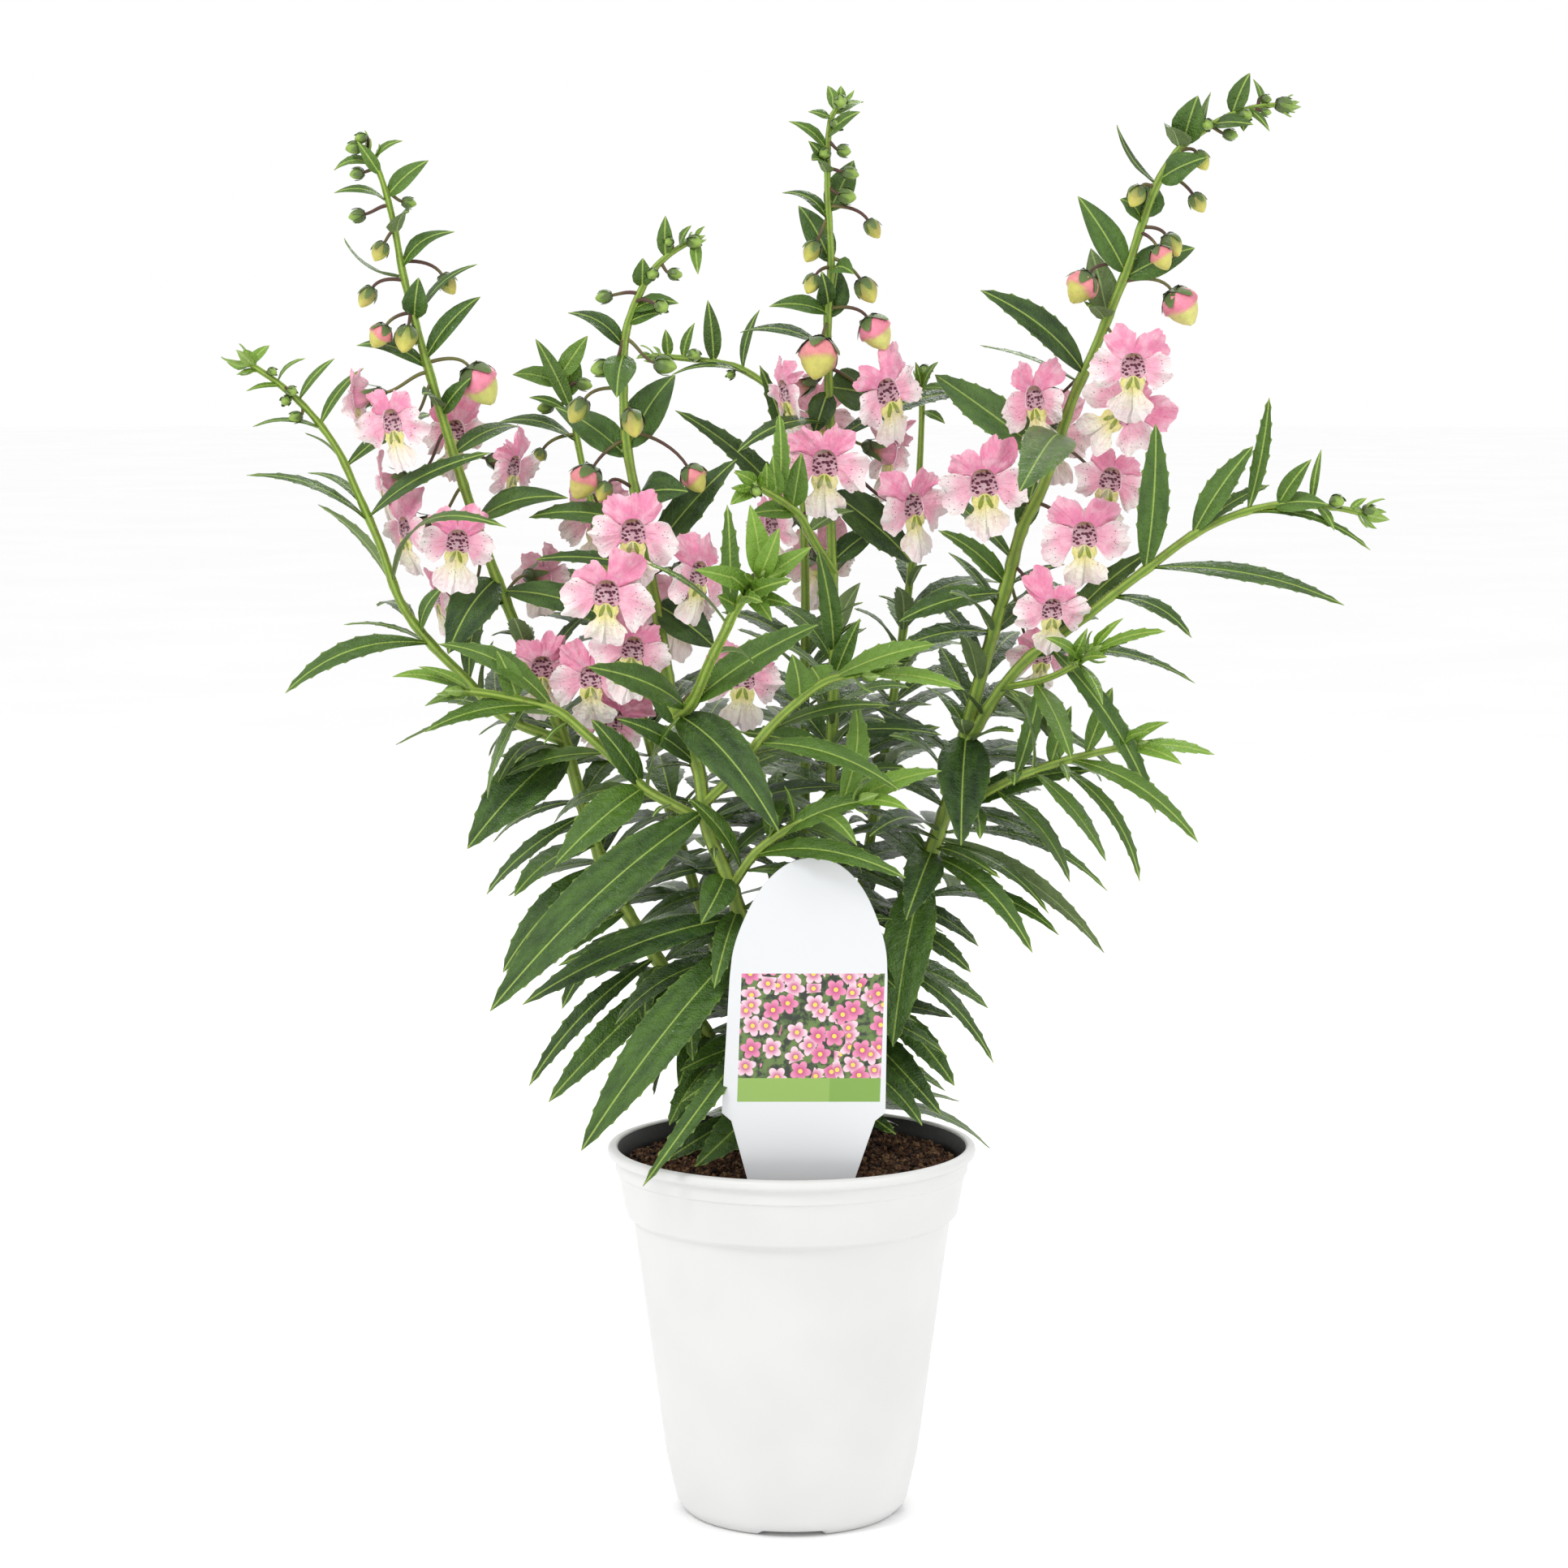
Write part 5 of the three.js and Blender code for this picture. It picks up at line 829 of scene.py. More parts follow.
def leaves_between(shoot, thicket, dice):
    """Pairs of leaves where the plan names none, each pair a quarter turn on from the last."""
    blades = []
    at = 14.0 if shoot.main else 6.0
    turn = dice.uniform(0, 3.14)
    while at < shoot.path.length - 4:
        k = round(at / shoot.pace)
        point, up = shoot.fine[k], shoot.seen[k][1]
        along = (shoot.fine[max(k - 2, 0)] - shoot.fine[min(k + 2, SHOOT_STEPS)]).normalized()
        age = ease(300, 120, up) if shoot.main else 0.25
        at += dice.uniform(*FILL_SPACING)
        turn += 1.57 + dice.uniform(-0.3, 0.3)
        if up > FOLIAGE[-1][0]:
            continue
        sides = square_to(along)
        for half_turn in (0, math.pi):
            for young, more in FILL_LENGTHS:
                side = swing(*sides, turn + half_turn + dice.uniform(-0.5, 0.5))
                reach = (young + more * age) * dice.uniform(0.85, 1.15)
                climb = dice.uniform(0.35, 0.8) - 0.75 * age
                tip = point + (side + along * climb).normalized() * reach
                tip.z -= 0.12 * age * reach
                face = Vector((0, -0.4, 1)) + along * 0.5
                blade = Blade(point + side * 0.8, tip, face, reach * dice.uniform(0.17, 0.25),
                              dice.uniform(0.06, 0.16))
                if thicket.has_room(blade):
                    thicket.add(blade)
                    blades.append((blade, 0.65 * math.exp(-at / 28) + (0.0 if shoot.main else 0.07)))
                    break
        if dice.random() < 0.6:
            side = swing(*sides, turn + 1.57)
            for sign in (1, -1):
                tip = point + (side * sign * 0.6 + along).normalized() * dice.uniform(8, 15)
                blade = Blade(point + side * sign * 0.8, tip, side * -sign + along, 3.4, 0.08)
                if thicket.has_room(blade):
                    thicket.add(blade)
                    blades.append((blade, 0.7))
    return blades


STEMS = grow_plan()

# Making meshes

SHARP_ANGLE = math.radians(75)


class Skin:
    """Points, faces, finishes and painted values of a piece while it is made."""

    def __init__(self):
        self.points = []
        self.faces = []
        self.finishes = []
        self.painted = {}

    def point(self, spot, **painted):
        self.points.append(to_frame(spot))
        for name, value in painted.items():
            self.painted.setdefault(name, []).append(tuple(value))
        return len(self.points) - 1

    def face(self, corners, finish=0):
        self.faces.append(tuple(corners))
        self.finishes.append(finish)

    def sheet(self, upper, lower, lower_finish=0):
        """A closed sheet between two grids of point numbers that share their border."""
        for top, next_top, under, next_under in zip(upper, upper[1:], lower, lower[1:]):
            for i in range(len(top) - 1):
                self.face((top[i], top[i + 1], next_top[i + 1], next_top[i]))
                self.face((under[i], next_under[i], next_under[i + 1], under[i + 1]), lower_finish)

    def rings(self, rings):
        """A closed skin over rings of point numbers, with one face over each end."""
        for a, b in zip(rings, rings[1:]):
            for i in range(len(a)):
                j = (i + 1) % len(a)
                self.face((a[i], a[j], b[j], b[i]))
        self.face(reversed(rings[0]))
        self.face(rings[-1])


def show(name, mesh):
    """A mesh as an object of the scene."""
    piece = bpy.data.objects.new(name, mesh)
    bpy.context.scene.collection.objects.link(piece)
    return piece


def make_piece(name, skin, finishes, smooth=True):
    """The skin as an object of its own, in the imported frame."""
    mesh = bpy.data.meshes.new(name)
    mesh.from_pydata(skin.points, [], skin.faces)
    for finish in finishes:
        mesh.materials.append(finish)
    mesh.polygons.foreach_set("material_index", skin.finishes)
    mesh.polygons.foreach_set("use_smooth", [smooth] * len(skin.faces))
    for label, values in skin.painted.items():
        kind = "FLOAT_COLOR" if len(values[0]) == 4 else "FLOAT_VECTOR"
        layer = mesh.attributes.new(label, kind, "POINT")
        layer.data.foreach_set("color" if kind == "FLOAT_COLOR" else "vector", np.ravel(values))
    mesh.update()
    if smooth:
        mesh.set_sharp_from_angle(angle=SHARP_ANGLE)
    return show(name, mesh)


def seat(piece, slot, *nodes):
    """The piece rides on the plant's body and stands for the solids that it finishes."""
    if not piece.data.polygons:
        raise RuntimeError("%s came out empty" % piece.name)
    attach(piece, "root")
    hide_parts(*nodes)
    return piece


# Geometry Nodes

def join(tree, node, inputs):
    """Sets a node's inputs; each is a value, another node's output, or a node with one in use."""
    for socket, value in inputs.items():
        if isinstance(value, bpy.types.Node):
            value = next(output for output in value.outputs if output.enabled)
        if isinstance(value, bpy.types.NodeSocket):
            tree.links.new(value, node.inputs[socket])
        else:
            node.inputs[socket].default_value = value


def add_node(tree, kind, inputs=None, **settings):
    """A node with its settings and links."""
    node = tree.nodes.new(kind)
    for name, value in settings.items():
        setattr(node, name, value)
    join(tree, node, inputs or {})
    return node


def start_tree(name, sizes):
    """A geometry tree with a named input for each size."""
    tree = bpy.data.node_groups.new(name, "GeometryNodeTree")
    tree.interface.new_socket(name="Geometry", in_out="INPUT", socket_type="NodeSocketGeometry")
    for size, kind in sizes.items():
        tree.interface.new_socket(name=size, in_out="INPUT", socket_type=kind)
    tree.interface.new_socket(name="Geometry", in_out="OUTPUT", socket_type="NodeSocketGeometry")
    return tree, tree.nodes.new("NodeGroupInput")


def end_tree(tree, geometry, given):
    """The tree with its geometry realized, in the given finish and out."""
    real = add_node(tree, "GeometryNodeRealizeInstances", {"Geometry": geometry})
    painted = add_node(tree, "GeometryNodeSetMaterial",
                       {"Geometry": real, "Material": given.outputs["Finish"]})
    add_node(tree, "NodeGroupOutput", {"Geometry": painted})
    return tree


def grow_on(source, tree, values, name):
    """What a tree makes of an object, as a plain mesh of its own; the source is deleted."""
    modifier = source.modifiers.new(tree.name, "NODES")
    modifier.node_group = tree
    for item in tree.interface.items_tree:
        if item.item_type == "SOCKET" and item.in_out == "INPUT" and item.name in values:
            modifier[item.identifier] = values[item.name]
    depsgraph = bpy.context.evaluated_depsgraph_get()
    made = source.evaluated_get(depsgraph)
    mesh = bpy.data.meshes.new_from_object(made, preserve_all_data_layers=True, depsgraph=depsgraph)
    mesh.name = name
    source.modifiers.remove(modifier)
    old = source.data
    bpy.data.objects.remove(source)
    bpy.data.meshes.remove(old)
    return show(name, mesh)


def tube_tree():
    """A ridged tube along each line of a mesh, as thick as its points say."""
    sizes = {"Ridges": "NodeSocketInt", "Groove": "NodeSocketFloat", "Finish": "NodeSocketMaterial"}
    tree, given = start_tree("ridged_tube", sizes)
    thick = add_node(tree, "GeometryNodeInputNamedAttribute", {"Name": "thick"}, data_type="FLOAT")
    line = add_node(tree, "GeometryNodeMeshToCurve", {"Mesh": given.outputs["Geometry"]})
    inner = add_node(tree, "ShaderNodeMath", {0: 1.0, 1: given.outputs["Groove"]}, operation="SUBTRACT")
    star = add_node(tree, "GeometryNodeCurveStar",
                    {"Points": given.outputs["Ridges"], "Inner Radius": inner, "Outer Radius": 1.0})
    number = add_node(tree, "GeometryNodeInputIndex")
    parity = add_node(tree, "ShaderNodeMath", {0: number, 1: 2.0}, operation="MODULO")
    marked = add_node(tree, "GeometryNodeStoreNamedAttribute",
                      {"Geometry": star, "Name": "groove", "Value": parity},
                      data_type="FLOAT", domain="POINT")
    tube = add_node(tree, "GeometryNodeCurveToMesh",
                    {"Curve": line, "Profile Curve": marked, "Scale": thick, "Fill Caps": True})
    return end_tree(tree, tube, given)


def strew(tree, given, shape, size, turn=None):
    """Copies of a shape all over the given surface, which stand off it where no turn is set."""
    spots = add_node(tree, "GeometryNodeDistributePointsOnFaces", {
        "Mesh": given.outputs["Geometry"], "Density": given.outputs["Per Area"],
        "Seed": given.outputs["Seed"],
    }, distribute_method="RANDOM")
    return add_node(tree, "GeometryNodeInstanceOnPoints", {
        "Points": spots, "Instance": shape, "Rotation": turn or spots.outputs["Rotation"],
        "Scale": size,
    })


def hair_tree():
    """Short tapering hairs that stand off a skin."""
    sizes = {
        "Per Area": "NodeSocketFloat", "Length": "NodeSocketFloat", "Thickness": "NodeSocketFloat",
        "Seed": "NodeSocketInt", "Finish": "NodeSocketMaterial",
    }
    tree, given = start_tree("skin_hairs", sizes)
    spike = add_node(tree, "GeometryNodeMeshCone", {
        "Vertices": 3, "Radius Top": 0.0, "Radius Bottom": given.outputs["Thickness"],
        "Depth": given.outputs["Length"],
    }, fill_type="TRIANGLE_FAN")
    size = add_node(tree, "FunctionNodeRandomValue", {2: 0.55, 3: 1.15, "Seed": 3}, data_type="FLOAT")
    hairs = strew(tree, given, spike, size)
    lean = add_node(tree, "FunctionNodeRandomValue",
                    {0: (-0.5, -0.5, 0.0), 1: (0.5, 0.5, 6.28), "Seed": 5}, data_type="FLOAT_VECTOR")
    turned = add_node(tree, "GeometryNodeRotateInstances", {"Instances": hairs, "Rotation": lean})
    return end_tree(tree, turned, given)


def crumb_tree():
    """Rough crumbs strewn over a surface."""
    sizes = {
        "Per Area": "NodeSocketFloat", "Smallest": "NodeSocketVector", "Largest": "NodeSocketVector",
        "Seed": "NodeSocketInt", "Finish": "NodeSocketMaterial",
    }
    tree, given = start_tree("strewn_crumbs", sizes)
    lump = add_node(tree, "GeometryNodeMeshIcoSphere", {"Radius": 1.0, "Subdivisions": 1})
    turn = add_node(tree, "FunctionNodeRandomValue",
                    {0: (0.0, 0.0, 0.0), 1: (6.28, 6.28, 6.28), "Seed": 7}, data_type="FLOAT_VECTOR")
    size = add_node(tree, "FunctionNodeRandomValue", {
        0: given.outputs["Smallest"], 1: given.outputs["Largest"], "Seed": 9,
    }, data_type="FLOAT_VECTOR")
    crumbs = strew(tree, given, lump, size, turn)
    pale = add_node(tree, "FunctionNodeRandomValue", {2: 0.0, 3: 1.0, "Seed": 11}, data_type="FLOAT")
    marked = add_node(tree, "GeometryNodeStoreNamedAttribute",
                      {"Geometry": crumbs, "Name": "chance", "Value": pale},
                      data_type="FLOAT", domain="INSTANCE")
    real = add_node(tree, "GeometryNodeRealizeInstances", {"Geometry": marked})
    rough = add_node(tree, "ShaderNodeTexNoise", {"Scale": 900.0, "Detail": 1.0}, noise_dimensions="3D")
    centred = add_node(tree, "ShaderNodeVectorMath",
                       {0: rough.outputs["Color"], 1: (0.5, 0.5, 0.5)}, operation="SUBTRACT")
    push = add_node(tree, "ShaderNodeVectorMath", {0: centred, "Scale": 1.1 * MM}, operation="SCALE")
    pushed = add_node(tree, "GeometryNodeSetPosition", {"Geometry": real, "Offset": push})
    return end_tree(tree, pushed, given)


def lines_object(lines):
    """Lines of points with their radii, in millimetres, as a wire mesh for the tube tree."""
    points, edges, thick = [], [], []
    for line, radii in lines:
        start = len(points)
        points.extend(to_frame(point) for point in line)
        thick.extend(radius * MM for radius in radii)
        edges.extend((start + k, start + k + 1) for k in range(len(line) - 1))
    mesh = bpy.data.meshes.new("lines")
    mesh.from_pydata(points, edges, [])
    layer = mesh.attributes.new("thick", "FLOAT", "POINT")
    layer.data.foreach_set("value", thick)
    return show("lines", mesh)


# Materials

def start_material(name):
    material = bpy.data.materials.new(name)
    material.use_nodes = True
    tree = material.node_tree
    return material, tree, tree.nodes["Principled BSDF"]


def shade(code):
    """An sRGB hex colour with full cover."""
    return (*linear(code), 1.0)


def clouds(tree, per_mm, low=0.3, high=0.7, detail=2.0):
    """A cloudy pattern from 0 to 1 on Object coordinates, with so many clouds to a millimetre."""
    where = add_node(tree, "ShaderNodeTexCoord")
    spot = add_node(tree, "ShaderNodeVectorMath", {0: where.outputs["Object"], "Scale": per_mm / MM},
                    operation="SCALE")
    noise = add_node(tree, "ShaderNodeTexNoise", {"Vector": spot, "Scale": 1.0, "Detail": detail})
    return add_node(tree, "ShaderNodeMapRange", {"Value": noise, "From Min": low, "From Max": high},
                    interpolation_type="SMOOTHSTEP")


def white_polypropylene(colours):
    """Injection-moulded white polypropylene: satin, faintly uneven, with a soft skin from the mould."""
    material, tree, shader = start_material("polypropylene_white_moulded")
    tone = add_node(tree, "ShaderNodeMix", {
        0: clouds(tree, 0.03), 6: (*colours.pot_white, 1.0), 7: shade("#dadad9"),
    }, data_type="RGBA")
    rough = add_node(tree, "ShaderNodeMapRange",
                     {"Value": clouds(tree, 0.12), "To Min": 0.36, "To Max": 0.46})
    # The skin's pits are 0.3 mm apart, drawn at 0.8 mm so that they show.
    pits = add_node(tree, "ShaderNodeBump",
                    {"Height": clouds(tree, 1.25), "Distance": 0.015 * MM, "Strength": 0.3})
    join(tree, shader, {
        "Base Color": tone, "Roughness": rough, "Normal": pits, "IOR": 1.49,
        "Subsurface Weight": 0.05, "Subsurface Radius": (0.002, 0.002, 0.002),
    })
    return material


def black_polypropylene():
    """The same plastic, black on the inside of the pot: dull, with a dust of peat."""
    material, tree, shader = start_material("polypropylene_black_inside")
    dust = add_node(tree, "ShaderNodeMath", {0: clouds(tree, 0.35, 0.5, 0.75, 4.0), 1: 0.4},
                    operation="MULTIPLY")
    tone = add_node(tree, "ShaderNodeMix", {0: dust, 6: shade("#18181a"), 7: shade("#4b3c31")},
                    data_type="RGBA")
    pits = add_node(tree, "ShaderNodeBump",
                    {"Height": clouds(tree, 1.25), "Distance": 0.03 * MM, "Strength": 0.5})
    join(tree, shader, {"Base Color": tone, "Normal": pits, "Roughness": 0.5, "IOR": 1.49})
    return material


def moist_peat(name, per_crumb):
    """Moist peat: dark brown and matt, with paler fibre here and there."""
    material, tree, shader = start_material(name)
    tone = add_node(tree, "ShaderNodeMix", {
        0: clouds(tree, 0.45, 0.35, 0.7, 5.0), 6: shade("#1a0f0a"), 7: shade("#6e4a34"),
    }, data_type="RGBA")
    if per_crumb:
        own = add_node(tree, "ShaderNodeAttribute", attribute_name="chance")
        pale = add_node(tree, "ShaderNodeMapRange", {
            "Value": own.outputs["Fac"], "From Min": 0.55, "From Max": 1.0, "To Max": 0.75,
        })
        tone = add_node(tree, "ShaderNodeMix", {0: pale, 6: tone, 7: shade("#a5805c")},
                        data_type="RGBA")
    grain = add_node(tree, "ShaderNodeBump", {
        "Height": clouds(tree, 1.6, detail=4.0), "Distance": 0.5 * MM, "Strength": 0.9,
    })
    join(tree, shader, {
        "Base Color": tone, "Normal": grain, "Roughness": 0.92, "Specular IOR Level": 0.25,
    })
    return material


def label_white():
    """Extruded polystyrene sheet: white and smooth, with a soft gloss."""
    material, tree, shader = start_material("polystyrene_label_white")
    tone = add_node(tree, "ShaderNodeMix", {
        0: clouds(tree, 0.05), 6: shade("#dadcde"), 7: shade("#d6d9db"),
    }, data_type="RGBA")
    skin = add_node(tree, "ShaderNodeBump",
                    {"Height": clouds(tree, 0.4), "Distance": 0.02 * MM, "Strength": 0.2})
    join(tree, shader, {"Base Color": tone, "Normal": skin, "Roughness": 0.28, "IOR": 1.59})
    return material


def between(tree, value, low, high):
    """1 where a value lies between two bounds, else 0."""
    above = add_node(tree, "ShaderNodeMath", {0: value, 1: low}, operation="GREATER_THAN")
    below = add_node(tree, "ShaderNodeMath", {0: value, 1: high}, operation="LESS_THAN")
    return add_node(tree, "ShaderNodeMath", {0: above, 1: below}, operation="MULTIPLY")


def rosettes(tree, where, apart, colours):
    """Simple five-petalled rosettes on leafy greens, for the picture on the label."""
    cells = add_node(tree, "ShaderNodeTexVoronoi",
                     {"Vector": where.outputs["Object"], "Scale": 1 / (apart * MM), "Randomness": 0.75})
    away = add_node(tree, "ShaderNodeVectorMath",
                    {0: where.outputs["Object"], 1: cells.outputs["Position"]}, operation="SUBTRACT")
    flat = add_node(tree, "ShaderNodeVectorMath", {0: away, 1: (1.0, 0.0, 1.0)}, operation="MULTIPLY")
    step = add_node(tree, "ShaderNodeSeparateXYZ", {0: flat})
    length = add_node(tree, "ShaderNodeVectorMath", {0: flat}, operation="LENGTH")
    reach = add_node(tree, "ShaderNodeMath", {0: length, 1: apart * MM}, operation="DIVIDE")
    chance = add_node(tree, "ShaderNodeSeparateColor", {0: cells.outputs["Color"]})
    angle = add_node(tree, "ShaderNodeMath", {0: step.outputs["Z"], 1: step.outputs["X"]},
                     operation="ARCTAN2")
    turned = add_node(tree, "ShaderNodeMath", {0: chance.outputs[0], 1: 6.28, 2: angle},
                      operation="MULTIPLY_ADD")
    beat = add_node(tree, "ShaderNodeMath", {0: turned, 1: 2.5}, operation="MULTIPLY")
    wave = add_node(tree, "ShaderNodeMath", {0: beat}, operation="SINE")
    petal = add_node(tree, "ShaderNodeMath", {0: wave}, operation="ABSOLUTE")
    edge = add_node(tree, "ShaderNodeMath", {0: petal, 1: 0.22, 2: 0.33}, operation="MULTIPLY_ADD")
    inside = add_node(tree, "ShaderNodeMath", {0: edge, 1: reach}, operation="SUBTRACT")
    cover = add_node(tree, "ShaderNodeMapRange", {"Value": inside, "From Min": 0.0, "From Max": 0.04})
    eye = add_node(tree, "ShaderNodeMath", {0: reach, 1: 0.11}, operation="LESS_THAN")
    pick = add_node(tree, "ShaderNodeMath", {0: chance.outputs[1], 1: 0.5}, operation="GREATER_THAN")
    share = add_node(tree, "ShaderNodeMapRange", {"Value": reach, "From Min": 0.1, "From Max": 0.4})
    bloom = add_node(tree, "ShaderNodeMix", {0: pick, 6: colours[0], 7: colours[1]}, data_type="RGBA")
    bloom = add_node(tree, "ShaderNodeMix", {0: share, 6: colours[2], 7: bloom}, data_type="RGBA")
    leafy = add_node(tree, "ShaderNodeMix", {
        0: clouds(tree, 0.5, 0.38, 0.62, 3.0), 6: shade("#1f2c1c"), 7: shade("#607a3c"),
    }, data_type="RGBA")
    picture = add_node(tree, "ShaderNodeMix", {0: cover, 6: leafy, 7: bloom}, data_type="RGBA")
    return add_node(tree, "ShaderNodeMix", {0: eye, 6: picture, 7: shade("#e8cf58")},
                    data_type="RGBA")


def label_print():
    """Polystyrene printed in gloss ink: a panel of rosettes over a band in two greens."""
    material, tree, shader = start_material("polystyrene_label_printed")
    where = add_node(tree, "ShaderNodeTexCoord")
    spot = add_node(tree, "ShaderNodeSeparateXYZ", {0: where.outputs["Object"]})
    low_left, top_right, band_foot, split = (
        to_frame(place(across, up, TAG["depth"]))
        for across, up in ((-16.7, 131.5), (27.4, 163.7), (0, 124.2), (11.6, 128))
    )
    # The print leans with the label.
    lift = add_node(tree, "ShaderNodeMath", {0: spot.outputs["Z"], 1: low_left.z}, operation="SUBTRACT")
    lean = add_node(tree, "ShaderNodeMath", {0: lift, 1: TAG["lean"]}, operation="MULTIPLY")
    across = add_node(tree, "ShaderNodeMath", {0: spot.outputs["X"], 1: lean}, operation="SUBTRACT")
    wide = between(tree, across, low_left.x, top_right.x)
    panel = add_node(tree, "ShaderNodeMath",
                     {0: wide, 1: between(tree, spot.outputs["Z"], low_left.z, top_right.z)},
                     operation="MULTIPLY")
    band = add_node(tree, "ShaderNodeMath",
                    {0: wide, 1: between(tree, spot.outputs["Z"], band_foot.z, low_left.z)},
                    operation="MULTIPLY")
    colours = (shade("#e087ab"), shade("#efc9d6"), shade("#b9487c"))
    picture = rosettes(tree, where, 6.2, colours)
    far = add_node(tree, "ShaderNodeMath", {0: across, 1: split.x}, operation="GREATER_THAN")
    greens = add_node(tree, "ShaderNodeMix", {0: far, 6: shade("#8aac50"), 7: shade("#789f40")},
                      data_type="RGBA")
    ink = add_node(tree, "ShaderNodeMix", {0: panel, 6: shade("#dadcde"), 7: picture},
                   data_type="RGBA")
    ink = add_node(tree, "ShaderNodeMix", {0: band, 6: ink, 7: greens}, data_type="RGBA")
    join(tree, shader, {"Base Color": ink, "Roughness": 0.24, "IOR": 1.59})
    return material


def leaf_upper(colours):
    """The upper skin of a fresh leaf: waxy dark green with a pale midrib and sunken side veins."""
    return leaf_skin("leaf_upper_waxy", {
        "dark": (*colours.leaf_dark, 1.0), "light": (*colours.leaf_green, 1.0),
        "young": (*colours.leaf_young, 1.0), "pale": shade("#a9c25c"),
        "smooth": 0.15, "dull": 0.4, "sunk": -0.7, "vein": 0.04, "ior": 1.45,
    })


def leaf_under():
    """The under skin of a leaf: matt grey-green with raised veins."""
    return leaf_skin("leaf_under_matt", {
        "dark": shade("#55683c"), "light": shade("#7b8f5c"), "young": shade("#8aa94f"),
        "pale": shade("#a9c07c"), "smooth": 0.6, "dull": 0.8, "sunk": 0.9, "vein": 0.16, "ior": 1.4,
    })


def leaf_skin(name, look):
    """A leaf's skin in the blade's own measures: millimetres across and along from its foot."""
    material, tree, shader = start_material(name)
    blade = add_node(tree, "ShaderNodeAttribute", attribute_name="blade")
    spot = add_node(tree, "ShaderNodeSeparateXYZ", {0: blade.outputs["Vector"]})
    growth = add_node(tree, "ShaderNodeAttribute", attribute_name="growth")
    own = add_node(tree, "ShaderNodeSeparateXYZ", {0: growth.outputs["Vector"]})
    aside = add_node(tree, "ShaderNodeMath", {0: spot.outputs[0]}, operation="ABSOLUTE")
    # Side veins leave the midrib every 4 mm and run forward at about 40 degrees.
    run = add_node(tree, "ShaderNodeMath", {0: aside, 1: -1.2, 2: spot.outputs[1]},
                   operation="MULTIPLY_ADD")
    beat = add_node(tree, "ShaderNodeMath", {0: run, 1: 2.0}, operation="PINGPONG")
    vein = add_node(tree, "ShaderNodeMapRange", {
        "Value": beat, "From Min": 0.0, "From Max": 0.32, "To Min": 1.0, "To Max": 0.0,
    }, interpolation_type="SMOOTHSTEP")
    rib = add_node(tree, "ShaderNodeMapRange", {
        "Value": aside, "From Min": 0.12, "From Max": 0.34, "To Min": 0.75, "To Max": 0.0,
    }, interpolation_type="SMOOTHSTEP")
    # The margin is a thin pale line where the blade runs out.
    edge = add_node(tree, "ShaderNodeMath", {0: aside, 1: spot.outputs[2]}, operation="DIVIDE")
    margin = add_node(tree, "ShaderNodeMapRange",
                      {"Value": edge, "From Min": 0.95, "From Max": 1.05, "To Max": 0.3})
    # Long streaks, about 3 mm wide, run along the blade.
    long = add_node(tree, "ShaderNodeVectorMath", {0: blade.outputs["Vector"], 1: (0.32, 0.07, 0.0)},
                    operation="MULTIPLY")
    long = add_node(tree, "ShaderNodeTexNoise", {"Vector": long, "Scale": 1.0, "Detail": 4.0})
    long = add_node(tree, "ShaderNodeMapRange",
                    {"Value": long, "From Min": 0.35, "From Max": 0.7, "To Max": 0.6})
    mottle = add_node(tree, "ShaderNodeMath", {0: own.outputs[1], 1: 0.5, 2: long},
                      operation="MULTIPLY_ADD")
    tone = add_node(tree, "ShaderNodeMix", {0: mottle, 6: look["dark"], 7: look["light"]},
                    data_type="RGBA")
    tone = add_node(tree, "ShaderNodeMix", {0: own.outputs[0], 6: tone, 7: look["young"]},
                    data_type="RGBA")
    veined = add_node(tree, "ShaderNodeMath", {0: vein, 1: look["vein"]}, operation="MULTIPLY")
    for share in (veined, rib, margin):
        tone = add_node(tree, "ShaderNodeMix", {0: share, 6: tone, 7: look["pale"]},
                        data_type="RGBA")
    rough = add_node(tree, "ShaderNodeMapRange", {
        "Value": clouds(tree, 0.07, 0.25, 0.75), "To Min": look["smooth"], "To Max": look["dull"],
    })
    # Cells between the finest veins are 0.3 mm, drawn at 0.6 mm so that they show.
    height = add_node(tree, "ShaderNodeMath",
                      {0: vein, 1: look["sunk"], 2: clouds(tree, 1.6, detail=3.0)},
                      operation="MULTIPLY_ADD")
    height = add_node(tree, "ShaderNodeMath", {0: clouds(tree, 0.3), 1: 2.2, 2: height},
                      operation="MULTIPLY_ADD")
    relief = add_node(tree, "ShaderNodeBump", {"Height": height, "Distance": 0.2 * MM, "Strength": 0.8})
    join(tree, shader, {"Base Color": tone, "Roughness": rough, "Normal": relief, "IOR": look["ior"]})
    return material


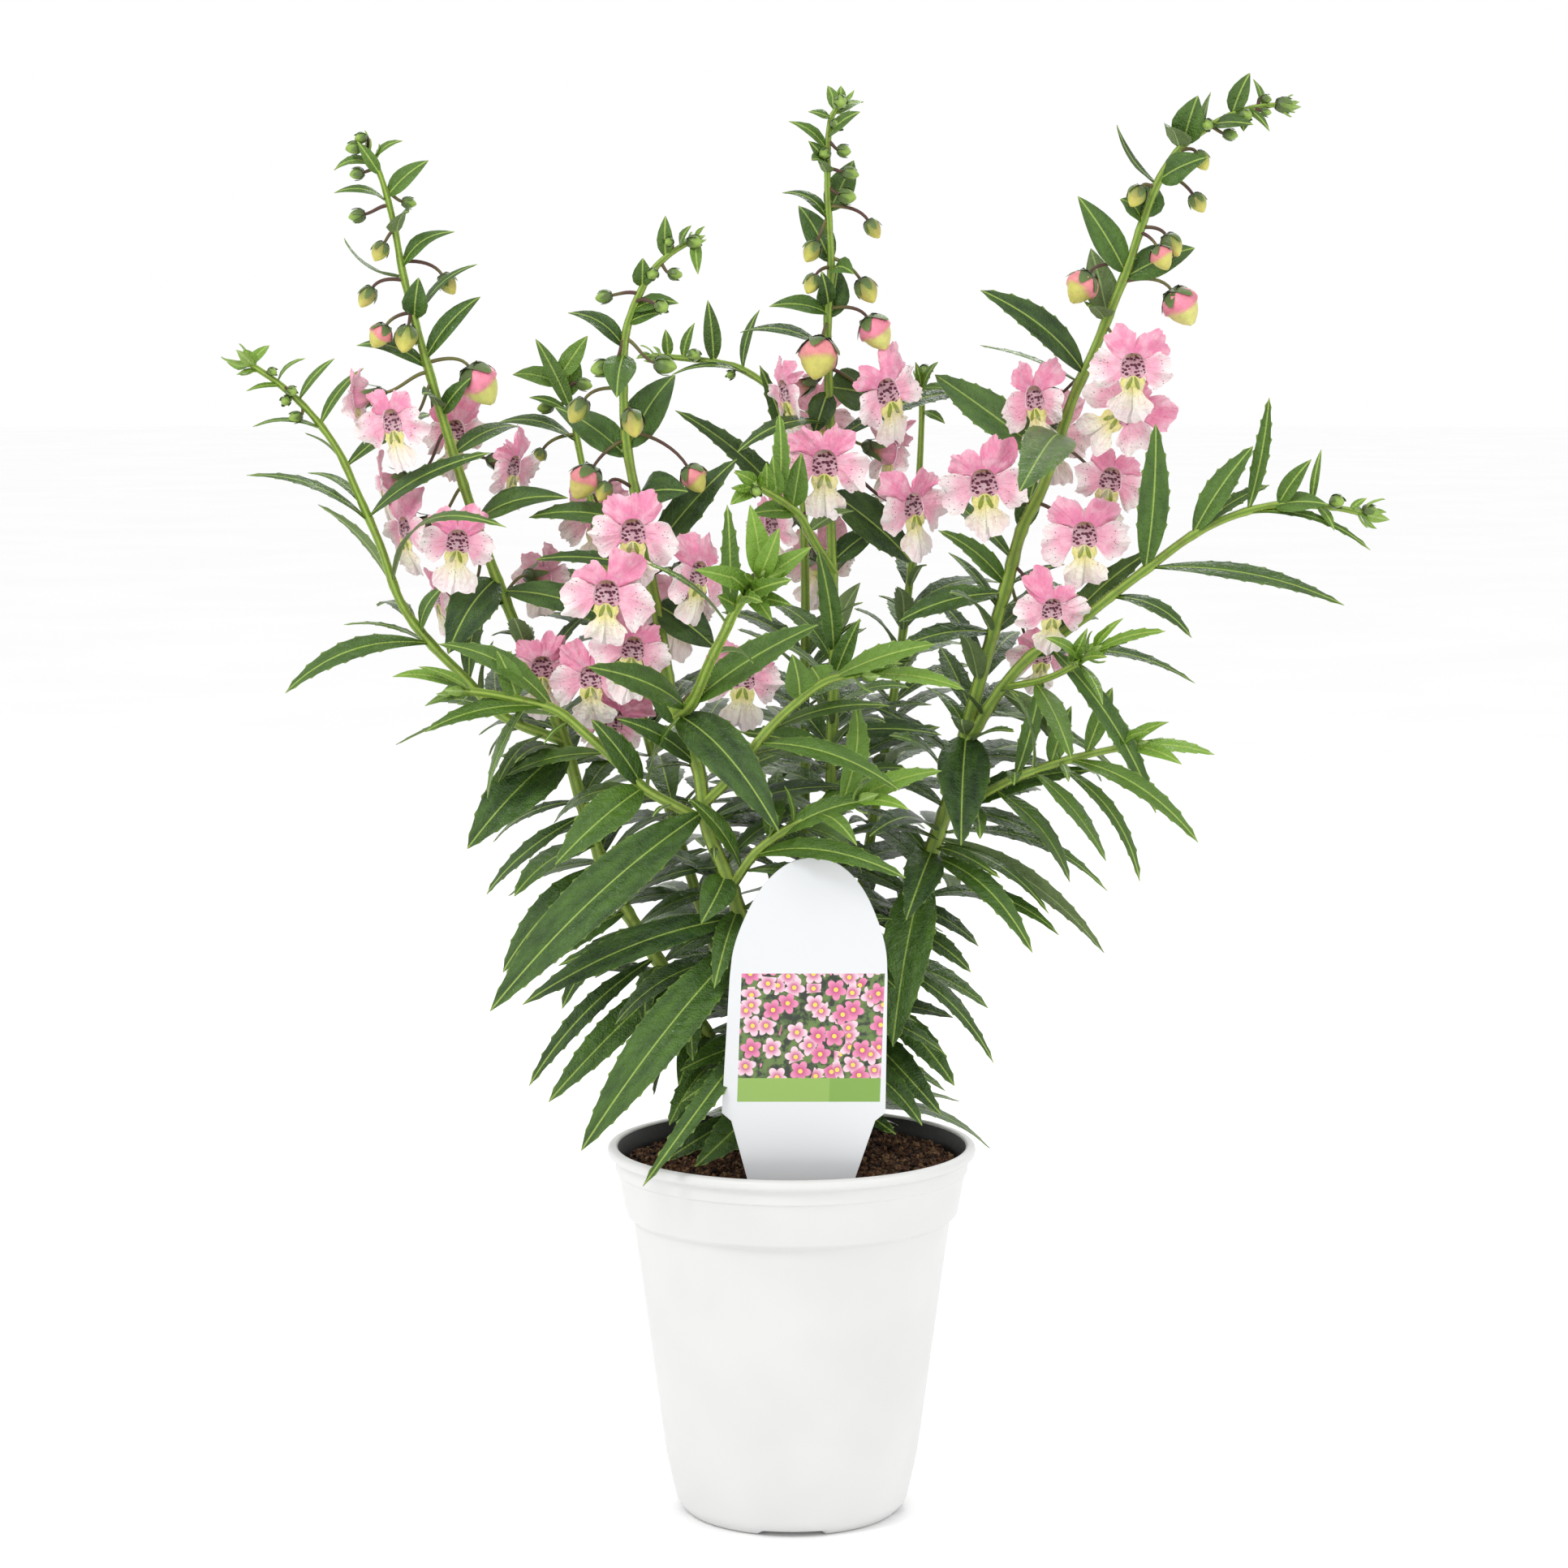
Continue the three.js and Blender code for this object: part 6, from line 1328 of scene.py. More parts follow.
def stem_skin(colours):
    """A fresh stem's skin: satin green with brown marks, paler near the soil, and darker in its grooves
    with painted shade.
    """
    material, tree, shader = start_material("stem_skin_satin")
    groove = add_node(tree, "ShaderNodeAttribute", attribute_name="groove")
    where = add_node(tree, "ShaderNodeTexCoord")
    spot = add_node(tree, "ShaderNodeSeparateXYZ", {0: where.outputs["Object"]})
    height = add_node(tree, "ShaderNodeMapRange",
                      {"Value": spot.outputs["Z"], "From Min": 0.1, "From Max": 0.26})
    ridge = add_node(tree, "ShaderNodeMix",
                     {0: height, 6: shade("#b1c35e"), 7: (*colours.stem_green, 1.0)}, data_type="RGBA")
    # Painted shade: the grooves are given a darker green than the ridges.
    shaded_groove_tone = add_node(tree, "ShaderNodeMix", {0: height, 6: shade("#82973f"), 7: shade("#5a8029")},
                      data_type="RGBA")
    tone = add_node(tree, "ShaderNodeMix", {0: groove.outputs["Fac"], 6: ridge, 7: shaded_groove_tone},
                    data_type="RGBA")
    worn = add_node(tree, "ShaderNodeMath", {0: clouds(tree, 0.3, 0.45, 0.75, 4.0), 1: 0.3},
                    operation="MULTIPLY")
    tone = add_node(tree, "ShaderNodeMix", {0: worn, 6: tone, 7: shade("#6b5a36")}, data_type="RGBA")
    relief = add_node(tree, "ShaderNodeBump", {
        "Height": clouds(tree, 1.4, detail=3.0), "Distance": 0.12 * MM, "Strength": 0.6,
    })
    join(tree, shader, {"Base Color": tone, "Normal": relief, "Roughness": 0.5, "IOR": 1.45})
    return material


def stem_hair():
    """The stems' fine hairs: pale, glassy and a little shiny."""
    material, tree, shader = start_material("stem_hair_glassy")
    tone = add_node(tree, "ShaderNodeMix", {
        0: clouds(tree, 0.2), 6: shade("#c7d6a0"), 7: shade("#e6ebd0"),
    }, data_type="RGBA")
    join(tree, shader, {"Base Color": tone, "Roughness": 0.4})
    return material


def stalk_skin(colours):
    """A flower stalk's skin: brown-purple with a green cast, downy and matt."""
    material, tree, shader = start_material("stalk_skin_downy")
    tone = add_node(tree, "ShaderNodeMix", {
        0: clouds(tree, 0.07, 0.42, 0.66), 6: (*colours.stalk_brown, 1.0), 7: shade("#6a6a35"),
    }, data_type="RGBA")
    relief = add_node(tree, "ShaderNodeBump",
                      {"Height": clouds(tree, 2.0), "Distance": 0.08 * MM, "Strength": 0.6})
    join(tree, shader, {"Base Color": tone, "Normal": relief, "Roughness": 0.62})
    return material


def bud_skin():
    """The skin of buds and sepals: firm and waxy, in the colours painted on its points."""
    material, tree, shader = start_material("bud_skin_waxy")
    tint = add_node(tree, "ShaderNodeAttribute", attribute_name="tint")
    darker = add_node(tree, "ShaderNodeMix", {0: 1.0, 6: tint.outputs["Color"], 7: shade("#c9c9c0")},
                      data_type="RGBA", blend_type="MULTIPLY")
    grain = add_node(tree, "ShaderNodeMath", {0: clouds(tree, 0.5, 0.35, 0.75, 3.0), 1: 0.4},
                     operation="MULTIPLY")
    tone = add_node(tree, "ShaderNodeMix", {0: grain, 6: tint.outputs["Color"], 7: darker},
                    data_type="RGBA")
    relief = add_node(tree, "ShaderNodeBump", {
        "Height": clouds(tree, 1.2, detail=3.0), "Distance": 0.1 * MM, "Strength": 0.6,
    })
    join(tree, shader, {
        "Base Color": tone, "Normal": relief, "Roughness": 0.42, "Sheen Weight": 0.1,
        "Subsurface Weight": 0.08, "Subsurface Radius": (0.001, 0.0006, 0.0004),
    })
    return material


def petal_skin():
    """A petal's skin: soft and velvety, with fine veins that run out from the throat."""
    material, tree, shader = start_material("petal_skin_velvet")
    tint = add_node(tree, "ShaderNodeAttribute", attribute_name="tint")
    # flow holds the turn round the throat in degrees, the reach in millimetres and the spotting.
    flow = add_node(tree, "ShaderNodeAttribute", attribute_name="flow")
    fan = add_node(tree, "ShaderNodeVectorMath", {0: flow.outputs["Vector"], 1: (0.28, 0.12, 0.0)},
                   operation="MULTIPLY")
    streak = add_node(tree, "ShaderNodeTexNoise", {"Vector": fan, "Scale": 1.0, "Detail": 3.0})
    vein = add_node(tree, "ShaderNodeMapRange",
                    {"Value": streak, "From Min": 0.5, "From Max": 0.75, "To Max": 0.6})
    deeper = add_node(tree, "ShaderNodeMix", {0: 1.0, 6: tint.outputs["Color"], 7: shade("#f2c0d2")},
                      data_type="RGBA", blend_type="MULTIPLY")
    tone = add_node(tree, "ShaderNodeMix", {0: vein, 6: tint.outputs["Color"], 7: deeper},
                    data_type="RGBA")
    faded = add_node(tree, "ShaderNodeMath", {0: clouds(tree, 0.28, 0.4, 0.75, 3.0), 1: 0.4},
                     operation="MULTIPLY")
    tone = add_node(tree, "ShaderNodeMix", {0: faded, 6: tone, 7: shade("#f3dfe2")}, data_type="RGBA")
    # Maroon streaks in the throat stand about 1.2 mm apart, wider than they are high.
    own = add_node(tree, "ShaderNodeAttribute", attribute_name="own")
    squeezed = add_node(tree, "ShaderNodeVectorMath", {0: own.outputs["Vector"], 1: (0.75, 1.15, 0.9)},
                        operation="MULTIPLY")
    cells = add_node(tree, "ShaderNodeTexVoronoi", {"Vector": squeezed, "Scale": 1.0})
    spotting = add_node(tree, "ShaderNodeSeparateXYZ", {0: flow.outputs["Vector"]})
    inside = add_node(tree, "ShaderNodeMath", {0: spotting.outputs[2], 1: 0.53}, operation="MULTIPLY")
    inside = add_node(tree, "ShaderNodeMath", {0: inside, 1: cells.outputs["Distance"]},
                      operation="SUBTRACT")
    spots = add_node(tree, "ShaderNodeMapRange", {"Value": inside, "From Max": 0.11})
    tone = add_node(tree, "ShaderNodeMix", {0: spots, 6: tone, 7: shade("#5e1636")}, data_type="RGBA")
    crinkle = add_node(tree, "ShaderNodeMath", {0: clouds(tree, 0.7, detail=3.0), 1: 0.6, 2: streak},
                       operation="MULTIPLY_ADD")
    relief = add_node(tree, "ShaderNodeBump",
                      {"Height": crinkle, "Distance": 0.6 * MM, "Strength": 0.8})
    join(tree, shader, {
        "Base Color": tone, "Normal": relief, "Roughness": 0.58, "Sheen Weight": 0.3,
        "Sheen Roughness": 0.35, "Subsurface Weight": 0.12,
        "Subsurface Radius": (0.0015, 0.0007, 0.0006),
    })
    return material


def sheet_floor():
    """The studio's floor: plain pale painted board, matt."""
    material, tree, shader = start_material("painted_board_pale")
    tone = add_node(tree, "ShaderNodeMix", {
        0: clouds(tree, 0.004), 6: shade("#fefefe"), 7: shade("#fcfcfc"),
    }, data_type="RGBA")
    join(tree, shader, {"Base Color": tone, "Roughness": 0.85, "Specular IOR Level": 0.2})
    return material


# Shapes

# Lengths in millimetres below which a blade is plain, and above which it has teeth and more points
PLAIN_LENGTH = 16
TOOTHED_LENGTH = 24
FINE_LENGTH = 28

# The share of a blade's length at which its teeth start, and the share that they take up
TEETH = (0.22, 0.72)

# A main shoot's leaves this near to its tip and shorter than this are bracts, in millimetres
BRACT_REACH = 130
BRACT_LENGTH = 32


def pot_profile(rounding):
    """The pot's wall from the middle of its underside, over the rim, to the middle of its floor."""
    def inner(radius):
        return radius - WALL

    # Radius, height and rounding of each corner
    corners = [
        (0.01, FLOOR[0], 0), (FOOT_RING[0] - 1, FLOOR[0], 0.5), (FOOT_RING[0], 0, 0.4),
        (FOOT_RING[1] - 0.5, 0, 0.8), (FOOT_RING[1] + 2.9, 3.2, 2.5),
        (WALL_FOOT_RADIUS, WALL_FOOT_HEIGHT, 4), (WALL_TOP_RADIUS, COLLAR_FOOT_HEIGHT - 1.4, 0.6),
        (COLLAR_FOOT_RADIUS, COLLAR_FOOT_HEIGHT, 0.8), (COLLAR_TOP_RADIUS, POT_HEIGHT - 8.2, 0.3),
        (COLLAR_TOP_RADIUS + 0.7, POT_HEIGHT - 7.8, 0.3),
        (COLLAR_TOP_RADIUS + 0.9, POT_HEIGHT - 3.5, 0.5), (RIM_RADIUS, POT_HEIGHT - 3, rounding),
        (RIM_RADIUS, POT_HEIGHT - 0.3, rounding + 0.5),
        (RIM_RADIUS - 2.8, POT_HEIGHT, 0.8), (inner(COLLAR_TOP_RADIUS), POT_HEIGHT - 5, 0.8),
        (inner(COLLAR_FOOT_RADIUS), COLLAR_FOOT_HEIGHT + 1, 0.8),
        (inner(WALL_TOP_RADIUS), COLLAR_FOOT_HEIGHT - 2, 0.6),
        (inner(WALL_FOOT_RADIUS), WALL_FOOT_HEIGHT, 4), (FOOT_RING[1] + 1, FLOOR[1], 1.5),
        (0.01, FLOOR[1], 0),
    ]
    line = []
    for k, (radius, height, bend) in enumerate(corners):
        here = Vector((radius, height))
        if bend == 0:
            line.append(here)
            continue
        before = Vector(corners[k - 1][:2]) - here
        after = Vector(corners[k + 1][:2]) - here
        cut = min(bend, 0.45 * before.length, 0.45 * after.length)
        start = here + before.normalized() * cut
        end = here + after.normalized() * cut
        for step in range(4):
            t = step / 3
            line.append(start * (1 - t) ** 2 + here * 2 * t * (1 - t) + end * t * t)
    return line


def lathe_pot(sizes):
    """The pot's skin, turned round its axis, with the notches in its foot ring."""
    skin = Skin()
    profile = pot_profile(sizes.rim_rounding / MM)
    rim = max(range(len(profile)), key=lambda k: (profile[k].y, profile[k].x))
    half = math.asin(FOOT_NOTCH["width"] / 2 / (sum(FOOT_RING) / 2))
    step = 2 * math.pi / FOOT_NOTCH["count"]
    columns = []
    for angle in turns(sizes.pot_sides):
        off = abs((angle + math.pi / 2 + step / 2) % step - step / 2)
        low = FOOT_NOTCH["height"] * (1 - ease(half - 0.03, half + 0.04, off))
        column = []
        for radius, height in profile:
            lifted = max(height, low) if radius < FOOT_RING[1] + 2 else height
            column.append(skin.point((*around(radius, angle), lifted)))
        columns.append(column)
    for a, b in zip(columns, [*columns[1:], columns[0]]):
        for k in range(len(profile) - 1):
            skin.face((a[k], b[k], b[k + 1], a[k + 1]), 0 if k <= rim + 2 else 1)
    skin.face([column[0] for column in reversed(columns)])
    skin.face([column[-1] for column in columns], 1)
    return skin


def peat_top(sizes):
    """The peat: its uneven top, and below it a skin that follows the inside of the pot."""
    skin = Skin()
    dice = random.Random(41)
    waves = [(dice.uniform(0.08, 0.4), dice.uniform(0, 6.28), dice.uniform(0, 6.28)) for _ in range(9)]

    def bump(x, y):
        total = 0.0
        for rate, turn, phase in waves:
            total += math.sin(rate * (x * math.cos(turn) + y * math.sin(turn)) + phase)
        return total * sizes.peat_relief / MM / len(waves)

    inset = WALL + SOIL_GAP
    rings = [[skin.point((*around(radius, a), height)) for a in turns(72)] for radius, height in (
        (FOOT_RING[1] - 0.6, FLOOR[1] + FIT_GAP), (WALL_FOOT_RADIUS - inset, WALL_FOOT_HEIGHT),
        (WALL_TOP_RADIUS - inset, COLLAR_FOOT_HEIGHT - 2),
        (COLLAR_FOOT_RADIUS - inset, COLLAR_FOOT_HEIGHT + 1.5),
    )]
    for radius in (50.3, 49.2, *range(47, 2, -3), 2.5):
        level = PEAT_HEIGHT - (1.2 if radius > 50 else 0)
        ring = []
        for a in turns(72):
            x, y = around(radius, a)
            ring.append(skin.point((x, y, level + bump(x, y) + dice.uniform(-0.35, 0.35))))
        rings.append(ring)
    skin.rings(rings)
    return skin


def smooth_outline(knots, steps):
    """A smooth line through flat knots."""
    path = Path([Vector((*knot, 0)) for knot in knots])
    return [(point.x, point.y) for point in path.spaced(steps)]


def label_plate(sizes):
    """The label stake: a plate with a round head, shoulders and a pointed foot."""
    arch = smooth_outline(TAG_EDGE[:7], 26)
    edge = arch + [(x, z) for x, z in TAG_EDGE[7:]]

    def lean(z):
        return TAG["middle"] + (z - SOIL_HEIGHT) * TAG["lean"]

    outline = [(lean(z) + x, z) for x, z in edge]
    outline += [(lean(z) - x, z) for x, z in reversed(edge[1:-1])]
    middle = Vector((lean(140), 140))
    skin = Skin()
    rings = []
    soft = sizes.label_rounding / MM
    for depth, inset in ((-0.5, soft), (-0.5 + soft / TAG["thick"], 0), (0.5 - soft / TAG["thick"], 0),
                         (0.5, soft)):
        ring = []
        for x, z in outline:
            away = Vector((x, z)) - middle
            spot = middle + away * (1 - inset / away.length)
            ring.append(skin.point((spot.x, TAG["depth"] + depth * TAG["thick"], spot.y)))
        rings.append(ring)
    skin.rings(rings)
    # The last face but one closes the front, which has the print.
    skin.finishes[-2] = 1
    return skin


def shoot_lines(stem):
    """Each shoot's centre line, thicker at its joints, down into the peat for the main one."""
    lines = []
    for shoot in stem["shoots"]:
        count = max(8, round(shoot.path.length / 2.2))
        line = shoot.path.spaced(count)
        radii = []
        for k in range(count + 1):
            share = k / count
            at = share * shoot.path.length
            near = min([abs(at - used * shoot.pace) for used in shoot.taken] or [99])
            swell = 1 + 0.16 * math.exp(-(near / 1.5) ** 2)
            radii.append(shoot.radius_at(share) * swell)
        radii[0] *= 0.5
        if shoot.main:
            line.append(Vector((line[-1].x, line[-1].y, STEM_FOOT_HEIGHT)))
            radii.append(radii[-1])
        lines.append((line, radii))
    return lines


def leaf_reach(share, oval):
    """Half the blade's width at a share of its length, as a share of its widest."""
    widest, blunt = (0.72, 0.85) if oval else (0.84, 0.78)
    return math.sin(math.pi * share ** widest) ** blunt


def leaf_stations(length, toothed, sizes):
    """Shares of the length where the blade has a row of points, and how far a tooth stands out."""
    if length < PLAIN_LENGTH:
        return [(s, 0.0) for s in (0, 0.08, 0.22, 0.42, 0.62, 0.82, 0.94, 1)]
    if not toothed:
        return [(s, 0.0) for s in (0, 0.05, 0.12, 0.22, 0.34, 0.46, 0.58, 0.7, 0.81, 0.9, 0.96, 1)]
    rows = [(s, 0.0) for s in (0, 0.04, 0.1, 0.17)]
    first, span = TEETH
    count = max(5, round(span * length * MM / sizes.tooth_pitch))
    step = span / count
    reach = sizes.tooth_reach / MM
    for k in range(count):
        share = first + step * k
        rows.append((share, 0.0))
        if length > FINE_LENGTH:
            rows.append((share + 0.55 * step, 0.0))
        rows.append((share + 0.88 * step, reach * math.sin(math.pi * share) ** 0.4))
    rows.extend([(0.965, 0.0), (1, 0.0)])
    return rows


def grow_leaf(skin, blade, youth, bract, sizes, dice):
    """A leaf's blade: folded along its midrib, toothed on its margins and thin."""
    toothed = blade.length > TOOTHED_LENGTH and not bract
    half = blade.width / 2 * (1.25 if bract else 1.08)
    oval = half / blade.length > 0.14
    fold = dice.uniform(0.12, 0.34)
    twist = dice.uniform(-0.3, 0.3)
    bow = dice.uniform(-0.03, 0.03) * blade.length
    wave = dice.uniform(0.1, 0.45)
    phase = dice.uniform(0, 6.28)
    chance = dice.random()
    thick = sizes.leaf_thickness / MM
    # A blade that would be seen edge-on leans its face towards the front.
    seen = Vector((0, -1, 0.15))
    lean = (0.55 if bract else 0.25) * (1 - abs(blade.face.dot(seen)))
    lean = -lean if blade.side.dot(seen) > 0 else lean
    columns = (-1, -0.55, 0, 0.55, 1) if half < 3.2 else (-1, -0.6, -0.14, 0, 0.14, 0.6, 1)
    upper, lower = [], []
    for share, tooth in leaf_stations(blade.length, toothed, sizes):
        wide = leaf_reach(share, oval) * half
        wide = max(wide, min(0.45 if share < 0.5 else 0.08, half))
        slope = blade.arch * 4 * (1 - 2 * share)
        normal = (blade.face - blade.along * slope).normalized()
        turn = twist * (share - 0.25) + lean * ease(0, 0.4, share)
        side = blade.side * math.cos(turn) + normal * math.sin(turn)
        rise = normal * math.cos(turn) - blade.side * math.sin(turn)
        middle = blade.at(share) + blade.side * bow * 4 * share * (1 - share)
        top, under = [], []
        for column in columns:
            across = column * (wide + (tooth if abs(column) == 1 else 0))
            lift = fold * abs(across) * (1 - 0.35 * abs(across) / max(half, 0.1)) - fold * wide * 0.3
            ripple = math.sin(9 * share + phase + (2 if column > 0 else 0))
            lift += wave * ripple * column ** 2 * wide / 6
            centre = middle + side * across + rise * lift
            body = thick * (1 - abs(column)) ** 0.5
            ribbed = column == 0 and half > 1.5
            painted = {"blade": (across, share * blade.length, max(wide, 0.3)),
                       "growth": (youth, chance, share)}
            if abs(column) == 1:
                number = skin.point(centre, **painted)
                top.append(number)
                under.append(number)
                continue
            groove = 0.12 if ribbed else 0.0
            keel = 0.3 * (1 - share) if ribbed else 0.0
            top.append(skin.point(centre + rise * (body / 2 - groove), **painted))
            under.append(skin.point(centre - rise * (body / 2 + keel), **painted))
        upper.append(top)
        lower.append(under)
    for row in (0, len(upper) - 1):
        lower[row] = upper[row]
    skin.sheet(upper, lower, 1)


def leaf_youth(leaf):
    """1 for a leaf that has just opened at a shoot's end, down to 0 for an old one."""
    shoot = leaf["shoot"]
    near = math.exp(-leaf["joint"]["from_tip"] / 16)
    return min(1.0, near * (0.5 if shoot.main else 0.9) + (0.0 if shoot.main else 0.03))


def tip_tuft(shoot, dice):
    """The smallest leaves, folded round a shoot's growing point."""
    along = (shoot.fine[0] - shoot.fine[6]).normalized()
    sides = square_to(along)
    leaves = []
    for k in range(6):
        out = swing(*sides, k * 2.4 + dice.uniform(-0.3, 0.3))
        reach = dice.uniform(4.0, 7.0) * (0.8 if shoot.main else 1.25)
        start = shoot.path.at(0) - along * k * 0.7
        tip = start + swing(along, out, 0.45 + 0.1 * k) * reach
        leaves.append(Blade(start, tip, along, reach * 0.42, -0.12))
    return leaves


def sepal(skin, middles, side, out, width):
    """One pointed sepal along a line of middles, which widens to the side and is folded outwards."""
    upper, lower = [], []
    last = len(middles) - 1
    for k, middle in enumerate(middles):
        share = k / last
        wide = width / 2 * (1 - share ** 2) + 0.05
        top, under = [], []
        for column in (-1, 0, 1):
            spot = middle + side * wide * column - out * (0.0 if column == 0 else 0.22 * wide)
            tint = (*blend_colours(*SEPAL_GREENS, share), 1.0)
            number = skin.point(spot, tint=tint)
            top.append(number)
            if column == 0 and 0 < k < last:
                number = skin.point(spot - out * 0.3, tint=tint)
            under.append(number)
        upper.append(top)
        lower.append(under)
    skin.sheet(upper, lower)


SEPAL_GREENS = (linear("#3f4a26"), linear("#64803a"))
BUD_RUST = linear("#b5626a")
BUD_COLOURS = {
    0: (linear("#5f7a33"), linear("#8fae48")),
    1: (linear("#7d8f3c"), linear("#d3cf5e")),
    2: (linear("#e58b90"), linear("#cfc965")),
    3: (linear("#ee8aa2"), linear("#dfe27e")),
}


def grow_bud(skin, bud, dice):
    """A closed bud hanging from its stalk in its calyx. Returns its stalk's line."""
    joint, centre, size, stage = bud["joint"], bud["centre"], bud["size"], bud["stage"]
    away = centre - joint["point"]
    out = Vector((away.x, away.y, 0))
    out = out.normalized() if out.length > 1e-6 else Vector((0, -1, 0))
    along = (out + Vector((0, 0, -1.6 if stage > 0 else -0.2))).normalized()
    length = size * (1.15 if stage > 1 else 1.3)
    top = centre - along * length / 2
    sides = square_to(along)
    phase = dice.uniform(0, 6.28)
    near, far = BUD_COLOURS[stage]
    blush = dice.uniform(0, 0.5)

    def cap_at(turn):
        """Where the folded petals' edge lies, as a share of the bud's length."""
        return 0.58 + 0.07 * math.sin(2 * turn + phase)

    def bud_radius(share, turn):
        lobes = 1 + 0.06 * math.cos(5 * turn + phase) + 0.05 * math.cos(2 * turn + phase)
        fold = 1.0
        if stage > 1:
            fold = 1.06 - 0.16 * ease(cap_at(turn) - 0.02, cap_at(turn) + 0.03, share)
        power = 0.9 if stage > 1 else 0.8
        return 0.48 * size * math.sin(math.pi * min(share, 0.985) ** power) ** 0.62 * lobes * fold + 0.1

    rings = []
    for share in (0.02, 0.1, 0.22, 0.36, 0.48, 0.56, 0.62, 0.68, 0.78, 0.88, 0.96, 1.0):
        ring = []
        for turn in turns(14):
            side = swing(*sides, turn)
            seam = (cap_at(turn) - 0.04, cap_at(turn) + 0.05) if stage > 1 else (0.3, 1)
            mixed_in = ease(*seam, share)
            tint = blend_colours(near, far, mixed_in)
            rusty = 0.3 * blush * (1 + math.sin(3 * turn + 2 * phase)) * (0 if stage == 0 else 1)
            tint = blend_colours(tint, BUD_RUST, rusty)
            spot = top + along * length * share + side * bud_radius(share, turn)
            ring.append(skin.point(spot, tint=(*tint, 1.0)))
        rings.append(ring)
    skin.rings(rings)
    cover = (0.8, 0.62, 0.5, 0.42)[stage]
    for k in range(5):
        turn = phase + k * 2 * math.pi / 5
        side = swing(*sides, turn)
        middles = []
        for share in (0.01, 0.12, 0.3, 0.6, 0.85, 1):
            reach = bud_radius(share * cover, turn) + 0.25 + 0.5 * share ** 3
            middles.append(top + along * length * cover * share + side * reach)
        sepal(skin, middles, along.cross(side), side, size * 0.52)
    return stalk_line(joint["point"], top + along * length * 0.05, along, 9)


def grow_calyx(skin, bloom):
    """The cup and five sepals behind an open flower. Returns its stalk's line."""
    facing, width = bloom["facing"], bloom["width"]
    scale = width / BLOOM_WIDTH
    forward = facing["forward"]
    cup = bloom["centre"] - forward * (scale * THROAT_LENGTH + FIT_GAP)
    back = cup - forward * 2.2
    rings = []
    for lift, reach in ((-0.6, 0.5), (0.3, 1.3), (1.4, 2.1), (2.2, 2.3)):
        ring = []
        for turn in turns(10):
            side = swing(facing["right"], facing["up"], turn)
            tint = (*blend_colours(*SEPAL_GREENS, lift / 4), 1.0)
            ring.append(skin.point(back + forward * lift + side * reach, tint=tint))
        rings.append(ring)
    skin.rings(rings)
    for k in range(5):
        turn = math.pi / 2 + k * 2 * math.pi / 5
        side = swing(facing["right"], facing["up"], turn)
        middles = [back + forward * (1.2 + 5.2 * share) + side * (2.2 + 1.4 * share + share ** 3)
                   for share in (0, 0.3, 0.6, 0.85, 1)]
        sepal(skin, middles, forward.cross(side), side, 2.5)
    return stalk_line(bloom["joint"]["point"], back, forward, 12)


def lobe_height(kind, out):
    """How far forward a petal stands at a share of its reach, before it ruffles."""
    if kind == "upper":
        return 0.5 + 1.3 * out - 3.2 * out * out
    if kind == "side":
        return 0.5 + 2.2 * out - 2.6 * out * out
    return 0.4 + 4.6 * out * math.exp(-1.9 * out) - 1.2 * out * out


def lobe_tint(kind, reach, share, colours, beat):
    """Pink near the throat and paler at the ruffled edge; the lip is cream with a yellow neck."""
    if kind == "upper":
        tone = blend_colours(colours["upper"], colours["upper_pale"], ease(0.5, 1.0, share) * beat)
        return blend_colours(tone, colours["deep"], 0.5 * (1 - ease(0.0, 0.5, share)))
    if kind == "side":
        tone = blend_colours(colours["side"], colours["white"], ease(0.25 + 0.25 * beat, 0.85, share))
        return blend_colours(colours["blush"], tone, ease(0.0, 0.25, share))
    tone = blend_colours(colours["yellow"], colours["cream"], ease(6.5, 11.0, reach))
    return blend_colours(tone, colours["white"], ease(11, 15, reach))


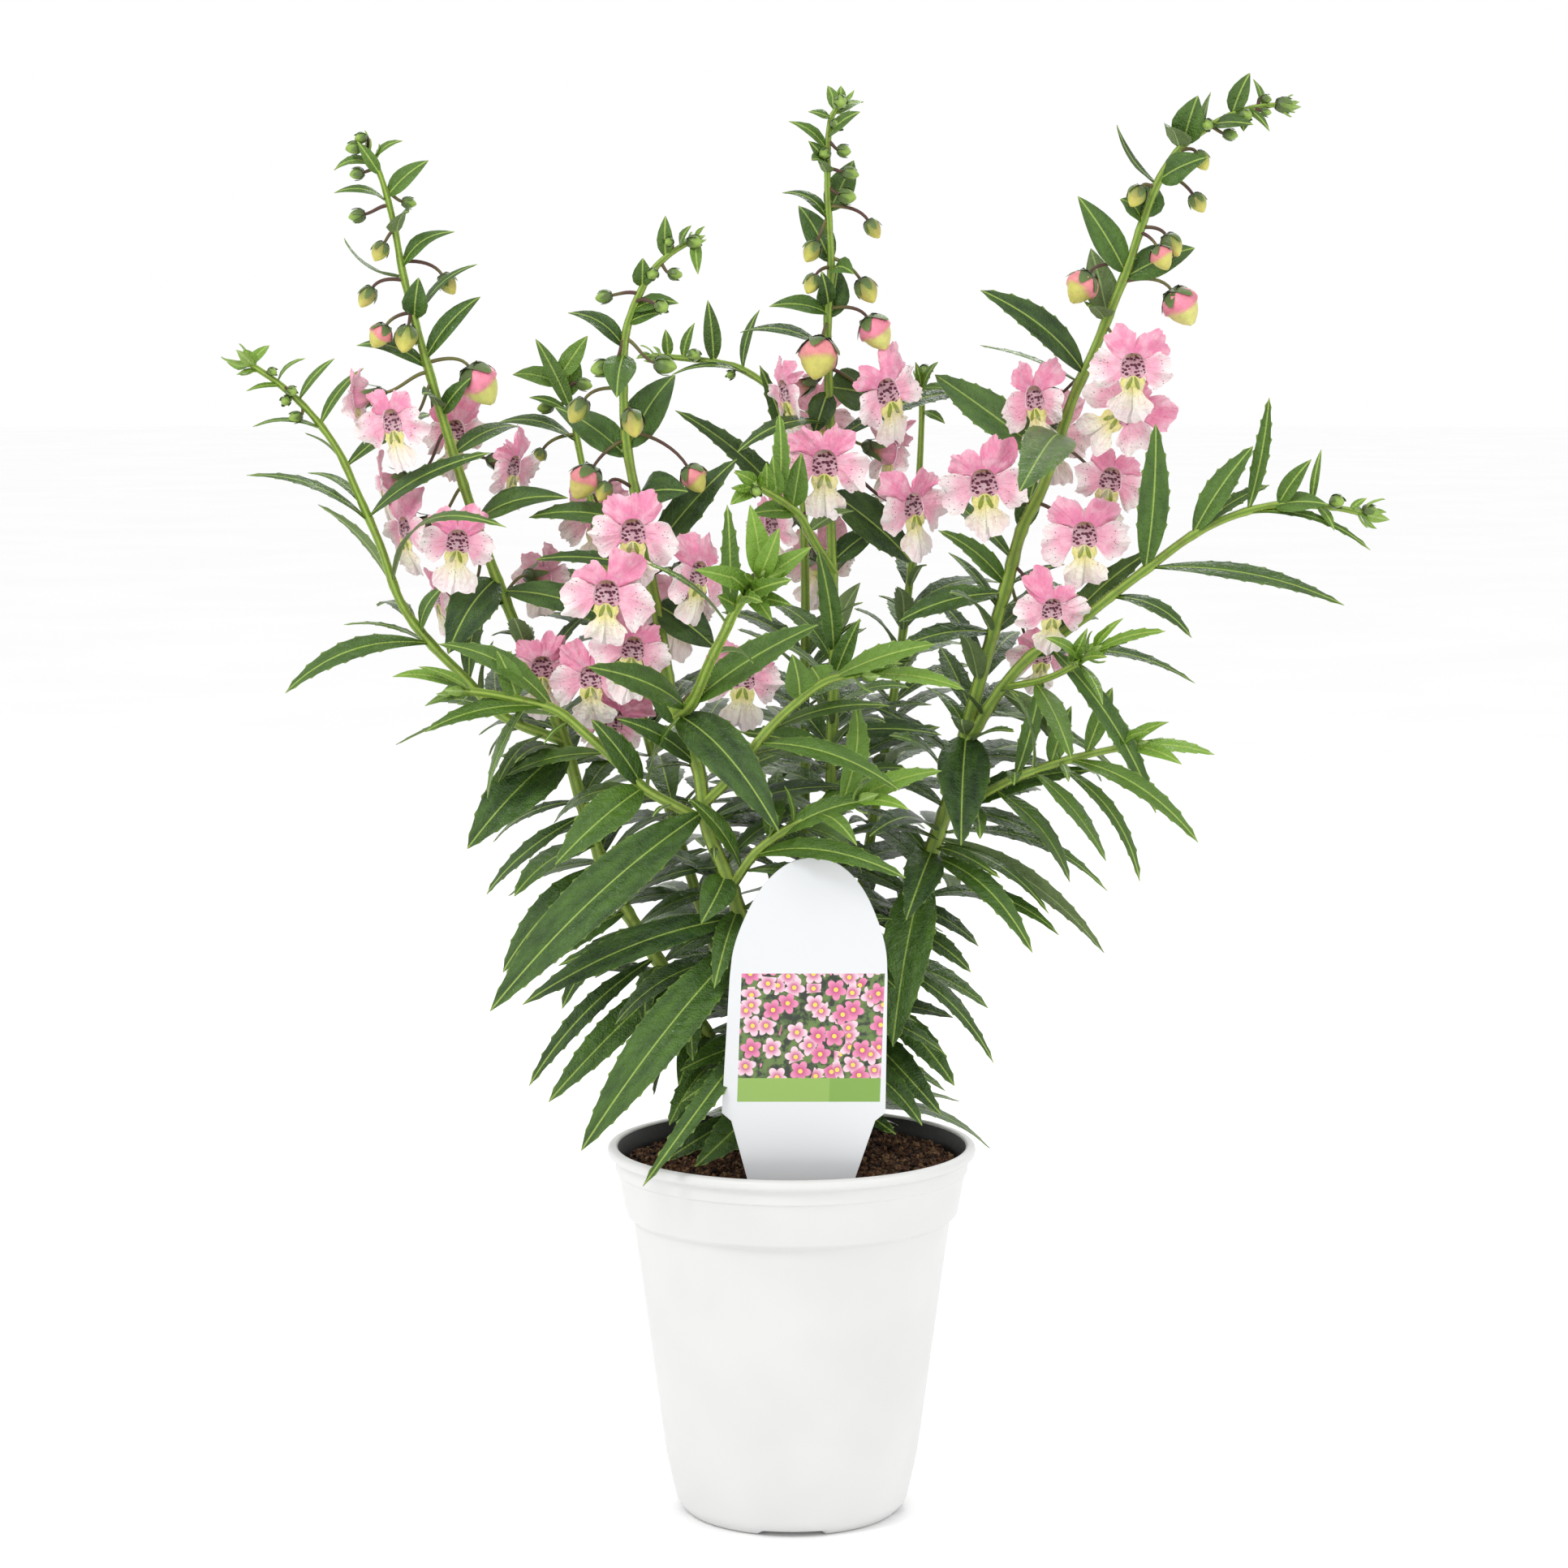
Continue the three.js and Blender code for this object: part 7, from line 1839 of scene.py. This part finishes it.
def grow_lobe(skin, at, kind, colours, dice, sizes):
    """One petal lobe between its base on the throat's rim and its frilled edge."""
    steps, rows = 38, 7
    lobe = LOBES[kind]
    edge = smooth_outline(lobe["edge"], steps)
    phase = dice.uniform(0, 6.28)
    folds = dice.uniform(1.3, 2.8)
    depth = dice.uniform(0.9, 2.3) * lobe["ruffle"]
    curl = dice.uniform(*lobe["curl"])
    cup = dice.uniform(*lobe["cup"])
    grown = dice.uniform(*lobe["grown"])
    tilt = math.radians(dice.uniform(-16, 16)) if kind != "lip" else 0
    beat = dice.uniform(0.2, 0.8)
    frill = [dice.uniform(-1, 1) for _ in range(steps + 1)]
    thick = sizes.petal_thickness / MM
    # share runs out from the throat's rim (bx, by) to the edge (ex, ey), and u along the edge.
    upper, lower = [], []
    for row in range(rows + 1):
        share = row / rows
        line, under = [], []
        for i, (ex, ey) in enumerate(edge):
            u = i / steps
            angle = math.radians(lobe["base"][0] + (lobe["base"][1] - lobe["base"][0]) * u)
            bx, by = (1.01 * value for value in throat_edge(angle))
            spread = math.sin(math.pi * u)
            notch = 0.035 * frill[i] + 0.045 * math.sin((folds + 1.5) * 6.28 * u + 3 * phase)
            frilled = 1 + (grown - 1 + notch * share ** 3) * spread ** 0.5
            turn = (tilt + 0.09 * math.sin(folds * 5 * u + phase)) * share * spread
            fx, fy = ex * frilled, ey * frilled
            tx = fx * math.cos(turn) - fy * math.sin(turn)
            ty = fx * math.sin(turn) + fy * math.cos(turn)
            waist = share ** 3.2 if kind == "lip" else share
            x, y = bx + (tx - bx) * waist, by + (ty - by) * share
            reach = math.hypot(x, y)
            out = reach / 14
            ruffle = math.sin(folds * 6.28 * u + phase) + 0.5 * math.sin(folds * 15.1 * u + 2 * phase)
            waved = ease(0.3, 1.05, out)
            lift = lobe_height(kind, out) + depth * waved * ruffle * spread ** 0.5
            lift += (curl * spread + cup * (2 * u - 1) ** 2) * out * out + 0.4 * frill[i] * share ** 3
            lift = 0.45 + (lift - 0.45) * ease(0, 0.3, share) - 0.4 * (1 - spread) * share
            tint = lobe_tint(kind, reach, share * (0.7 + 0.3 * spread), colours, beat)
            specks = lobe["specks"] * ease(5.5, 8, reach) * ease(13.5, 11, reach)
            flow = (math.degrees(math.atan2(x, y)), reach, specks)
            # Painted shade: the troughs of the ruffles are darkened towards the deep pink.
            folded = 0.42 * max(0, -ruffle) * (waved * lobe["shade"]) * spread
            tint = blend_colours(tint, colours["deep"], folded)
            near = {"tint": (*tint, 1.0), "flow": flow, "own": (x, y, lift)}
            number = skin.point(at(x, y, lift + thick / 2), **near)
            line.append(number)
            if 0 < row < rows and 0 < i < steps:
                near["tint"] = (*blend_colours(tint, colours["white"], 0.3), 1.0)
                number = skin.point(at(x, y, lift - thick / 2), **near)
            under.append(number)
        upper.append(line)
        lower.append(under)
    skin.sheet(upper, lower)


def throat_edge(turn):
    """The throat's rim at a turn from straight up: a rounded square, narrower at its top."""
    square = 1 + 0.1 * math.sin(2 * turn) ** 2
    x = math.sin(turn) * (3.7 - 0.75 * math.cos(turn)) * square
    y = math.cos(turn) * 3.9 * square - 0.2
    return x, y


def grow_throat(skin, at, colours):
    """The pouch in the middle: a tan roof that recedes and a rosy floor with maroon streaks."""
    inner = ((1.0, 0.55), (0.97, 0.35), (0.9, -0.1), (0.76, -0.5), (0.55, -0.6), (0.3, -0.6),
             (0.06, -0.6))
    outer = ((1.02, 0.3), (1.0, -1.4), (0.76, -3.4), (0.52, -5.4), (0.38, -7.2), (0.2, -8.0))
    rings = []
    for k, (share, lift) in enumerate([*reversed(outer), *inner]):
        ring = []
        for turn in turns(28):
            x, y = (value * share for value in throat_edge(turn))
            inside = k >= len(outer)
            rise = lift
            if inside:
                rise += (1.3 * ease(1.0, -2.5, y) - 1.9 * ease(0.0, 3.4, y)) * (1 - share ** 4)
                tone = blend_colours(colours["floor"], colours["roof"], ease(1.4, 3.2, y))
                tone = blend_colours(colours["blush"], tone, ease(1.0, 0.95, share))
                spotting = ease(1.01, 0.95, share) * (1 - 0.5 * ease(1.8, 3.4, y))
            else:
                tone = blend_colours(colours["blush"], colours["tube"], ease(0.9, 0.4, share))
                spotting = 0.0
            ring.append(skin.point(at(x, y, rise), tint=(*tone, 1.0), own=(x, y, lift),
                                   flow=(math.degrees(turn), 4 * share, spotting)))
        rings.append(ring)
    skin.rings(list(reversed(rings)))


def grow_boss(skin, at, colours):
    """The low yellow boss under the throat with two olive bars that lean together."""
    for x0, y0, z0, rx, ry, rz, slant, tone in (
        (0.0, -4.9, 0.5, 2.3, 1.9, 0.9, 0, colours["boss"]),
        (-1.1, -5.3, 1.1, 0.7, 2.0, 0.5, 0.35, colours["blotch"]),
        (1.1, -5.3, 1.1, 0.7, 2.0, 0.5, -0.35, colours["blotch"]),
    ):
        rings = []
        for k in range(1, 6):
            tilt = math.pi * k / 6
            ring = []
            for turn in turns(10):
                along = ry * math.sin(tilt) * math.sin(turn)
                own = (x0 + rx * math.sin(tilt) * math.cos(turn) + slant * along,
                       y0 + along, z0 - rz * math.cos(tilt))
                ring.append(skin.point(at(*own), tint=(*tone, 1.0), own=own, flow=(0.0, 4.0, 0.0)))
            rings.append(ring)
        skin.rings(rings)


def grow_bloom(bloom, colours, dice, sizes):
    """One open flower: two upper lobes, two side lobes, the lip, the throat and its boss."""
    skin = Skin()
    facing, centre = bloom["facing"], bloom["centre"]
    scale = bloom["width"] / BLOOM_WIDTH

    def at(x, y, lift):
        return centre + (facing["right"] * x + facing["up"] * y + facing["forward"] * lift) * scale

    for side in (1, -1):
        def mirrored(x, y, lift, side=side):
            return at(x * side, y, lift)

        grow_lobe(skin, mirrored, "upper", colours, dice, sizes)
        grow_lobe(skin, mirrored, "side", colours, dice, sizes)
    grow_lobe(skin, at, "lip", colours, dice, sizes)
    grow_throat(skin, at, colours)
    grow_boss(skin, at, colours)
    return skin


def drill_drains(pot):
    """The pot with round holes through its floor."""
    skin = Skin()
    for k in range(4):
        turn = math.pi / 4 + k * math.pi / 2
        middle = Vector((*around(DRAIN_RING, turn), 0))
        skin.rings([[skin.point(middle + Vector((*around(DRAIN_RADIUS, a), height)))
                     for a in turns(24)] for height in (FLOOR[0] - 2, FLOOR[1] + 2)])
    drills = make_piece("drills", skin, [pot.data.materials[1]])
    cut = pot.modifiers.new("drains", "BOOLEAN")
    cut.operation = "DIFFERENCE"
    cut.object = drills
    depsgraph = bpy.context.evaluated_depsgraph_get()
    mesh = bpy.data.meshes.new_from_object(pot.evaluated_get(depsgraph), depsgraph=depsgraph)
    mesh.name = pot.name
    pot.modifiers.remove(cut)
    old = pot.data
    pot.data = mesh
    bpy.data.meshes.remove(old)
    bpy.data.objects.remove(drills)
    return pot


def peat_patch(body):
    """The peat's top faces alone, to strew crumbs on."""
    mesh = body.data
    low = POT_AXIS.z + (SOIL_HEIGHT - 6) * MM
    corners = [v.co.copy() for v in mesh.vertices]
    faces = [tuple(p.vertices) for p in mesh.polygons if p.center.z > low and p.normal.z > 0.4]
    patch = bpy.data.meshes.new("patch")
    patch.from_pydata(corners, [], faces)
    return show("patch", patch)


# Stage

def make_floor():
    """A wide round floor just under the pot."""
    skin = Skin()
    sides = 96
    rings = [[skin.point((*around(radius, a), -0.05)) for a in turns(sides)]
             for radius in (0.1, 400, 1200, 4000, 12000)]
    for a, b in zip(rings, rings[1:]):
        for i in range(sides):
            j = (i + 1) % sides
            skin.face((a[i], b[i], b[j], a[j]))
    skin.face(rings[0])
    return make_piece("floor", skin, [sheet_floor()])


def make_lights():
    """Soft daylight all round, with large lights high on the left, on the right and behind."""
    world = bpy.data.worlds.new("studio")
    world.use_nodes = True
    ground = world.node_tree.nodes["Background"]
    join(world.node_tree, ground, {"Color": (1.0, 1.0, 1.0, 1.0), "Strength": 1.0})
    bpy.context.scene.world = world
    bpy.context.scene.view_settings.view_transform = "Standard"
    for name, spot, size, power in (
        ("key", (-0.8, -0.9, 1.3), 0.45, 8.0), ("side", (1.1, -0.7, 0.9), 0.35, 2.6),
        ("back", (0.3, 1.1, 1.2), 0.5, 4.0),
    ):
        light = bpy.data.lights.new(name, "AREA")
        light.size = size
        light.energy = power
        lamp = bpy.data.objects.new(name, light)
        lamp.location = spot
        towards = Vector((0, 0, 0.25)) - Vector(spot)
        lamp.rotation_euler = towards.to_track_quat("-Z", "Y").to_euler()
        bpy.context.scene.collection.objects.link(lamp)


def make_camera():
    """The eye of the photograph: a little above the flowers, looking slightly down."""
    lens = bpy.data.cameras.new("eye")
    lens.sensor_width = 36
    lens.lens = EYE_LENS
    lens.clip_end = 50
    eye = bpy.data.objects.new("eye", lens)
    eye.location = to_frame(EYE)
    eye.rotation_euler = Euler((math.pi / 2 - EYE_TILT, 0, 0))
    bpy.context.scene.collection.objects.link(eye)
    bpy.context.scene.camera = eye


# Sizes and colours for the sidebar

def length_setting(name, description, millimetres):
    return FloatProperty(name=name, description=description, default=millimetres * MM, min=0,
                         unit="LENGTH", precision=5)


def colour_setting(name, description, code):
    return FloatVectorProperty(name=name, description=description, default=linear(code), size=3,
                               min=0, max=1, subtype="COLOR")


class PlantSizes(bpy.types.PropertyGroup):
    """Sizes of the finished pieces."""

    pot_sides: IntProperty(
        name="Pot sides", description="Sides of the turned pot", default=96, min=24)
    rim_rounding: length_setting("Rim rounding", "Rounding of the pot's rim", 1.2)
    peat_relief: length_setting("Peat relief", "How far the peat's top rises and falls", 2.2)
    crumbs_per_area: FloatProperty(
        name="Crumbs", description="Crumbs of peat on a square metre", default=340000)
    label_rounding: length_setting("Label rounding", "Chamfer on the label's edge", 0.12)
    stem_ridges: IntProperty(
        name="Stem ridges", description="Ridges round a stem", default=5, min=3)
    stem_groove: FloatProperty(
        name="Stem groove", description="Depth of the grooves as a share of the radius", default=0.17,
        subtype="FACTOR", min=0, max=0.5)
    hair_length: length_setting("Hair length", "Length of the stems' hairs", 0.8)
    hairs_per_area: FloatProperty(
        name="Hairs", description="Hairs on a square metre of stem", default=420000)
    tooth_pitch: length_setting("Tooth pitch", "Distance between the teeth of a leaf", 5.4)
    tooth_reach: length_setting("Tooth reach", "How far a tooth stands out", 0.55)
    leaf_thickness: length_setting("Leaf thickness", "Thickness of a blade at its midrib", 0.5)
    petal_thickness: length_setting("Petal thickness", "Thickness of a petal", 0.35)
    stalk_radius: length_setting("Stalk radius", "Radius of a flower's stalk", 0.5)


class PlantColours(bpy.types.PropertyGroup):
    """Colours of the finished pieces."""

    pot_white: colour_setting("Pot", "The pot's white", "#d6d6d5")
    leaf_dark: colour_setting("Leaf, dark", "The darkest green of old leaves", "#193510")
    leaf_green: colour_setting("Leaf", "The lighter green of old leaves", "#517525")
    leaf_young: colour_setting("Young leaf", "The green of leaves that have just opened", "#7ba335")
    stem_green: colour_setting("Stem", "The green of a stem's ridges", "#9fb548")
    stalk_brown: colour_setting("Flower stalk", "The brown-purple of the flower stalks", "#53362b")
    petal_pink: colour_setting("Upper petals", "The pink of the two upper petals", "#ea8bae")
    petal_rose: colour_setting("Side petals", "The pink of the side petals near the throat", "#f0a9c0")
    petal_white: colour_setting("Petal edges", "The white of the side petals' edges", "#f3e8e6")
    petal_cream: colour_setting("Lip", "The cream of the lower petal", "#f1edd8")
    petal_yellow: colour_setting("Lip's neck", "The yellow at the lower petal's neck", "#e6de8c")


def bloom_colours(colours):
    """All the colours of a flower, from the settings and what goes with them."""
    return {
        "upper": tuple(colours.petal_pink), "upper_pale": linear("#f3bfd0"),
        "deep": linear("#d46f9b"), "side": tuple(colours.petal_rose), "blush": linear("#eba0ba"),
        "white": tuple(colours.petal_white), "cream": tuple(colours.petal_cream),
        "yellow": tuple(colours.petal_yellow), "tube": linear("#b98a5c"), "roof": linear("#b08a5a"),
        "floor": linear("#d3a3b0"), "boss": linear("#d6d47c"), "blotch": linear("#84902a"),
    }


# Operators

# The smallest and the largest crumb of peat, in metres, and a hair's thickness in millimetres
CRUMB_SIZES = ((0.0004, 0.0003, 0.0003), (0.0016, 0.0012, 0.001))
HAIR_THICKNESS = 0.05


class PLANT_OT_pot(bpy.types.Operator):
    """Turns the pot with its collar, rim, foot ring and drain holes"""

    bl_idname = "plant.pot"
    bl_label = "Pot"

    def execute(self, context):
        sizes, colours = context.scene.plant_sizes, context.scene.plant_colours
        finishes = [white_polypropylene(colours), black_polypropylene()]
        pot = make_piece("pot_shell", lathe_pot(sizes), finishes)
        seat(drill_drains(pot), "pot_plastic", "pot")
        return {"FINISHED"}


class PLANT_OT_peat(bpy.types.Operator):
    """Fills the pot with peat and strews its crumbs"""

    bl_idname = "plant.peat"
    bl_label = "Peat"

    def execute(self, context):
        sizes = context.scene.plant_sizes
        body = make_piece("peat_body", peat_top(sizes), [moist_peat("peat_moist", per_crumb=False)])
        seat(body, "peat", "soil")
        crumbs = grow_on(peat_patch(body), crumb_tree(), {
            "Per Area": sizes.crumbs_per_area, "Smallest": CRUMB_SIZES[0], "Largest": CRUMB_SIZES[1],
            "Seed": 4, "Finish": moist_peat("peat_crumbs", per_crumb=True),
        }, "peat_crumbs")
        seat(crumbs, "peat", "soil")
        return {"FINISHED"}


class PLANT_OT_label(bpy.types.Operator):
    """Stands the label in the peat"""

    bl_idname = "plant.label"
    bl_label = "Label"

    def execute(self, context):
        sizes = context.scene.plant_sizes
        label = make_piece("label_stake", label_plate(sizes), [label_white(), label_print()], smooth=False)
        seat(label, "label_plastic", "tag")
        return {"FINISHED"}


class PLANT_OT_stems(bpy.types.Operator):
    """Grows the ridged stems with their side shoots and hairs"""

    bl_idname = "plant.stems"
    bl_label = "Stems"

    def execute(self, context):
        sizes, colours = context.scene.plant_sizes, context.scene.plant_colours
        tube, hairs = tube_tree(), hair_tree()
        skin, down = stem_skin(colours), stem_hair()
        for stem in STEMS:
            piece = grow_on(lines_object(shoot_lines(stem)), tube, {
                "Ridges": sizes.stem_ridges, "Groove": sizes.stem_groove, "Finish": skin,
            }, "shoots_" + stem["name"])
            seat(piece, "leaf", stem["node"])
            fuzz = grow_on(show("bare", piece.data.copy()), hairs, {
                "Per Area": sizes.hairs_per_area, "Length": sizes.hair_length,
                "Thickness": HAIR_THICKNESS * MM, "Seed": 12, "Finish": down,
            }, "hairs_" + stem["name"])
            seat(fuzz, "leaf", stem["node"])
        return {"FINISHED"}


class PLANT_OT_leaves(bpy.types.Operator):
    """Grows every leaf, bent as its solid is, and the small leaves between them"""

    bl_idname = "plant.leaves"
    bl_label = "Leaves"

    def execute(self, context):
        sizes, colours = context.scene.plant_sizes, context.scene.plant_colours
        finishes = [leaf_upper(colours), leaf_under()]
        thicket = Thicket()
        grown = []
        for stem in STEMS:
            own = surface_of(stem["node"])
            bent = [(leaf, blade_in_solid(leaf, own)) for leaf in stem["leaves"]]
            bent += [(leaf, blade_in_gap(leaf, thicket.solids)) for leaf in stem["small"]]
            blades = []
            for leaf, blade in bent:
                near_tip = leaf["shoot"].main and leaf["joint"]["from_tip"] < BRACT_REACH
                bract = near_tip and blade.length < BRACT_LENGTH
                blades.append((blade, leaf_youth(leaf), bract))
                thicket.add(blade)
            grown.append(blades)
        for number, (stem, blades) in enumerate(zip(STEMS, grown)):
            dice = random.Random(100 + number)
            for shoot in stem["shoots"]:
                blades.extend((*new, False) for new in leaves_between(shoot, thicket, dice))
                blades.extend((blade, 0.95, False) for blade in tip_tuft(shoot, dice))
            skin = Skin()
            for blade, youth, bract in blades:
                grow_leaf(skin, blade, youth, bract, sizes, dice)
            piece = make_piece("leaves_" + stem["name"], skin, finishes)
            seat(piece, "leaf", stem["node"])
        return {"FINISHED"}


class PLANT_OT_buds(bpy.types.Operator):
    """Hangs the buds and calyces on their stalks"""

    bl_idname = "plant.buds"
    bl_label = "Buds, calyces and stalks"

    def execute(self, context):
        sizes, colours = context.scene.plant_sizes, context.scene.plant_colours
        tube, wrap, stalk = tube_tree(), bud_skin(), stalk_skin(colours)
        radius = sizes.stalk_radius / MM
        for number, stem in enumerate(STEMS):
            if not stem["buds"] and not stem["blooms"]:
                continue
            dice = random.Random(200 + number)
            skin = Skin()
            lines = [grow_bud(skin, bud, dice) for bud in stem["buds"]]
            lines.extend(grow_calyx(skin, bloom) for bloom in stem["blooms"])
            seat(make_piece("buds_" + stem["name"], skin, [wrap]), "leaf", stem["node"])
            lines = [(line, [radius * (1.25 - 0.3 * k / (len(line) - 1)) for k in range(len(line))])
                     for line in lines]
            piece = grow_on(lines_object(lines), tube, {
                "Ridges": 4, "Groove": 0.1, "Finish": stalk,
            }, "stalks_" + stem["name"])
            seat(piece, "leaf", stem["node"])
        return {"FINISHED"}


class PLANT_OT_blooms(bpy.types.Operator):
    """Opens every flower"""

    bl_idname = "plant.blooms"
    bl_label = "Flowers"

    def execute(self, context):
        sizes, colours = context.scene.plant_sizes, context.scene.plant_colours
        velvet = petal_skin()
        tones = bloom_colours(colours)
        for number, stem in enumerate(STEMS):
            for turn, bloom in enumerate(stem["blooms"]):
                dice = random.Random(1000 + 40 * number + turn)
                skin = grow_bloom(bloom, tones, dice, sizes)
                piece = make_piece(bloom["node"].replace("bloom", "flower"), skin, [velvet])
                seat(piece, "petal", bloom["node"])
        return {"FINISHED"}


class PLANT_OT_stage(bpy.types.Operator):
    """Sets the floor, the lights and the camera"""

    bl_idname = "plant.stage"
    bl_label = "Stage"

    def execute(self, context):
        floor = make_floor()
        make_lights()
        make_camera()
        return {"FINISHED"}


class PLANT_PT_panel(bpy.types.Panel):
    """The pieces, their sizes and their colours in the 3D view's sidebar"""

    bl_label = "Potted plant"
    bl_idname = "PLANT_PT_panel"
    bl_space_type = "VIEW_3D"
    bl_region_type = "UI"
    bl_category = "Potted plant"

    def draw(self, context):
        layout = self.layout
        for maker in MAKERS:
            layout.operator(maker.bl_idname)
        for group in (context.scene.plant_sizes, context.scene.plant_colours):
            column = layout.column(align=True)
            for name in group.bl_rna.properties.keys():
                if name not in ("rna_type", "name"):
                    column.prop(group, name)


MAKERS = (
    PLANT_OT_pot, PLANT_OT_peat, PLANT_OT_label, PLANT_OT_stems, PLANT_OT_leaves, PLANT_OT_buds,
    PLANT_OT_blooms, PLANT_OT_stage,
)
CLASSES = (PlantSizes, PlantColours, *MAKERS, PLANT_PT_panel)


def register():
    for cls in CLASSES:
        bpy.utils.register_class(cls)
    bpy.types.Scene.plant_sizes = PointerProperty(type=PlantSizes)
    bpy.types.Scene.plant_colours = PointerProperty(type=PlantColours)


def unregister():
    del bpy.types.Scene.plant_colours
    del bpy.types.Scene.plant_sizes
    for cls in reversed(CLASSES):
        bpy.utils.unregister_class(cls)


def main():
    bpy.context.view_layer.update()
    register()
    bpy.ops.plant.pot()
    bpy.ops.plant.peat()
    bpy.ops.plant.label()
    bpy.ops.plant.stems()
    bpy.ops.plant.leaves()
    bpy.ops.plant.buds()
    bpy.ops.plant.blooms()
    bpy.ops.plant.stage()
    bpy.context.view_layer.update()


if __name__ == "__main__":
    main()
